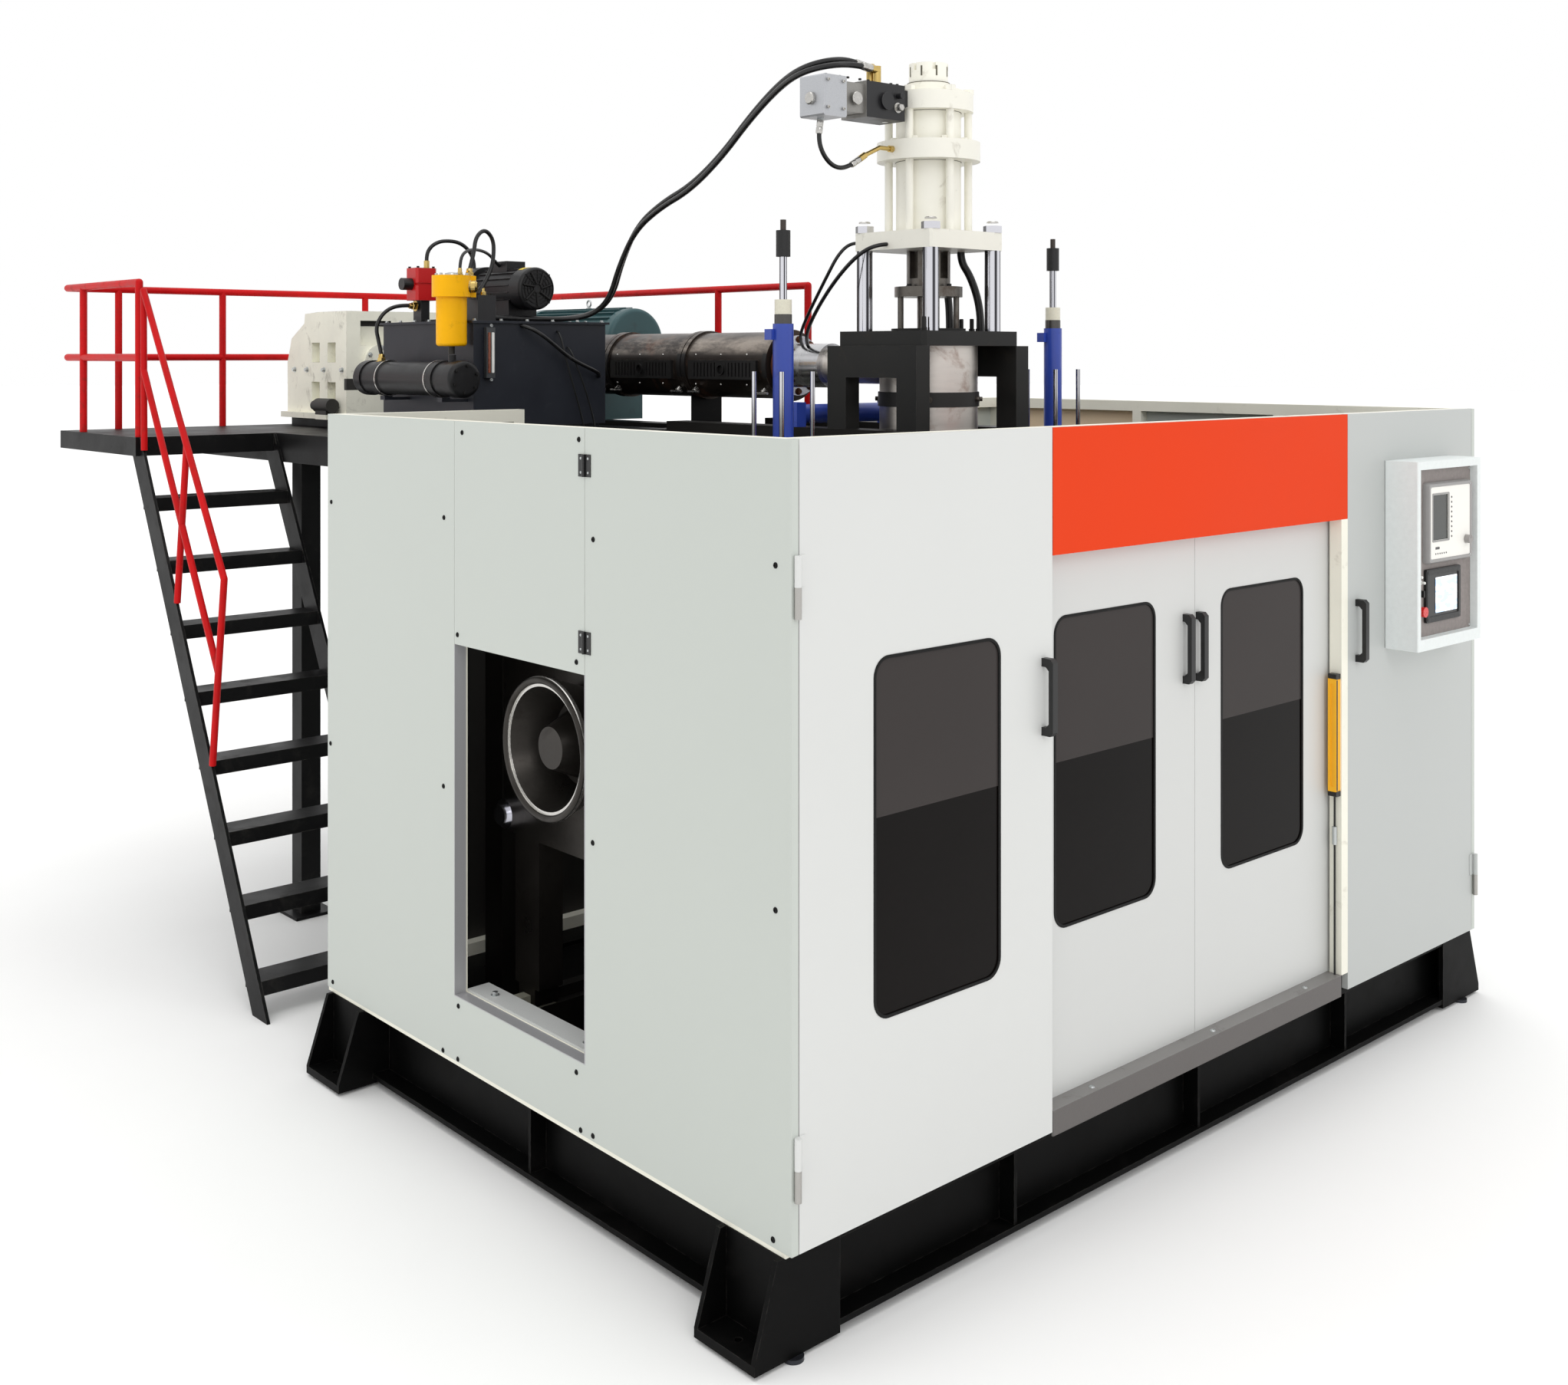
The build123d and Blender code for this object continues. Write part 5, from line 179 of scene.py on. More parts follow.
    def set(self, **values):
        for key, value in values.items():
            self.put(self.bsdf.inputs[key.replace("_", " ")], value)


NOISE_SPAN = (0.3, 0.7)
COAT_ROUGHNESS = 0.15


def shade_colour(colour, factor):
    return tuple(min(1, c * factor) for c in colour[:3]) + (1,)


def finish_of(name, colour, rough, cloud=(2.5, 0.06), grain=(350, 0.05), metal=0, spec=0.5, coat=0,
              rough_var=0.06, stretch=None, dirt=None, wear=None, layers=()):
    """General surface: clouds of tone, fine grain, optional dirt, worn edges and painted-over regions.

    cloud is (scale, variation), grain (scale, depth), wear (colour, radius) and dirt (amount, colour, scale).
    layers is a list of (mask function, colour, roughness, metallic)."""
    s = Shade(name)
    scale, var = cloud
    clouds = s.noise(scale, 5, 0.6, stretch)
    tone = s.mix(s.span(clouds, *NOISE_SPAN), shade_colour(colour, 1 - var), shade_colour(colour, 1 + var))
    fine = s.noise(grain[0], 3, 0.6, stretch)
    roughness = s.span(clouds, *NOISE_SPAN, rough - rough_var, rough + rough_var)
    metallic = metal
    if dirt:
        amount, dirt_colour, dirt_scale = dirt
        smear = s.span(s.noise(dirt_scale, 8, 0.68, distortion=0.6), 0.62 - 0.2 * amount, 0.78 - 0.1 * amount)
        smear = s.math("MULTIPLY", smear, min(1, 0.35 + amount))
        tone = s.mix(smear, tone, dirt_colour)
        roughness = s.math("ADD", roughness, s.math("MULTIPLY", smear, 0.25), clamp=True)
    if wear:
        wear_colour, wear_radius = wear
        rub = s.edges(wear_radius)
        tone = s.mix(rub, tone, wear_colour)
    for mask_of, layer_colour, layer_rough, layer_metal in layers:
        mask = mask_of(s)
        shift = s.span(fine, *NOISE_SPAN)
        layer_tone = s.mix(shift, shade_colour(layer_colour, 0.94), shade_colour(layer_colour, 1.05))
        tone = s.mix(mask, tone, layer_tone)
        roughness = s.blend(mask, roughness, layer_rough)
        if layer_metal != metallic or isinstance(metallic, bpy.types.NodeSocket):
            metallic = s.blend(mask, metallic, layer_metal)
    s.set(Base_Color=tone, Roughness=roughness, Metallic=metallic, Coat_Weight=coat,
          Coat_Roughness=COAT_ROUGHNESS, Specular_IOR_Level=spec)
    s.bump(fine, grain[1])
    return s.mat


# Colours read from the photograph

PANEL = rgb(192, 197, 191)
DOOR = rgb(211, 212, 210)
CABINET = rgb(184, 187, 185)
BOX_WHITE = rgb(226, 231, 230)
CREAM = rgb(243, 241, 230)
CREAM_OLD = rgb(205, 202, 186)
ORANGE = rgb(222, 62, 20)
BLACK = rgb(6, 6, 6)
PLASTIC = rgb(16, 16, 17)
WORN = rgb(62, 60, 57)
RED = rgb(190, 12, 16)
RUST = rgb(92, 40, 28)
BLUE = rgb(46, 74, 176)
SLATE = rgb(33, 36, 44)
AMBER = rgb(246, 180, 4)
TEAL = rgb(40, 78, 82)
CHROME = rgb(216, 216, 222)
STEEL = rgb(176, 174, 170)
DARK_STEEL = rgb(92, 90, 86)
ZINC = rgb(190, 194, 194)
BRASS = rgb(206, 178, 110)
SILL = rgb(128, 126, 124)
SILL_FRONT = rgb(92, 88, 86)
HOT_BROWN = rgb(48, 41, 37)
INTERIOR_SHADE_GREY = rgb(34, 32, 30)
GLASS_LOW = rgb(14, 11, 10)
GLASS_REFLECTION = rgb(60, 56, 55)
PEACH = rgb(246, 222, 190)
HOSE = rgb(16, 16, 17)
# Painted shade: the sliding doors take the service door's paint, darkened by 7 %.
SLIDING_DOOR_SHADED = shade_colour(DOOR, 0.93)
OPENING_EDGE = rgb(176, 176, 178)
POST_CREAM = rgb(238, 236, 222)
STEEL_BLACK = rgb(14, 14, 15)
GREY_DIRT = rgb(42, 40, 38)
CASTING_EDGE = rgb(96, 94, 92)
BLOCK_EDGE = rgb(110, 108, 106)


def place(name, data):
    """New object in the scene."""
    thing = bpy.data.objects.new(name, data)
    bpy.context.collection.objects.link(thing)
    return thing


# Camera

CAMERA_PLACE = (-5.013, -4.6837, 2.7317)
CAMERA_YAW = 42.066
SENSOR_WIDTH = 36
LENS = 38.85
SHIFT_UP = -0.215


def make_camera():
    """Level camera, solved from the photograph."""
    data = bpy.data.cameras.new("photo_camera")
    camera = place("photo_camera", data)
    camera.location = CAMERA_PLACE
    camera.rotation_euler = (radians(90), 0, -radians(CAMERA_YAW))
    data.sensor_width = SENSOR_WIDTH
    data.lens = LENS
    data.shift_y = SHIFT_UP
    bpy.context.scene.camera = camera


make_camera()


# Mesh building

LEFT = (-1, 0, 0)
FRONT = (0, -1, 0)
REAR = (0, 1, 0)
UP = (0, 0, 1)
ACROSS_PHOTO = (0.742, -0.67, 0)
WASHER = 0.002
SHARP = radians(35)


def frame_of(way):
    """A direction at unit length and two directions square to it."""
    way = Vector(way).normalized()
    side = way.cross(Vector(UP))
    if side.length < 1e-4:
        side = Vector((1, 0, 0))
    side.normalize()
    return way, side, way.cross(side).normalized()


def turns(count, start=0):
    """Angles that divide a full turn evenly."""
    return [start + 2 * pi * i / count for i in range(count)]


class Part:
    """A mesh under construction: boxes, turned shapes, bars and frames, finished as one piece."""

    def __init__(self, name):
        self.name = name
        self.bm = bmesh.new()

    def box(self, x, y, z):
        corners = [self.bm.verts.new((a, b, c)) for a in x for b in y for c in z]
        for quad in ((0, 1, 3, 2), (4, 6, 7, 5), (0, 4, 5, 1), (2, 3, 7, 6), (0, 2, 6, 4), (1, 5, 7, 3)):
            self.bm.faces.new([corners[i] for i in quad])

    def circle(self, centre, side, up, radius, steps):
        """Ring of points about a centre, in the plane of two directions."""
        return [self.bm.verts.new(centre + side * (radius * cos(turn)) + up * (radius * sin(turn)))
                for turn in turns(steps)]

    def loop(self, centre, y, width, height, corner, steps=8):
        """Rounded rectangle of points about (x, z), in a plane that faces the front."""
        spots = []
        for quarter, (sx, sz) in enumerate(((1, 1), (-1, 1), (-1, -1), (1, -1))):
            for i in range(steps + 1):
                angle = pi / 2 * (quarter + i / steps)
                across = sx * (width / 2 - corner) + corner * cos(angle)
                up = sz * (height / 2 - corner) + corner * sin(angle)
                spots.append(self.bm.verts.new((centre[0] + across, y, centre[1] + up)))
        return spots

    def skin(self, rings, closed=False):
        """Faces between rings of points. A ring of one point is a tip."""
        pairs = list(zip(rings, rings[1:]))
        if closed:
            pairs.append((rings[-1], rings[0]))
        for low, high in pairs:
            count = max(len(low), len(high))
            for i in range(count):
                j = (i + 1) % count
                if len(low) == 1:
                    self.bm.faces.new((low[0], high[j], high[i]))
                elif len(high) == 1:
                    self.bm.faces.new((low[i], low[j], high[0]))
                else:
                    self.bm.faces.new((low[i], low[j], high[j], high[i]))

    def turned(self, base, way, profile, steps=28, tip=None):
        """Shape turned about an axis, closed at both ends.

        profile is a list of (radius, distance along the axis). The far end closes at tip when it is given."""
        base = Vector(base)
        way, side, up = frame_of(way)
        end = profile[-1][1] if tip is None else tip
        rings = [self.circle(base + way * along, side, up, radius, steps) for radius, along in profile]
        tips = [[self.bm.verts.new(base + way * along)] for along in (profile[0][1], end)]
        self.skin(tips[:1] + rings + tips[1:])
        return self

    def ring(self, centre, way, inner, outer, width, steps=48):
        """Flat ring with square edges, centred on a point of its axis."""
        way, side, up = frame_of(way)
        half = width / 2
        section = ((inner, -half), (outer, -half), (outer, half), (inner, half))
        centre = Vector(centre)
        rings = [self.circle(centre + way * along, side, up, radius, steps) for radius, along in section]
        self.skin(rings, True)

    def tube(self, points, radius, steps=10):
        """Round bar through points."""
        spots = [Vector(p) for p in points]
        rings = [[self.bm.verts.new(spots[0])]]
        for i, spot in enumerate(spots):
            side, up = frame_of(spots[min(i + 1, len(spots) - 1)] - spots[max(i - 1, 0)])[1:]
            rings.append(self.circle(spot, side, up, radius, steps))
        rings.append([self.bm.verts.new(spots[-1])])
        self.skin(rings)

    def framed(self, centre, sections):
        """Closed frame that faces the front: sections are (width, height, corner, y)."""
        self.skin([self.loop(centre, y, *size) for *size, y in sections], True)
        return self

    def plate(self, centre, width, height, corner, y_back, y_front, edge=0.001):
        """Rounded plate that faces the front, its front edge broken."""
        rings = [self.loop(centre, y, width - 2 * shrink, height - 2 * shrink, corner)
                 for shrink, y in ((0, y_back), (0, y_front + edge), (edge, y_front))]
        self.skin(rings)
        self.bm.faces.new(rings[0])
        self.bm.faces.new(list(reversed(rings[-1])))
        return self

    def bolt(self, centre, way, across, height):
        """Hexagon head on a washer, standing on a face."""
        rim = across * 0.78
        reach = across / 2 / cos(pi / 6)
        self.turned(centre, way, [(rim, 0), (rim, WASHER)], 20)
        top = WASHER + height
        self.turned(centre, way, [(reach, WASHER), (reach, WASHER + height * 0.85), (reach * 0.86, top)], 6)

    def socket(self, centre, way, radius, height):
        """Socket cap screw with its recess."""
        self.turned(centre, way, [(radius, 0), (radius, height * 0.88), (radius * 0.9, height),
                                  (radius * 0.55, height), (radius * 0.5, height * 0.45)], 20, height * 0.4)

    def button(self, centre, way, radius, height):
        """Domed screw head with a small recess."""
        self.turned(centre, way, [(radius, 0), (radius * 0.96, height * 0.35), (radius * 0.75, height * 0.8),
                                  (radius * 0.42, height), (radius * 0.36, height * 0.5)], 18, height * 0.45)

    def each(self, kind, xs, ys, zs, way, *sizes):
        """A bolt, socket, button or turned shape at every combination of coordinates."""
        for x in xs:
            for y in ys:
                for z in zs:
                    getattr(self, kind)((x, y, z), way, *sizes)
        return self

    def round_of(self, kind, centre, way, reach, count, turn, *sizes):
        """Bolts, sockets or buttons in a circle on a face."""
        side, up = frame_of(way)[1:]
        for angle in turns(count, turn):
            spot = Vector(centre) + side * (reach * cos(angle)) + up * (reach * sin(angle))
            getattr(self, kind)(spot, way, *sizes)
        return self

    def done(self, look, body="root"):
        """Makes the piece, in one of the looks that are listed further down, and lets it ride on a body."""
        finish, slot = looks[look]
        mesh = bpy.data.meshes.new(self.name)
        bmesh.ops.recalc_face_normals(self.bm, faces=self.bm.faces)
        for face in self.bm.faces:
            face.smooth = True
        for edge in self.bm.edges:
            edge.smooth = edge.calc_face_angle(0) < SHARP
        self.bm.to_mesh(mesh)
        self.bm.free()
        piece = place(self.name, mesh)
        mesh.materials.append(finish)
        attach(piece, body)


# Cords

CORD_STEPS = 12
CORD_ROUNDNESS = 4


def cord(name, points, radius, finish, length, stiffness, node=None):
    """Hose or cable on one smooth curve, in place of its CAD tube when it has one."""
    line = bpy.data.curves.new(name, "CURVE")
    line.dimensions = "3D"
    line.bevel_depth = radius
    line.bevel_resolution = CORD_ROUNDNESS
    line.resolution_u = CORD_STEPS
    line.use_fill_caps = True
    spline = line.splines.new("NURBS")
    spline.points.add(len(points) - 1)
    for spot, point in zip(spline.points, points):
        spot.co = (*point, 1)
    spline.order_u = 3
    spline.use_endpoint_u = True
    piece = place(name, line)
    line.materials.append(finish)
    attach(piece, "root")
    if node:
        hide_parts(node)


HOSE_A = [
    (-0.345, -0.018, 3.85), (-0.43, -0.016, 3.857), (-0.515, 0.045, 3.852), (-0.545, 0.18, 3.834),
    (-0.512, 0.345, 3.792), (-0.486, 0.54, 3.695), (-0.472, 0.74, 3.556), (-0.462, 0.96, 3.438),
    (-0.452, 1.185, 3.376), (-0.441, 1.375, 3.29), (-0.432, 1.505, 3.14), (-0.428, 1.585, 2.99),
    (-0.462, 1.668, 2.918), (-0.565, 1.722, 2.897), (-0.7, 1.738, 2.897), (-0.83, 1.728, 2.897),
    (-0.96, 1.738, 2.9)]
HOSE_B = [
    (-0.345, 0.018, 3.862), (-0.418, 0.02, 3.88), (-0.492, 0.072, 3.878), (-0.518, 0.196, 3.86),
    (-0.486, 0.36, 3.822), (-0.458, 0.56, 3.724), (-0.444, 0.762, 3.582), (-0.434, 0.98, 3.466),
    (-0.423, 1.204, 3.404), (-0.411, 1.398, 3.316), (-0.4, 1.528, 3.16), (-0.394, 1.606, 3.002),
    (-0.43, 1.692, 2.926), (-0.545, 1.752, 2.899), (-0.69, 1.77, 2.897), (-0.826, 1.762, 2.898),
    (-0.96, 1.775, 2.9)]
VALVE_HOSE = [
    (-0.6, 0, 3.626), (-0.612, 0, 3.565), (-0.59, 0, 3.5), (-0.53, 0, 3.452),
    (-0.455, 0, 3.456), (-0.392, 0, 3.494)]
FILTER_HOSE = [
    (-1.082, 1.722, 3.104), (-1.06, 1.722, 3.176), (-1.05, 1.724, 3.25), (-1, 1.73, 3.29),
    (-0.95, 1.738, 3.248), (-0.944, 1.744, 3.17), (-0.96, 1.748, 3.098), (-1, 1.752, 3.032)]
COOLER_HOSE = [
    (-1.045, 2.25, 2.96), (-1.12, 2.262, 2.966), (-1.195, 2.274, 2.932), (-1.232, 2.282, 2.862),
    (-1.214, 2.285, 2.795), (-1.2, 2.285, 2.734)]
HEAD_CABLE_A = [
    (-0.212, 0.027, 3.173), (-0.248, 0.03, 3.171), (-0.288, 0.075, 3.15), (-0.306, 0.15, 3.095),
    (-0.292, 0.26, 3.015), (-0.236, 0.4, 2.93), (-0.166, 0.53, 2.856), (-0.1, 0.62, 2.804),
    (-0.045, 0.668, 2.776)]
HEAD_CABLE_B = [
    (-0.205, 0.212, 3.186), (-0.216, 0.24, 3.184), (-0.258, 0.262, 3.136), (-0.27, 0.31, 3.056),
    (-0.212, 0.47, 2.926), (-0.15, 0.59, 2.848), (-0.095, 0.665, 2.8), (-0.045, 0.702, 2.775)]
HEAD_HOSE_A = [
    (0.15, -0.04, 3.153), (0.15, -0.042, 3.112), (0.186, -0.056, 3.06), (0.214, -0.072, 2.975),
    (0.224, -0.082, 2.89), (0.224, -0.082, 2.828)]
HEAD_HOSE_B = [
    (0.14, 0.08, 3.153), (0.141, 0.08, 3.11), (0.176, 0.078, 3.055), (0.202, 0.076, 2.975),
    (0.21, 0.076, 2.89), (0.21, 0.076, 2.828)]
TANK_HOSE = [
    (-0.846, 1.675, 2.866), (-0.833, 1.649, 2.859), (-0.804, 1.629, 2.843), (-0.758, 1.621, 2.815),
    (-0.705, 1.62, 2.778), (-0.651, 1.621, 2.74), (-0.596, 1.623, 2.709), (-0.542, 1.624, 2.686),
    (-0.494, 1.629, 2.668), (-0.459, 1.637, 2.654), (-0.436, 1.655, 2.643), (-0.425, 1.675, 2.637)]
TANK_CABLE_A = [
    (-0.655, 1.675, 2.84), (-0.655, 1.652, 2.834), (-0.642, 1.642, 2.76), (-0.602, 1.636, 2.62),
    (-0.557, 1.632, 2.48), (-0.535, 1.634, 2.402), (-0.53, 1.64, 2.35)]
TANK_CABLE_B = [
    (-0.6, 1.675, 2.77), (-0.599, 1.653, 2.762), (-0.576, 1.642, 2.7), (-0.524, 1.636, 2.57),
    (-0.486, 1.632, 2.45), (-0.474, 1.634, 2.392), (-0.47, 1.64, 2.35)]
MOTOR_CABLE = [
    (-1.13, 1.722, 3.078), (-1.13, 1.724, 3.14), (-1.084, 1.762, 3.188), (-0.985, 1.83, 3.206),
    (-0.885, 1.89, 3.196), (-0.824, 1.928, 3.164), (-0.79, 1.94, 3.14)]
RELIEF_HOSE = [
    (-0.987, 2.25, 3.171), (-0.987, 2.25, 3.204), (-0.967, 2.242, 3.24), (-0.931, 2.23, 3.262),
    (-0.89, 2.218, 3.266), (-0.847, 2.213, 3.262), (-0.807, 2.214, 3.246), (-0.773, 2.217, 3.216),
    (-0.753, 2.22, 3.176), (-0.75, 2.22, 3.136), (-0.75, 2.22, 3.1)]

hose_cover = finish_of("hose_cover", HOSE, 0.36, (30, 0.2), (300, 0.2), dirt=(0.25, rgb(70, 68, 66), 30))
cable_cover = finish_of("cable_cover", rgb(17, 17, 18), 0.42, (40, 0.12), (300, 0.08))

# Each row: name, route, radius, cover, length, stiffness, CAD node that it replaces

CORDS = (
    ("main_hose_a", HOSE_A, 0.012, hose_cover, 2.633, "stiff", "main_hose_left"),
    ("main_hose_b", HOSE_B, 0.012, hose_cover, 2.655, "stiff", "main_hose_right"),
    ("valve_hose_line", VALVE_HOSE, 0.009, hose_cover, 0.349, "stiff", "valve_hose"),
    ("filter_hose_line", FILTER_HOSE, 0.009, hose_cover, 0.493, "stiff", "filter_hose"),
    ("cooler_hose_line", COOLER_HOSE, 0.009, hose_cover, 0.364, "stiff", "cooler_hose"),
    ("head_cable_a", HEAD_CABLE_A, 0.008, cable_cover, 0.863, "medium"),
    ("head_cable_b", HEAD_CABLE_B, 0.007, cable_cover, 0.722, "medium"),
    ("head_hose_a", HEAD_HOSE_A, 0.016, hose_cover, 0.342, "stiff"),
    ("head_hose_b", HEAD_HOSE_B, 0.016, hose_cover, 0.337, "stiff"),
    ("tank_hose", TANK_HOSE, 0.009, hose_cover, 0.517, "medium"),
    ("tank_cable_a", TANK_CABLE_A, 0.0045, cable_cover, 0.519, "medium"),
    ("tank_cable_b", TANK_CABLE_B, 0.004, cable_cover, 0.453, "medium"),
    ("motor_cable", MOTOR_CABLE, 0.007, cable_cover, 0.489, "medium"),
    ("relief_hose", RELIEF_HOSE, 0.009, hose_cover, 0.41, "stiff"),
)
for row in CORDS:
    cord(*row)


# Materials of the CAD pieces

def box(x=None, y=None, z=None):
    """Mask of a box of object coordinates, for a layer of a finish."""
    return lambda s: s.inside(x, y, z)


def any_of(*masks):
    return lambda s: s.either(*[mask(s) for mask in masks])


def dress(node_names, finish):
    """Gives CAD pieces their finish."""
    for node_name in node_names.split():
        for held in nodes[node_name].material_slots:
            held.link = "OBJECT"
            held.material = finish


def paint(node_names, *values, **more):
    """Makes a finish for CAD pieces."""
    finish = finish_of(*values, **more)
    dress(node_names, finish)
    return finish


def brushed(node_names, name, colour, stretch, rough, var, **more):
    """Turned, ground or drawn metal: fine streaks along one direction."""
    paint(node_names, name, colour, rough, (3, var), (120, 0.1), 1, stretch=stretch, rough_var=0.08, **more)


def glass_finish():
    """Smoked pane with a painted reflection: a lighter tone over its upper part, whose edge rises a little to
    the right.
    """
    s = Shade("smoked_glass")
    upper = s.math("GREATER_THAN", s.z, s.math("MULTIPLY_ADD", s.x, REFLECTION_SLOPE, REFLECTION_EDGE))
    cloud = s.noise(1.4, 3, 0.5)
    low = s.mix(s.span(cloud, *NOISE_SPAN), shade_colour(GLASS_LOW, 0.92), shade_colour(GLASS_LOW, 1.1))
    high = s.mix(s.span(cloud, *NOISE_SPAN), shade_colour(GLASS_REFLECTION, 0.96), shade_colour(GLASS_REFLECTION, 1.05))
    s.set(Base_Color=s.mix(upper, low, high), Roughness=s.span(cloud, *NOISE_SPAN, 0.16, 0.22),
          Specular_IOR_Level=0.08)
    s.bump(s.noise(60, 2), 0.01)
    return s.mat


def hub_rim(s):
    """Bright lip of the hub on the clamp's end plate."""
    inner = s.round_about("X", (0, CLAMP_Z), 0.205)
    return s.math("MULTIPLY", s.inside((-1.858, -1.838)), s.math("SUBTRACT", 1, inner))


def port_rod(s):
    """Rod through the valve block's cover."""
    return s.round_about("Z", (-0.25, 0), 0.012)


def rod_streaks(s):
    """Dark reflections that run along upright rods."""
    return s.streaks(ACROSS_PHOTO, ((-0.92, 0.3), (0.3, 0.24), (0.98, 0.22)))


def upper_side_highlight(s):
    """Painted highlight: bright patches along the upper side of the heating covers, broken up by noise."""
    upper = s.streaks((-0.3, 0, 0.95), ((0.8, 0.24),))
    return s.math("MULTIPLY", upper, s.span(s.noise(7, 6, 0.7, (1, 0.35, 1)), 0.4, 0.6))


END_FACE = -1.954
LEAF_FACE = -1.325
SLIDING_FACE = -1.265
CLAMP_Z = 1.43
# Height of the painted reflection's lower edge on the windows, and its rise to the right
REFLECTION_EDGE = 1.437
REFLECTION_SLOPE = 0.005
INNER_X = (-1.9515, 1.9515)
INNER_Y = (-1.3235, 1.3235)
# Height band of the painted shade on the enclosure's inside walls
INTERIOR_SHADE_Z = (0.2, 2)
RAIL_PINS = (-1.36, -1.3252)
ALONG_Z = (1, 1, 0.02)
SHEET = {"grain": (700, 0.035), "rough_var": 0.04}
HATCH_HINGES = (box((-1.966, -1.9541), (-0.41, -0.33)), PLASTIC, 0.35, 0)
ROD_SHADE = (rod_streaks, rgb(62, 62, 66), 0.2, 1)

# Enclosure and control box

for leaf, finish_name, colour, var, x, face, z in (
        ("service_door", "service_door_paint", DOOR, 0.012, -0.896, LEAF_FACE, 1.674),
        ("left_sliding_door", "left_door_paint", SLIDING_DOOR_SHADED, 0.012, -0.061, SLIDING_FACE, 1.718),
        ("right_sliding_door", "right_door_paint", SLIDING_DOOR_SHADED, 0.012, 0.017, SLIDING_FACE, 1.718),
        ("cabinet_door", "cabinet_door_paint", CABINET, 0.015, 0.988, LEAF_FACE, 1.674)):
    handle = box((x - 0.02, x + 0.02), (face - 0.06, face - 0.0006), (z - 0.13, z + 0.13))
    paint(leaf, finish_name, colour, 0.42, (0.8, var), layers=[(handle, PLASTIC, 0.38, 0)], **SHEET)
dress("service_door_window left_door_window right_door_window", glass_finish())
paint("outer_panels", "end_panel_paint", PANEL, 0.42, (0.7, 0.014), layers=[
    # Painted shade: the enclosure's inside walls, from 0.2 m to 2 m high, are darkened to a dark grey.
    (box(INNER_X, INNER_Y, INTERIOR_SHADE_Z), INTERIOR_SHADE_GREY, 0.6, 0),
    (box((1.94, INNER_X[1]), (0.371, 1.33), (2, 2.6)), PEACH, 0.35, 0),
    (box((-1.955, -1.906), (-0.375, 0.3999), (0.5285, 1.74)), OPENING_EDGE, 0.35, 0.3)], **SHEET)
paint("end_hatch", "hatch_paint", PANEL, 0.42, (0.7, 0.014), layers=[HATCH_HINGES], **SHEET)
paint("header_panel", "header_paint", ORANGE, 0.5, (0.9, 0.02), (600, 0.03), spec=0.1)
paint("enclosure_frame", "frame_paint", POST_CREAM, 0.45, (3, 0.03), (500, 0.05),
    dirt=(0.12, rgb(150, 140, 118), 9), layers=[
    (box((-1.902, -1.8), (-0.4, 0.42), (0.53, 0.5395)), rgb(214, 216, 214), 0.5, 0.2),
    (any_of(box((-1.952, -1.928), RAIL_PINS), box((1.928, 1.952), RAIL_PINS)), STEEL, 0.35, 1),
    HATCH_HINGES])
paint("door_tracks", "sill_paint", SILL, 0.4, (4, 0.08), (260, 0.08), dirt=(0.2, rgb(80, 76, 72), 9), layers=[
    (box(y=(-1.33, -1.3245), z=(0.2, 0.3715)), SILL_FRONT, 0.45, 0)])
paint("light_curtain", "curtain_paint", rgb(250, 182, 18), 0.42, (12, 0.04), (300, 0.05), layers=[
    (box(z=(0.3, 1.0619)), rgb(26, 26, 27), 0.5, 0),
    (box(z=(0.8679, 0.9361)), ZINC, 0.35, 0.9)])
paint("base_frame", "base_paint", BLACK, 0.5, (3.5, 0.18), (180, 0.12), wear=(WORN, 0.004),
    dirt=(0.3, rgb(24, 22, 21), 5), spec=0.08)
paint("leveling_pads", "pad_steel", rgb(58, 60, 66), 0.4, (30, 0.15), (200, 0.1), 0.7)
paint("electrical_cabinet", "galvanised", ZINC, 0.4, (18, 0.12), (90, 0.1), 0.85,
    dirt=(0.2, rgb(120, 116, 108), 8))
paint("control_box", "control_box_paint", BOX_WHITE, 0.5, (45, 0.03), (260, 0.22))
paint("operator_panels", "controller_plastic", rgb(240, 238, 232), 0.45, (8, 0.015), (400, 0.05), layers=[
    (box(z=(1.67, 1.9)), PLASTIC, 0.3, 0),
    (box((1.331, 1.4561), (-1.456, -1.45), (2, 2.19)), rgb(58, 60, 58), 0.25, 0)])
paint("stop_button", "stop_red", rgb(206, 24, 22), 0.3, (60, 0.04), (500, 0.04), coat=0.4)
paint("dial_knob", "dial_grey", rgb(148, 144, 142), 0.45, (60, 0.06), (500, 0.1))
knob_black = paint("selector_knob", "knob_black", PLASTIC, 0.4, (60, 0.1), (500, 0.1))

# Gallery, stair and extruder

paint("gallery_deck gallery_posts extruder_bed", "gallery_paint", STEEL_BLACK, 0.45, (4, 0.2), (160, 0.15),
    wear=(WORN, 0.004), dirt=(0.3, GREY_DIRT, 7), spec=0.15)
paint("stair", "stair_paint", STEEL_BLACK, 0.42, (5, 0.2), (160, 0.15), wear=(DARK_STEEL, 0.005),
    dirt=(0.4, GREY_DIRT, 8), spec=0.15)
paint("gallery_railing stair_handrail", "rail_paint", RED, 0.42, (6, 0.12), (120, 0.12),
    dirt=(0.3, RUST, 14), spec=0.15)
paint("gearbox", "gearbox_paint", rgb(238, 237, 222), 0.6, (6, 0.05), (90, 0.5),
    dirt=(0.3, rgb(120, 112, 96), 9), wear=(rgb(150, 144, 130), 0.004), layers=[
    (any_of(box((-0.8, -0.4), (3.4, 3.44), (2.55, 2.61)),
            box((-0.88, -0.7855), (3.46, 3.69), (2.42, 2.52)),
            box((-0.706, -0.524), (3.4152, 3.6), (2.886, 2.916))), rgb(40, 38, 36), 0.6, 0)])
paint("drive_motor", "motor_paint", TEAL, 0.42, (5, 0.1), (200, 0.15), dirt=(0.2, rgb(30, 40, 42), 9))
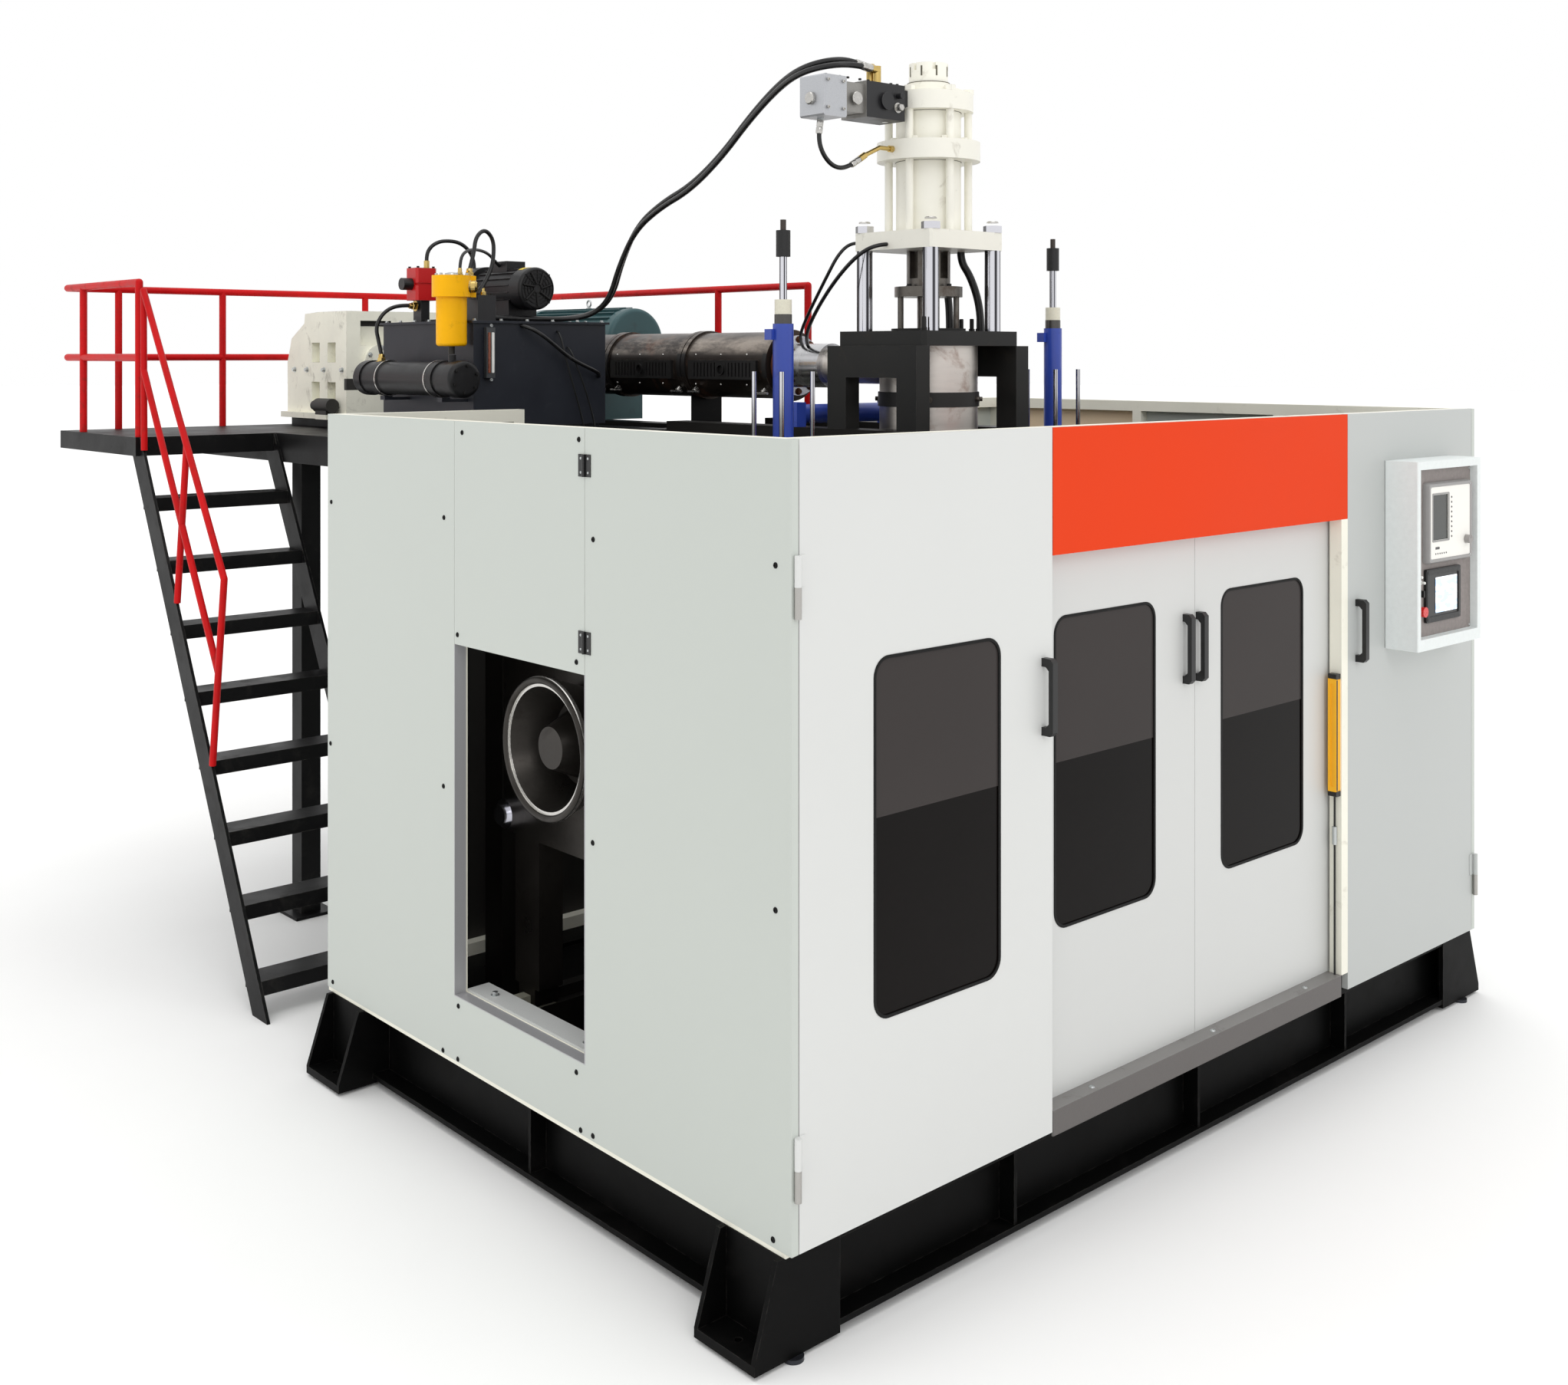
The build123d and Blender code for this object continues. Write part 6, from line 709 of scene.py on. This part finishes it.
brushed("barrel", "barrel_steel", rgb(196, 196, 198), (1, 8, 1), 0.24, 0.1, dirt=(0.1, rgb(120, 100, 84), 7),
    layers=[
    (box(y=(0.775, 0.812)), rgb(96, 52, 36), 0.65, 0.3),
    (box(y=(3.2, 3.42)), CREAM, 0.5, 0)])
paint("barrel_shrouds", "shroud_steel", HOT_BROWN, 0.34, (5, 0.28), (160, 0.12), 0.55,
    dirt=(0.4, rgb(120, 84, 66), 5), wear=(rgb(150, 140, 128), 0.003), stretch=(1, 0.35, 1), layers=[
    # painted highlight on the upper side of the heating covers
    (upper_side_highlight, rgb(158, 148, 138), 0.28, 0.85),
    (box((-0.2, -0.1485), None, (2.6, 2.74)), rgb(24, 23, 23), 0.5, 0.2)])
brushed("extruder_screw tie_bars", "chrome_bars", CHROME, (0.02, 1, 1), 0.16, 0.06)

# Head, lift cylinders and clamp

cream_machine = paint("injection_cylinder", "cream_machine_paint", CREAM, 0.42, (4, 0.03), (220, 0.1),
    dirt=(0.16, rgb(140, 128, 104), 10), wear=(CREAM_OLD, 0.002))
paint("head_side_frames head_plate", "head_black_paint", rgb(30, 30, 29), 0.5, (6, 0.16), (140, 0.16),
    wear=(rgb(74, 72, 66), 0.003), dirt=(0.2, rgb(58, 52, 45), 9), spec=0.3)
brushed("accumulator_head", "head_steel", rgb(214, 208, 202), (1, 1, 8), 0.4, 0.1,
    dirt=(0.4, rgb(150, 112, 92), 7), layers=[(box(z=(2.5279, 2.5861)), rgb(44, 43, 42), 0.5, 0.3)])
brushed("injection_piston", "worn_steel", rgb(104, 100, 95), (1, 1, 6), 0.36, 0.2,
    dirt=(0.4, rgb(70, 52, 42), 9))
brushed("head_tie_rods blow_pin", "chrome", CHROME, ALONG_Z, 0.12, 0.05, layers=[ROD_SHADE])
paint("lift_cylinders", "lift_paint", BLUE, 0.35, (8, 0.06), (200, 0.08), coat=0.2,
    dirt=(0.1, rgb(30, 40, 90), 20), layers=[
    (box(z=(2.8495, 2.8855)), rgb(84, 82, 80), 0.35, 0.8),
    (box(z=(2.8855, 2.95)), rgb(236, 232, 212), 0.45, 0),
    (box(y=(-0.3, 0.3), z=(2.39, 2.4201)), rgb(150, 148, 146), 0.4, 0.8)])
brushed("seal_carriage_left seal_carriage_right", "carriage_steel", CHROME, ALONG_Z, 0.14, 0.06, layers=[
    ROD_SHADE,
    (box(z=(3.0995, 3.1985)), PLASTIC, 0.5, 0),
    (box(z=(3.1985, 3.3)), rgb(70, 64, 60), 0.4, 0.7)])
paint("press_frame clamp_bed", "press_dark_paint", rgb(20, 18, 16), 0.5, (3, 0.16), (200, 0.15),
    dirt=(0.3, rgb(24, 21, 18), 5), spec=0.25, layers=[
    (box((-1.95, -1.6), (0.3, 0.6)), rgb(150, 148, 134), 0.5, 0)])
paint("left_platen right_platen blow_pin_stand", "press_frame_paint", CREAM_OLD, 0.5, (3, 0.06), (200, 0.12),
    dirt=(0.3, rgb(90, 82, 70), 5))
paint("clamp_end_plate", "clamp_steel", rgb(58, 55, 52), 0.32, (4, 0.2), (120, 0.2), 0.85,
    dirt=(0.35, rgb(34, 29, 25), 6), layers=[(hub_rim, rgb(206, 204, 200), 0.24, 0.9)])

# Hydraulics

paint("oil_tank", "tank_paint", SLATE, 0.45, (5, 0.12), (200, 0.12), dirt=(0.2, rgb(56, 58, 64), 12),
    wear=(rgb(84, 86, 92), 0.003), spec=0.35, layers=[
    (box((-1.0435, -0.9985), (1.6, 1.6655), (2.63, 2.858)), rgb(96, 98, 100), 0.35, 0.8)])
paint("oil_filter", "filter_paint", AMBER, 0.42, (9, 0.05), (220, 0.08), dirt=(0.2, rgb(150, 100, 20), 20),
    spec=0.15, layers=[
    (any_of(box(z=(2.7, 2.7718)), box((-1.094, -1.04), None, (3.0785, 3.3))),
     rgb(60, 58, 54), 0.4, 0.6)])
paint("pump_motor", "black_casting_paint", rgb(20, 20, 22), 0.45, (9, 0.2), (110, 0.3),
    dirt=(0.3, rgb(52, 50, 48), 14), wear=(CASTING_EDGE, 0.003), spec=0.35)
paint("oil_cooler", "cooler_paint", rgb(16, 16, 18), 0.4, (9, 0.2), (110, 0.3),
    dirt=(0.2, rgb(46, 44, 42), 14), wear=(CASTING_EDGE, 0.003), spec=0.35)
paint("valve_block", "valve_paint", rgb(22, 22, 25), 0.45, (14, 0.12), (200, 0.2), wear=(BLOCK_EDGE, 0.002),
    layers=[
    (box((-0.7, -0.5235), None, (3.6, 3.8)), rgb(186, 188, 192), 0.45, 0.5),
    (box((-0.5235, -0.4215), None, (3.6, 3.8)), rgb(150, 148, 144), 0.5, 0.7),
    (box((-0.46, -0.29), None, (3.791, 3.95)), BRASS, 0.3, 1),
    (any_of(box((-0.63, -0.57), None, (3.55, 3.6355)), port_rod), ZINC, 0.3, 1),
    (box((-0.4, -0.2045), (-0.06, 0.06), (3.47, 3.5995)), BRASS, 0.28, 1)])
paint("pressure_manifold", "manifold_paint", rgb(26, 26, 29), 0.45, (14, 0.15), (200, 0.2),
    wear=(BLOCK_EDGE, 0.003), layers=[
    (box((-1.069, -0.959), (2.199, 2.301), (2.9855, 3.1345)), RED, 0.35, 0),
    (box((-1.13, -1.0685), (2.2, 2.3), (2.98, 3.14)), PLASTIC, 0.4, 0),
    (box((-1.03, -0.94), (2.2, 2.3), (3.1345, 3.2)), BRASS, 0.28, 1)])
paint("main_hose_left main_hose_right valve_hose filter_hose cooler_hose", "hose_rubber", HOSE, 0.42,
    (20, 0.15), (260, 0.12), dirt=(0.2, rgb(62, 60, 58), 24))


# Looks of the small pieces

def screen_finish():
    """Lit display: a pale blue ground with lighter fields."""
    s = Shade("screen_glow")
    fields = s.span(s.noise(26, 1, 0.3, (1, 1, 2.4)), 0.44, 0.52)
    tone = s.mix(fields, rgb(186, 212, 240), rgb(244, 248, 255))
    s.set(Base_Color=tone, Emission_Color=tone, Emission_Strength=0.55, Roughness=0.2)
    return s.mat


# Each row: name, slot, colour, roughness, (cloud scale, variation), (grain scale, depth), metal, specular

SMALL_FINISHES = (
    ("gasket_rubber", "black_plastic", rgb(12, 12, 12), 0.55, (20, 0.1), (300, 0.08), 0, 0.2),
    ("zinc_bolts", "galvanised", ZINC, 0.34, (60, 0.14), (300, 0.1), 0.9),
    ("black_bolts", "black_plastic", rgb(22, 21, 21), 0.45, (60, 0.2), (300, 0.1), 0.5),
    ("rust_bolts", "brown_steel", rgb(104, 66, 46), 0.55, (50, 0.25), (300, 0.2), 0.6),
    ("bright_fitting", "bright_steel", rgb(192, 190, 186), 0.26, (50, 0.12), (300, 0.08), 0.95),
    ("brass", "bright_steel", BRASS, 0.26, (40, 0.12), (300, 0.08), 1),
    # dark colour of the cylinder's joint lines, also painted shade in its cap slots
    ("seam_dirt", "dark_steel", rgb(96, 92, 80), 0.6, (30, 0.3), (200, 0.1), 0, 0.2),
    ("dark_band", "dark_steel", rgb(88, 82, 76), 0.36, (30, 0.2), (200, 0.1), 0.8),
    ("liner_paint", "panel_plastic", rgb(134, 126, 123), 0.55, (60, 0.14), (240, 0.3)),
    ("bezel_plastic", "panel_plastic", rgb(150, 148, 147), 0.4, (20, 0.03), (400, 0.06)),
    ("key_plastic", "black_plastic", rgb(84, 82, 82), 0.45, (60, 0.05), (400, 0.06)),
    ("white_plastic", "panel_plastic", rgb(232, 232, 228), 0.35, (60, 0.03), (400, 0.05)),
    ("gauge_brown", "amber_paint", rgb(122, 62, 40), 0.25, (60, 0.15), (300, 0.05)),
    ("label_yellow", "amber_paint", rgb(226, 196, 20), 0.5, (50, 0.2), (300, 0.1)),
)
looks = {name: (finish_of(name, *values), slot) for name, slot, *values in SMALL_FINISHES}
looks.update(
    curtain_band=(looks["dark_band"][0], "yellow_paint"), black_plastic=(knob_black, "black_plastic"),
    cream=(cream_machine, "cream_paint"), screen=(screen_finish(), "panel_plastic"))


# Small pieces on the enclosure

FIXED_SCREWS = [
    (0.372, 0.5), (-0.327, 0.493), (0.375, 0.317), (-0.35, 0.32), (0.467, 2.169), (0.47, 1.236),
    (0.473, 0.318), (-0.416, 2.164), (-0.414, 1.228), (-0.415, 0.324), (-1.26, 2.162), (-1.26, 1.226),
    (-1.25, 0.328), (1.296, 2.17), (1.302, 1.243), (1.284, 0.332)]
HATCH_SCREWS = [(0.348, 2.468), (-0.34, 2.47), (0.378, 1.773), (-0.327, 1.774)]
HINGE_FACE = -1.957
HINGE_Y, HINGE_LEAF = -0.372, 0.019
WINDOW_WIDTH, WINDOW_CORNER = 0.533, 0.055
SEAL_SECTION = ((0.01, -0.0005), (0.01, 0.0018), (0.004, 0.0026), (-0.008, 0.0022), (-0.01, -0.0005))
LINER_FACE = -1.4364
DISPLAY_FACE = -1.459
BOX_DOOR = "cabinet_door"


def panel_screws():
    for name, places, body in (
            ("panel_screws", FIXED_SCREWS, "root"), ("hatch_screws", HATCH_SCREWS, "end_hatch")):
        part = Part(name)
        for y, z in places:
            part.button((END_FACE, y, z), LEFT, 0.0088, 0.004)
        part.done("gasket_rubber", body)


def hatch_hinge_screws():
    """Two small screws in each leaf of the hatch's hinges."""
    for name, side, body in (("hinge_screws_fixed", -1, "root"), ("hinge_screws_hatch", 1, "end_hatch")):
        heights = [z + rise for z in (1.84, 2.39) for rise in (-0.022, 0.022)]
        part = Part(name)
        part.each("button", (HINGE_FACE,), (HINGE_Y + side * HINGE_LEAF,), heights, LEFT, 0.0042, 0.0018)
        part.done("zinc_bolts", body)


def window_gaskets():
    """Thin black seal round each window."""
    for name, body, x, (low, high), face in (
            ("service_gasket", "service_door", -1.3715, (0.861, 1.879), LEAF_FACE),
            ("left_gasket", "left_door", -0.5015, (0.905, 1.896), SLIDING_FACE),
            ("right_gasket", "right_door", 0.431, (0.905, 1.896), SLIDING_FACE)):
        sections = [(WINDOW_WIDTH + grow, high - low + grow, WINDOW_CORNER + grow / 2, face - out)
                    for grow, out in SEAL_SECTION]
        Part(name).framed((x, (low + high) / 2), sections).done("gasket_rubber", body)


def sill_bolts():
    part = Part("sill_bolts")
    part.each("bolt", (-1.862,), (-0.255, 0.285), (0.539,), UP, 0.019, 0.01)
    part.each("button", (-0.62, 0.06, 0.66), (-1.298,), (0.372,), UP, 0.01, 0.004)
    part.done("zinc_bolts")


def curtain_window():
    """Dark sender window of the light curtain, with its end caps."""
    Part("curtain_window").framed((0.8535, 1.287), [
        (0.008, 0.42, 0.002, -1.3185), (0.008, 0.42, 0.002, -1.3202),
        (0.001, 0.413, 0.0004, -1.32), (0.001, 0.413, 0.0004, -1.3185)]).done("curtain_band")
    caps = Part("curtain_caps")
    for z in (1.064, 1.51):
        caps.framed((0.861, z), [(0.033, 0.02, 0.005, -1.286), (0.033, 0.02, 0.005, -1.3208),
                                 (0.004, 0.002, 0.0008, -1.3215), (0.004, 0.002, 0.0008, -1.286)])
    caps.done("black_plastic")


def controller_unit():
    """Bezel, display frame and keys of the upper unit in the control box."""
    Part("controller_bezel").framed((1.4725, 2.072), [
        (0.363, 0.318, 0.016, -1.436), (0.363, 0.318, 0.016, -1.45), (0.351, 0.306, 0.012, -1.462),
        (0.333, 0.288, 0.008, -1.4625), (0.327, 0.282, 0.006, -1.4585)]).done("bezel_plastic", BOX_DOOR)
    Part("display_frame").framed((1.3935, 2.093), [
        (0.139, 0.192, 0.005, -1.4585), (0.139, 0.192, 0.005, -1.4604), (0.127, 0.18, 0.003, -1.4604),
        (0.125, 0.178, 0.002, -1.4555)]).done("bezel_plastic", BOX_DOOR)
    keys = Part("controller_keys")
    heights = [2.012 + 0.0195 * i for i in range(9)]
    keys.each("button", (1.482,), (DISPLAY_FACE,), heights, FRONT, 0.0042, 0.002)
    row = [1.352 + 0.017 * i for i in range(6)]
    keys.each("button", row, (DISPLAY_FACE,), (1.95,), FRONT, 0.0035, 0.0018)
    keys.plate((1.366, 1.972), 0.034, 0.01, 0.002, -1.4588, -1.46).done("key_plastic", BOX_DOOR)


def operator_box():
    """Liner, touch panel, pins and screws in the control box on the cabinet door."""
    liner = Part("box_liner").plate((1.4555, 1.9555), 0.463, 0.657, 0.006, -1.4349, LINER_FACE)
    liner.done("liner_paint", BOX_DOOR)
    Part("touch_bezel").framed((1.439, 1.785), [
        (0.282, 0.21, 0.012, -1.436), (0.282, 0.21, 0.012, -1.447), (0.272, 0.2, 0.01, -1.4508),
        (0.242, 0.166, 0.006, -1.4508), (0.238, 0.162, 0.004, -1.4484)]).done("black_plastic", BOX_DOOR)
    screen = Part("touch_screen").plate((1.458, 1.785), 0.176, 0.14, 0.003, -1.4486, -1.4498, 0.0004)
    screen.done("screen", BOX_DOOR)
    pins = Part("panel_pins")
    for x, z in ((1.252, 1.866), (1.272, 1.842)):
        pins.turned((x, -1.436, z), FRONT, [
            (0.0085, 0), (0.0085, 0.004), (0.0055, 0.006), (0.0055, 0.019), (0.004, 0.021)], 20)
    pins.done("white_plastic", BOX_DOOR)
    screws = Part("box_screws")
    screws.each("button", (1.234, 1.677), (LINER_FACE,), (1.637, 2.274), FRONT, 0.0045, 0.0022)
    screws.each("button", (1.312, 1.633), (-1.4622,), (1.93, 2.214), FRONT, 0.0032, 0.0015)
    screws.done("zinc_bolts", BOX_DOOR)


# Small pieces on the hydraulics

TANK_X = (-1.079, -0.399)
TANK_Y = (1.687, 2.453)
TANK_TOP = 2.884
FILLER = (-0.52, 2.205)
FAN = (-0.75, 1.6885, 3.032)
FAN_Y = 1.689
FILTER_TOP = (-1.172, 1.722, 3.078)
COOLER_X, COOLER_Z = -1.2, 2.63


def tank_fittings():
    """Lid bolts, gauge screws, filler cap and the level gauge's strip and tube."""
    bolts = Part("tank_bolts")
    width, depth = TANK_X[1] - TANK_X[0], TANK_Y[1] - TANK_Y[0]
    along = [TANK_X[0] + width * i / 5 for i in range(6)]
    down = [TANK_Y[0] + depth * i / 6 for i in range(1, 6)]
    bolts.each("bolt", along, TANK_Y, (TANK_TOP,), UP, 0.013, 0.007)
    bolts.each("bolt", TANK_X, down, (TANK_TOP,), UP, 0.013, 0.007)
    bolts.each("socket", (-1.021,), (1.646,), (2.626, 2.862), FRONT, 0.007, 0.008).done("zinc_bolts")
    cap = Part("filler_cap").turned((*FILLER, TANK_TOP), UP, [
        (0.046, 0), (0.046, 0.008), (0.034, 0.01), (0.034, 0.03), (0.041, 0.032), (0.041, 0.052),
        (0.036, 0.06)], 32, 0.062)
    cap.round_of("bolt", (*FILLER, TANK_TOP + 0.008), UP, 0.0395, 6, 0, 0.007, 0.004).done("black_plastic")
    Part("gauge_strip").plate((-1.0105, 2.744), 0.014, 0.176, 0.003, 1.6455, 1.6436).done("white_plastic")
    tube = Part("gauge_tube").turned((-1.03, 1.643, 2.656), UP, [(0.0055, 0), (0.0055, 0.176)], 16)
    tube.done("gauge_brown")


def on_fan(reach, angle, y):
    """Point of the pump motor's fan end, at a distance from its axis."""
    return (FAN[0] + reach * cos(angle), y, FAN[2] + reach * sin(angle))


def motor_fittings():
    """Fan cowl grille, fan, band and eyebolt on the pump motor, and the eyebolt on the drive motor."""
    grille = Part("cowl_grille")
    for radius in (0.018, 0.034, 0.05, 0.066, 0.082):
        grille.ring(FAN, FRONT, radius, radius + 0.0035, 0.003)
    for angle in [pi * i / 4 for i in range(8)]:
        grille.tube([on_fan(0.018, angle, FAN[1]), on_fan(0.086, angle, FAN[1])], 0.0018, 8)
    grille.round_of("button", FAN, FRONT, 0.088, 4, 0.785, 0.004, 0.003)
    for angle in turns(7):
        grille.tube([on_fan(0.02, angle, FAN_Y), on_fan(0.078, angle + 0.25, FAN_Y)], 0.006, 8)
    grille.done("black_bolts")
    band = Part("motor_band")
    rings = [[band.bm.verts.new(on_fan(reach, radians(58 + 6 * i), y)) for i in range(11)]
             for reach, y in ((0.0958, 1.745), (0.0975, 1.746), (0.0975, 1.775), (0.0958, 1.776))]
    for low, high in zip(rings, rings[1:] + rings[:1]):
        for i in range(len(low) - 1):
            band.bm.faces.new((low[i], low[i + 1], high[i + 1], high[i]))
    for i in (0, -1):
        band.bm.faces.new([ring[i] for ring in rings])
    band.done("label_yellow")
    closed_turn = turns(28) + [2 * pi]
    eyes = Part("eyebolts")
    for x, y, z in ((FAN[0], 2.04, 3.125), (0.345, 2.83, 2.982)):
        eyes.turned((x, y, z), UP, [(0.016, 0), (0.016, 0.006), (0.009, 0.009), (0.009, 0.014)], 20)
        eyes.tube([(x, y + 0.017 * cos(turn), z + 0.03 + 0.017 * sin(turn)) for turn in closed_turn], 0.005)
    eyes.done("zinc_bolts")


def brass_unions():
    """Unions where the hoses leave the power unit, and the elbow on the filter's head."""
    ends = Part("brass_fittings")
    for spot, way, across in (
            ((-1.082, 1.722, 3.078), UP, 0.034), ((-1, 1.752, 2.996), UP, 0.034),
            ((-1.045, 2.25, 2.96), LEFT, 0.032), ((-1.2, 2.285, 2.704), UP, 0.034),
            ((-1.13, 1.722, 3.078), UP, 0.022)):
        ends.bolt(spot, way, across, 0.016)
        ends.turned(Vector(spot) + Vector(way) * 0.016, way,
                    [(across * 0.4, 0), (across * 0.42, 0.012), (across * 0.36, 0.018)], 24)
    ends.turned((-1.118, 1.673, 3.03), ACROSS_PHOTO, [
        (0.03, 0), (0.032, 0.008), (0.026, 0.014), (0.026, 0.032), (0.018, 0.04)])
    ends.done("brass")


def hose_ends():
    """Ribbed sleeves where the hoses leave the head and the valve block."""
    collars = Part("hose_ends")
    for spot, way, radius in (
            (HOSE_A[0], (-0.9, 0, 0.1), 0.0165), (HOSE_B[0], (-0.9, 0, 0.15), 0.0165),
            (VALVE_HOSE[0], (-0.15, 0, -1), 0.013), (VALVE_HOSE[-1], (-0.8, 0, -0.45), 0.013)):
        collars.turned(Vector(spot) - Vector(way).normalized() * 0.004, way, [
            (radius * 0.8, 0), (radius, 0.006), (radius, 0.026), (radius * 0.9, 0.03), (radius, 0.034),
            (radius, 0.052), (radius * 0.84, 0.056)], 24)
    collars.done("bright_fitting")


def hydraulic_bolts():
    """Bolts, clamps and screws on the filter, the cooler and the blocks."""
    bolts = Part("filter_bolts").round_of("bolt", FILTER_TOP, UP, 0.066, 6, 0.3, 0.013, 0.008)
    bolts.turned(FILTER_TOP, UP, [(0.03, 0), (0.028, 0.01), (0.012, 0.014)]).done("zinc_bolts")
    bands = Part("cooler_bands")
    for y in (1.775, 2.205):
        bands.ring((COOLER_X, y, COOLER_Z), FRONT, 0.0795, 0.0818, 0.009, 64)
    bands.done("bright_fitting")
    caps = Part("cooler_bolts")
    for y, way in ((1.56, FRONT), (2.42, REAR)):
        caps.round_of("bolt", (COOLER_X, y, COOLER_Z), way, 0.058, 6, 0.4, 0.011, 0.007)
    caps.done("black_bolts")
    screws = Part("block_screws")
    screws.each("socket", (-1.046, -0.982), (1.704, 1.816), (2.996,), UP, 0.007, 0.008)
    screws.each("socket", (-1.054, -0.974), (2.212, 2.288), (3.135,), UP, 0.0065, 0.008)
    screws.each("socket", (-0.235, -0.27, -0.395, -0.44, -0.505, -0.55, -0.622), (-0.052, 0.052), (3.79,),
                UP, 0.006, 0.007)
    screws.done("black_bolts")


# Small pieces on the head and the extruder

PLATE_TOP = 2.828
VALVE_FRONT = -0.07
BARREL_Z = 2.688
CAP_SLOTS = 8
ROD_SPOTS = (-0.182, 0.182)


def cylinder_fittings():
    """Flange bolts, joint lines, cap slots and rod caps of the injection cylinder."""
    bolts = Part("flange_bolts")
    bolts.round_of("bolt", (0, 0, 3.587), UP, 0.152, 8, pi / 8, 0.024, 0.014)
    bolts.round_of("bolt", (0, 0, 3.782), UP, 0.112, 8, pi / 8, 0.022, 0.013).done("cream")
    seams = Part("cylinder_seams")
    for z, inner, outer in ((3.8275, 0.07, 0.0862), (3.7825, 0.08, 0.0868), (3.7075, 0.12, 0.1328),
                            (3.588, 0.12, 0.133), (3.5095, 0.12, 0.1328), (3.2258, 0.12, 0.133)):
        seams.ring((0, 0, z), UP, inner, outer, 0.0024, 72)
    # The cap slots are thin dark bars on the cap: painted shade of the slots' recesses.
    for turn in turns(CAP_SLOTS, pi / CAP_SLOTS):
        spot = (0.0772 * cos(turn), 0.0772 * sin(turn))
        seams.tube([(*spot, 3.852), (*spot, 3.892)], 0.0042)
    seams.done("seam_dirt")
    caps = Part("rod_caps")
    cap = [(0.024, 0), (0.024, 0.004), (0.021, 0.007)]
    caps.each("turned", ROD_SPOTS, ROD_SPOTS, (3.2645,), UP, cap, 28, 0.008).done("bright_fitting")


def head_fittings():
    """Studs on the head plate, screws in the piston's disc, clamp bolts and the valve's details."""
    studs = Part("plate_studs")
    for x, y in ((0.236, -0.06), (0.244, -0.016), (0.238, 0.036), (-0.246, -0.206), (0.246, 0.206)):
        studs.turned((x, y, PLATE_TOP), UP, [(0.009, 0), (0.009, 0.052), (0.007, 0.055)], 18)
        studs.bolt((x, y, PLATE_TOP), UP, 0.022, 0.012)
    studs.done("black_bolts")
    screws = Part("disc_screws").round_of("socket", (0, 0, 3.008), UP, 0.112, 4, 0, 0.01, 0.01)
    screws.done("black_bolts", "injection_piston")
    clamp = Part("head_clamp_bolts")
    for turn in (3.6, 3.9, 5.1, 5.4, 0.8, 1.1, 2.2):
        way = (cos(turn), sin(turn), 0)
        clamp.bolt((0.203 * way[0], 0.203 * way[1], 2.557), way, 0.018, 0.012)
    clamp.done("dark_band")
    valve = Part("valve_details")
    valve.turned((-0.473, VALVE_FRONT, 3.715), FRONT, [(0.026, 0), (0.026, 0.004), (0.024, 0.006)], 32)
    valve.box((-0.495, -0.451), (-0.0768, -0.0758), (3.713, 3.717))
    valve.bolt((-0.25, VALVE_FRONT, 3.7), FRONT, 0.026, 0.022)
    valve.each("socket", (-0.545, -0.625), (VALVE_FRONT,), (3.668, 3.772), FRONT, 0.0065, 0.006)
    valve.turned((-0.646, 0, 3.705), LEFT, [(0.024, 0), (0.024, 0.012), (0.02, 0.016)])
    valve.done("bright_fitting")


def barrel_fittings():
    """Clamp lugs and screws on the heating covers, and the flange bolts."""
    lugs = Part("shroud_lugs")
    for low in (0.817, 1.413, 2.009, 2.605):
        for y in (low + 0.06, low + 0.53):
            lugs.turned((-0.12, y - 0.012, 2.578), (-0.72, 0, -0.69),
                        [(0.014, -0.004), (0.014, 0.012), (0.011, 0.016)], 16)
            lugs.tube([(-0.128, y - 0.04, 2.566), (-0.128, y + 0.04, 2.566)], 0.006)
        lugs.each("button", (-0.1622,), (low + 0.118, low + 0.295, low + 0.472), (2.735, 2.602), LEFT,
                  0.005, 0.003)
    lugs.done("bright_fitting")
    bolts = Part("barrel_flange_bolts")
    bolts.round_of("bolt", (0, 0.775, BARREL_Z), FRONT, 0.114, 10, 0.3, 0.02, 0.012)
    bolts.done("rust_bolts")


def gearbox_fittings():
    bolts = Part("gearbox_bolts")
    bolts.round_of("bolt", (-0.595, 3.389, 2.695), FRONT, 0.078, 6, 0.5, 0.016, 0.009)
    bolts.each("bolt", (-0.785,), (3.462, 3.665, 3.86, 4.005), (2.655,), LEFT, 0.02, 0.012)
    bolts.done("zinc_bolts")


for add_pieces in (
        panel_screws, hatch_hinge_screws, window_gaskets, sill_bolts, curtain_window, controller_unit,
        operator_box, tank_fittings, motor_fittings, brass_unions, hose_ends, hydraulic_bolts,
        cylinder_fittings, head_fittings, barrel_fittings, gearbox_fittings):
    add_pieces()


# Stage and lights

FLOOR_SIZE = 240
FLOOR_MIDDLE = (0, 30, 0)
WHITE = (1, 1, 1, 1)


def make_stage():
    """Near-white floor under a plain white world, shown without a filmic curve."""
    bpy.ops.mesh.primitive_plane_add(size=FLOOR_SIZE, location=FLOOR_MIDDLE)
    floor = bpy.context.object
    floor.name = "floor"
    floor.data.materials.append(
        finish_of("floor_finish", rgb(248, 248, 247), 0.85, (0.4, 0.006), (60, 0.02)))
    world = bpy.data.worlds.new("studio")
    bpy.context.scene.world = world
    world.use_nodes = True
    background = world.node_tree.nodes["Background"]
    background.inputs["Color"].default_value = WHITE
    background.inputs["Strength"].default_value = 1
    bpy.context.scene.view_settings.view_transform = "Standard"


def sun(name, towards, strength, spread):
    """Broad soft light from far away, shining along a direction; spread is in degrees."""
    light = bpy.data.lights.new(name, "SUN")
    light.energy = strength
    light.angle = radians(spread)
    lamp = place(name, light)
    lamp.rotation_euler = Vector(towards).to_track_quat("-Z", "Y").to_euler()


make_stage()
sun("overhead", (0, 0, -1), 0.62, 50)
sun("key", (0.35, 0.8, -0.5), 0.35, 25)
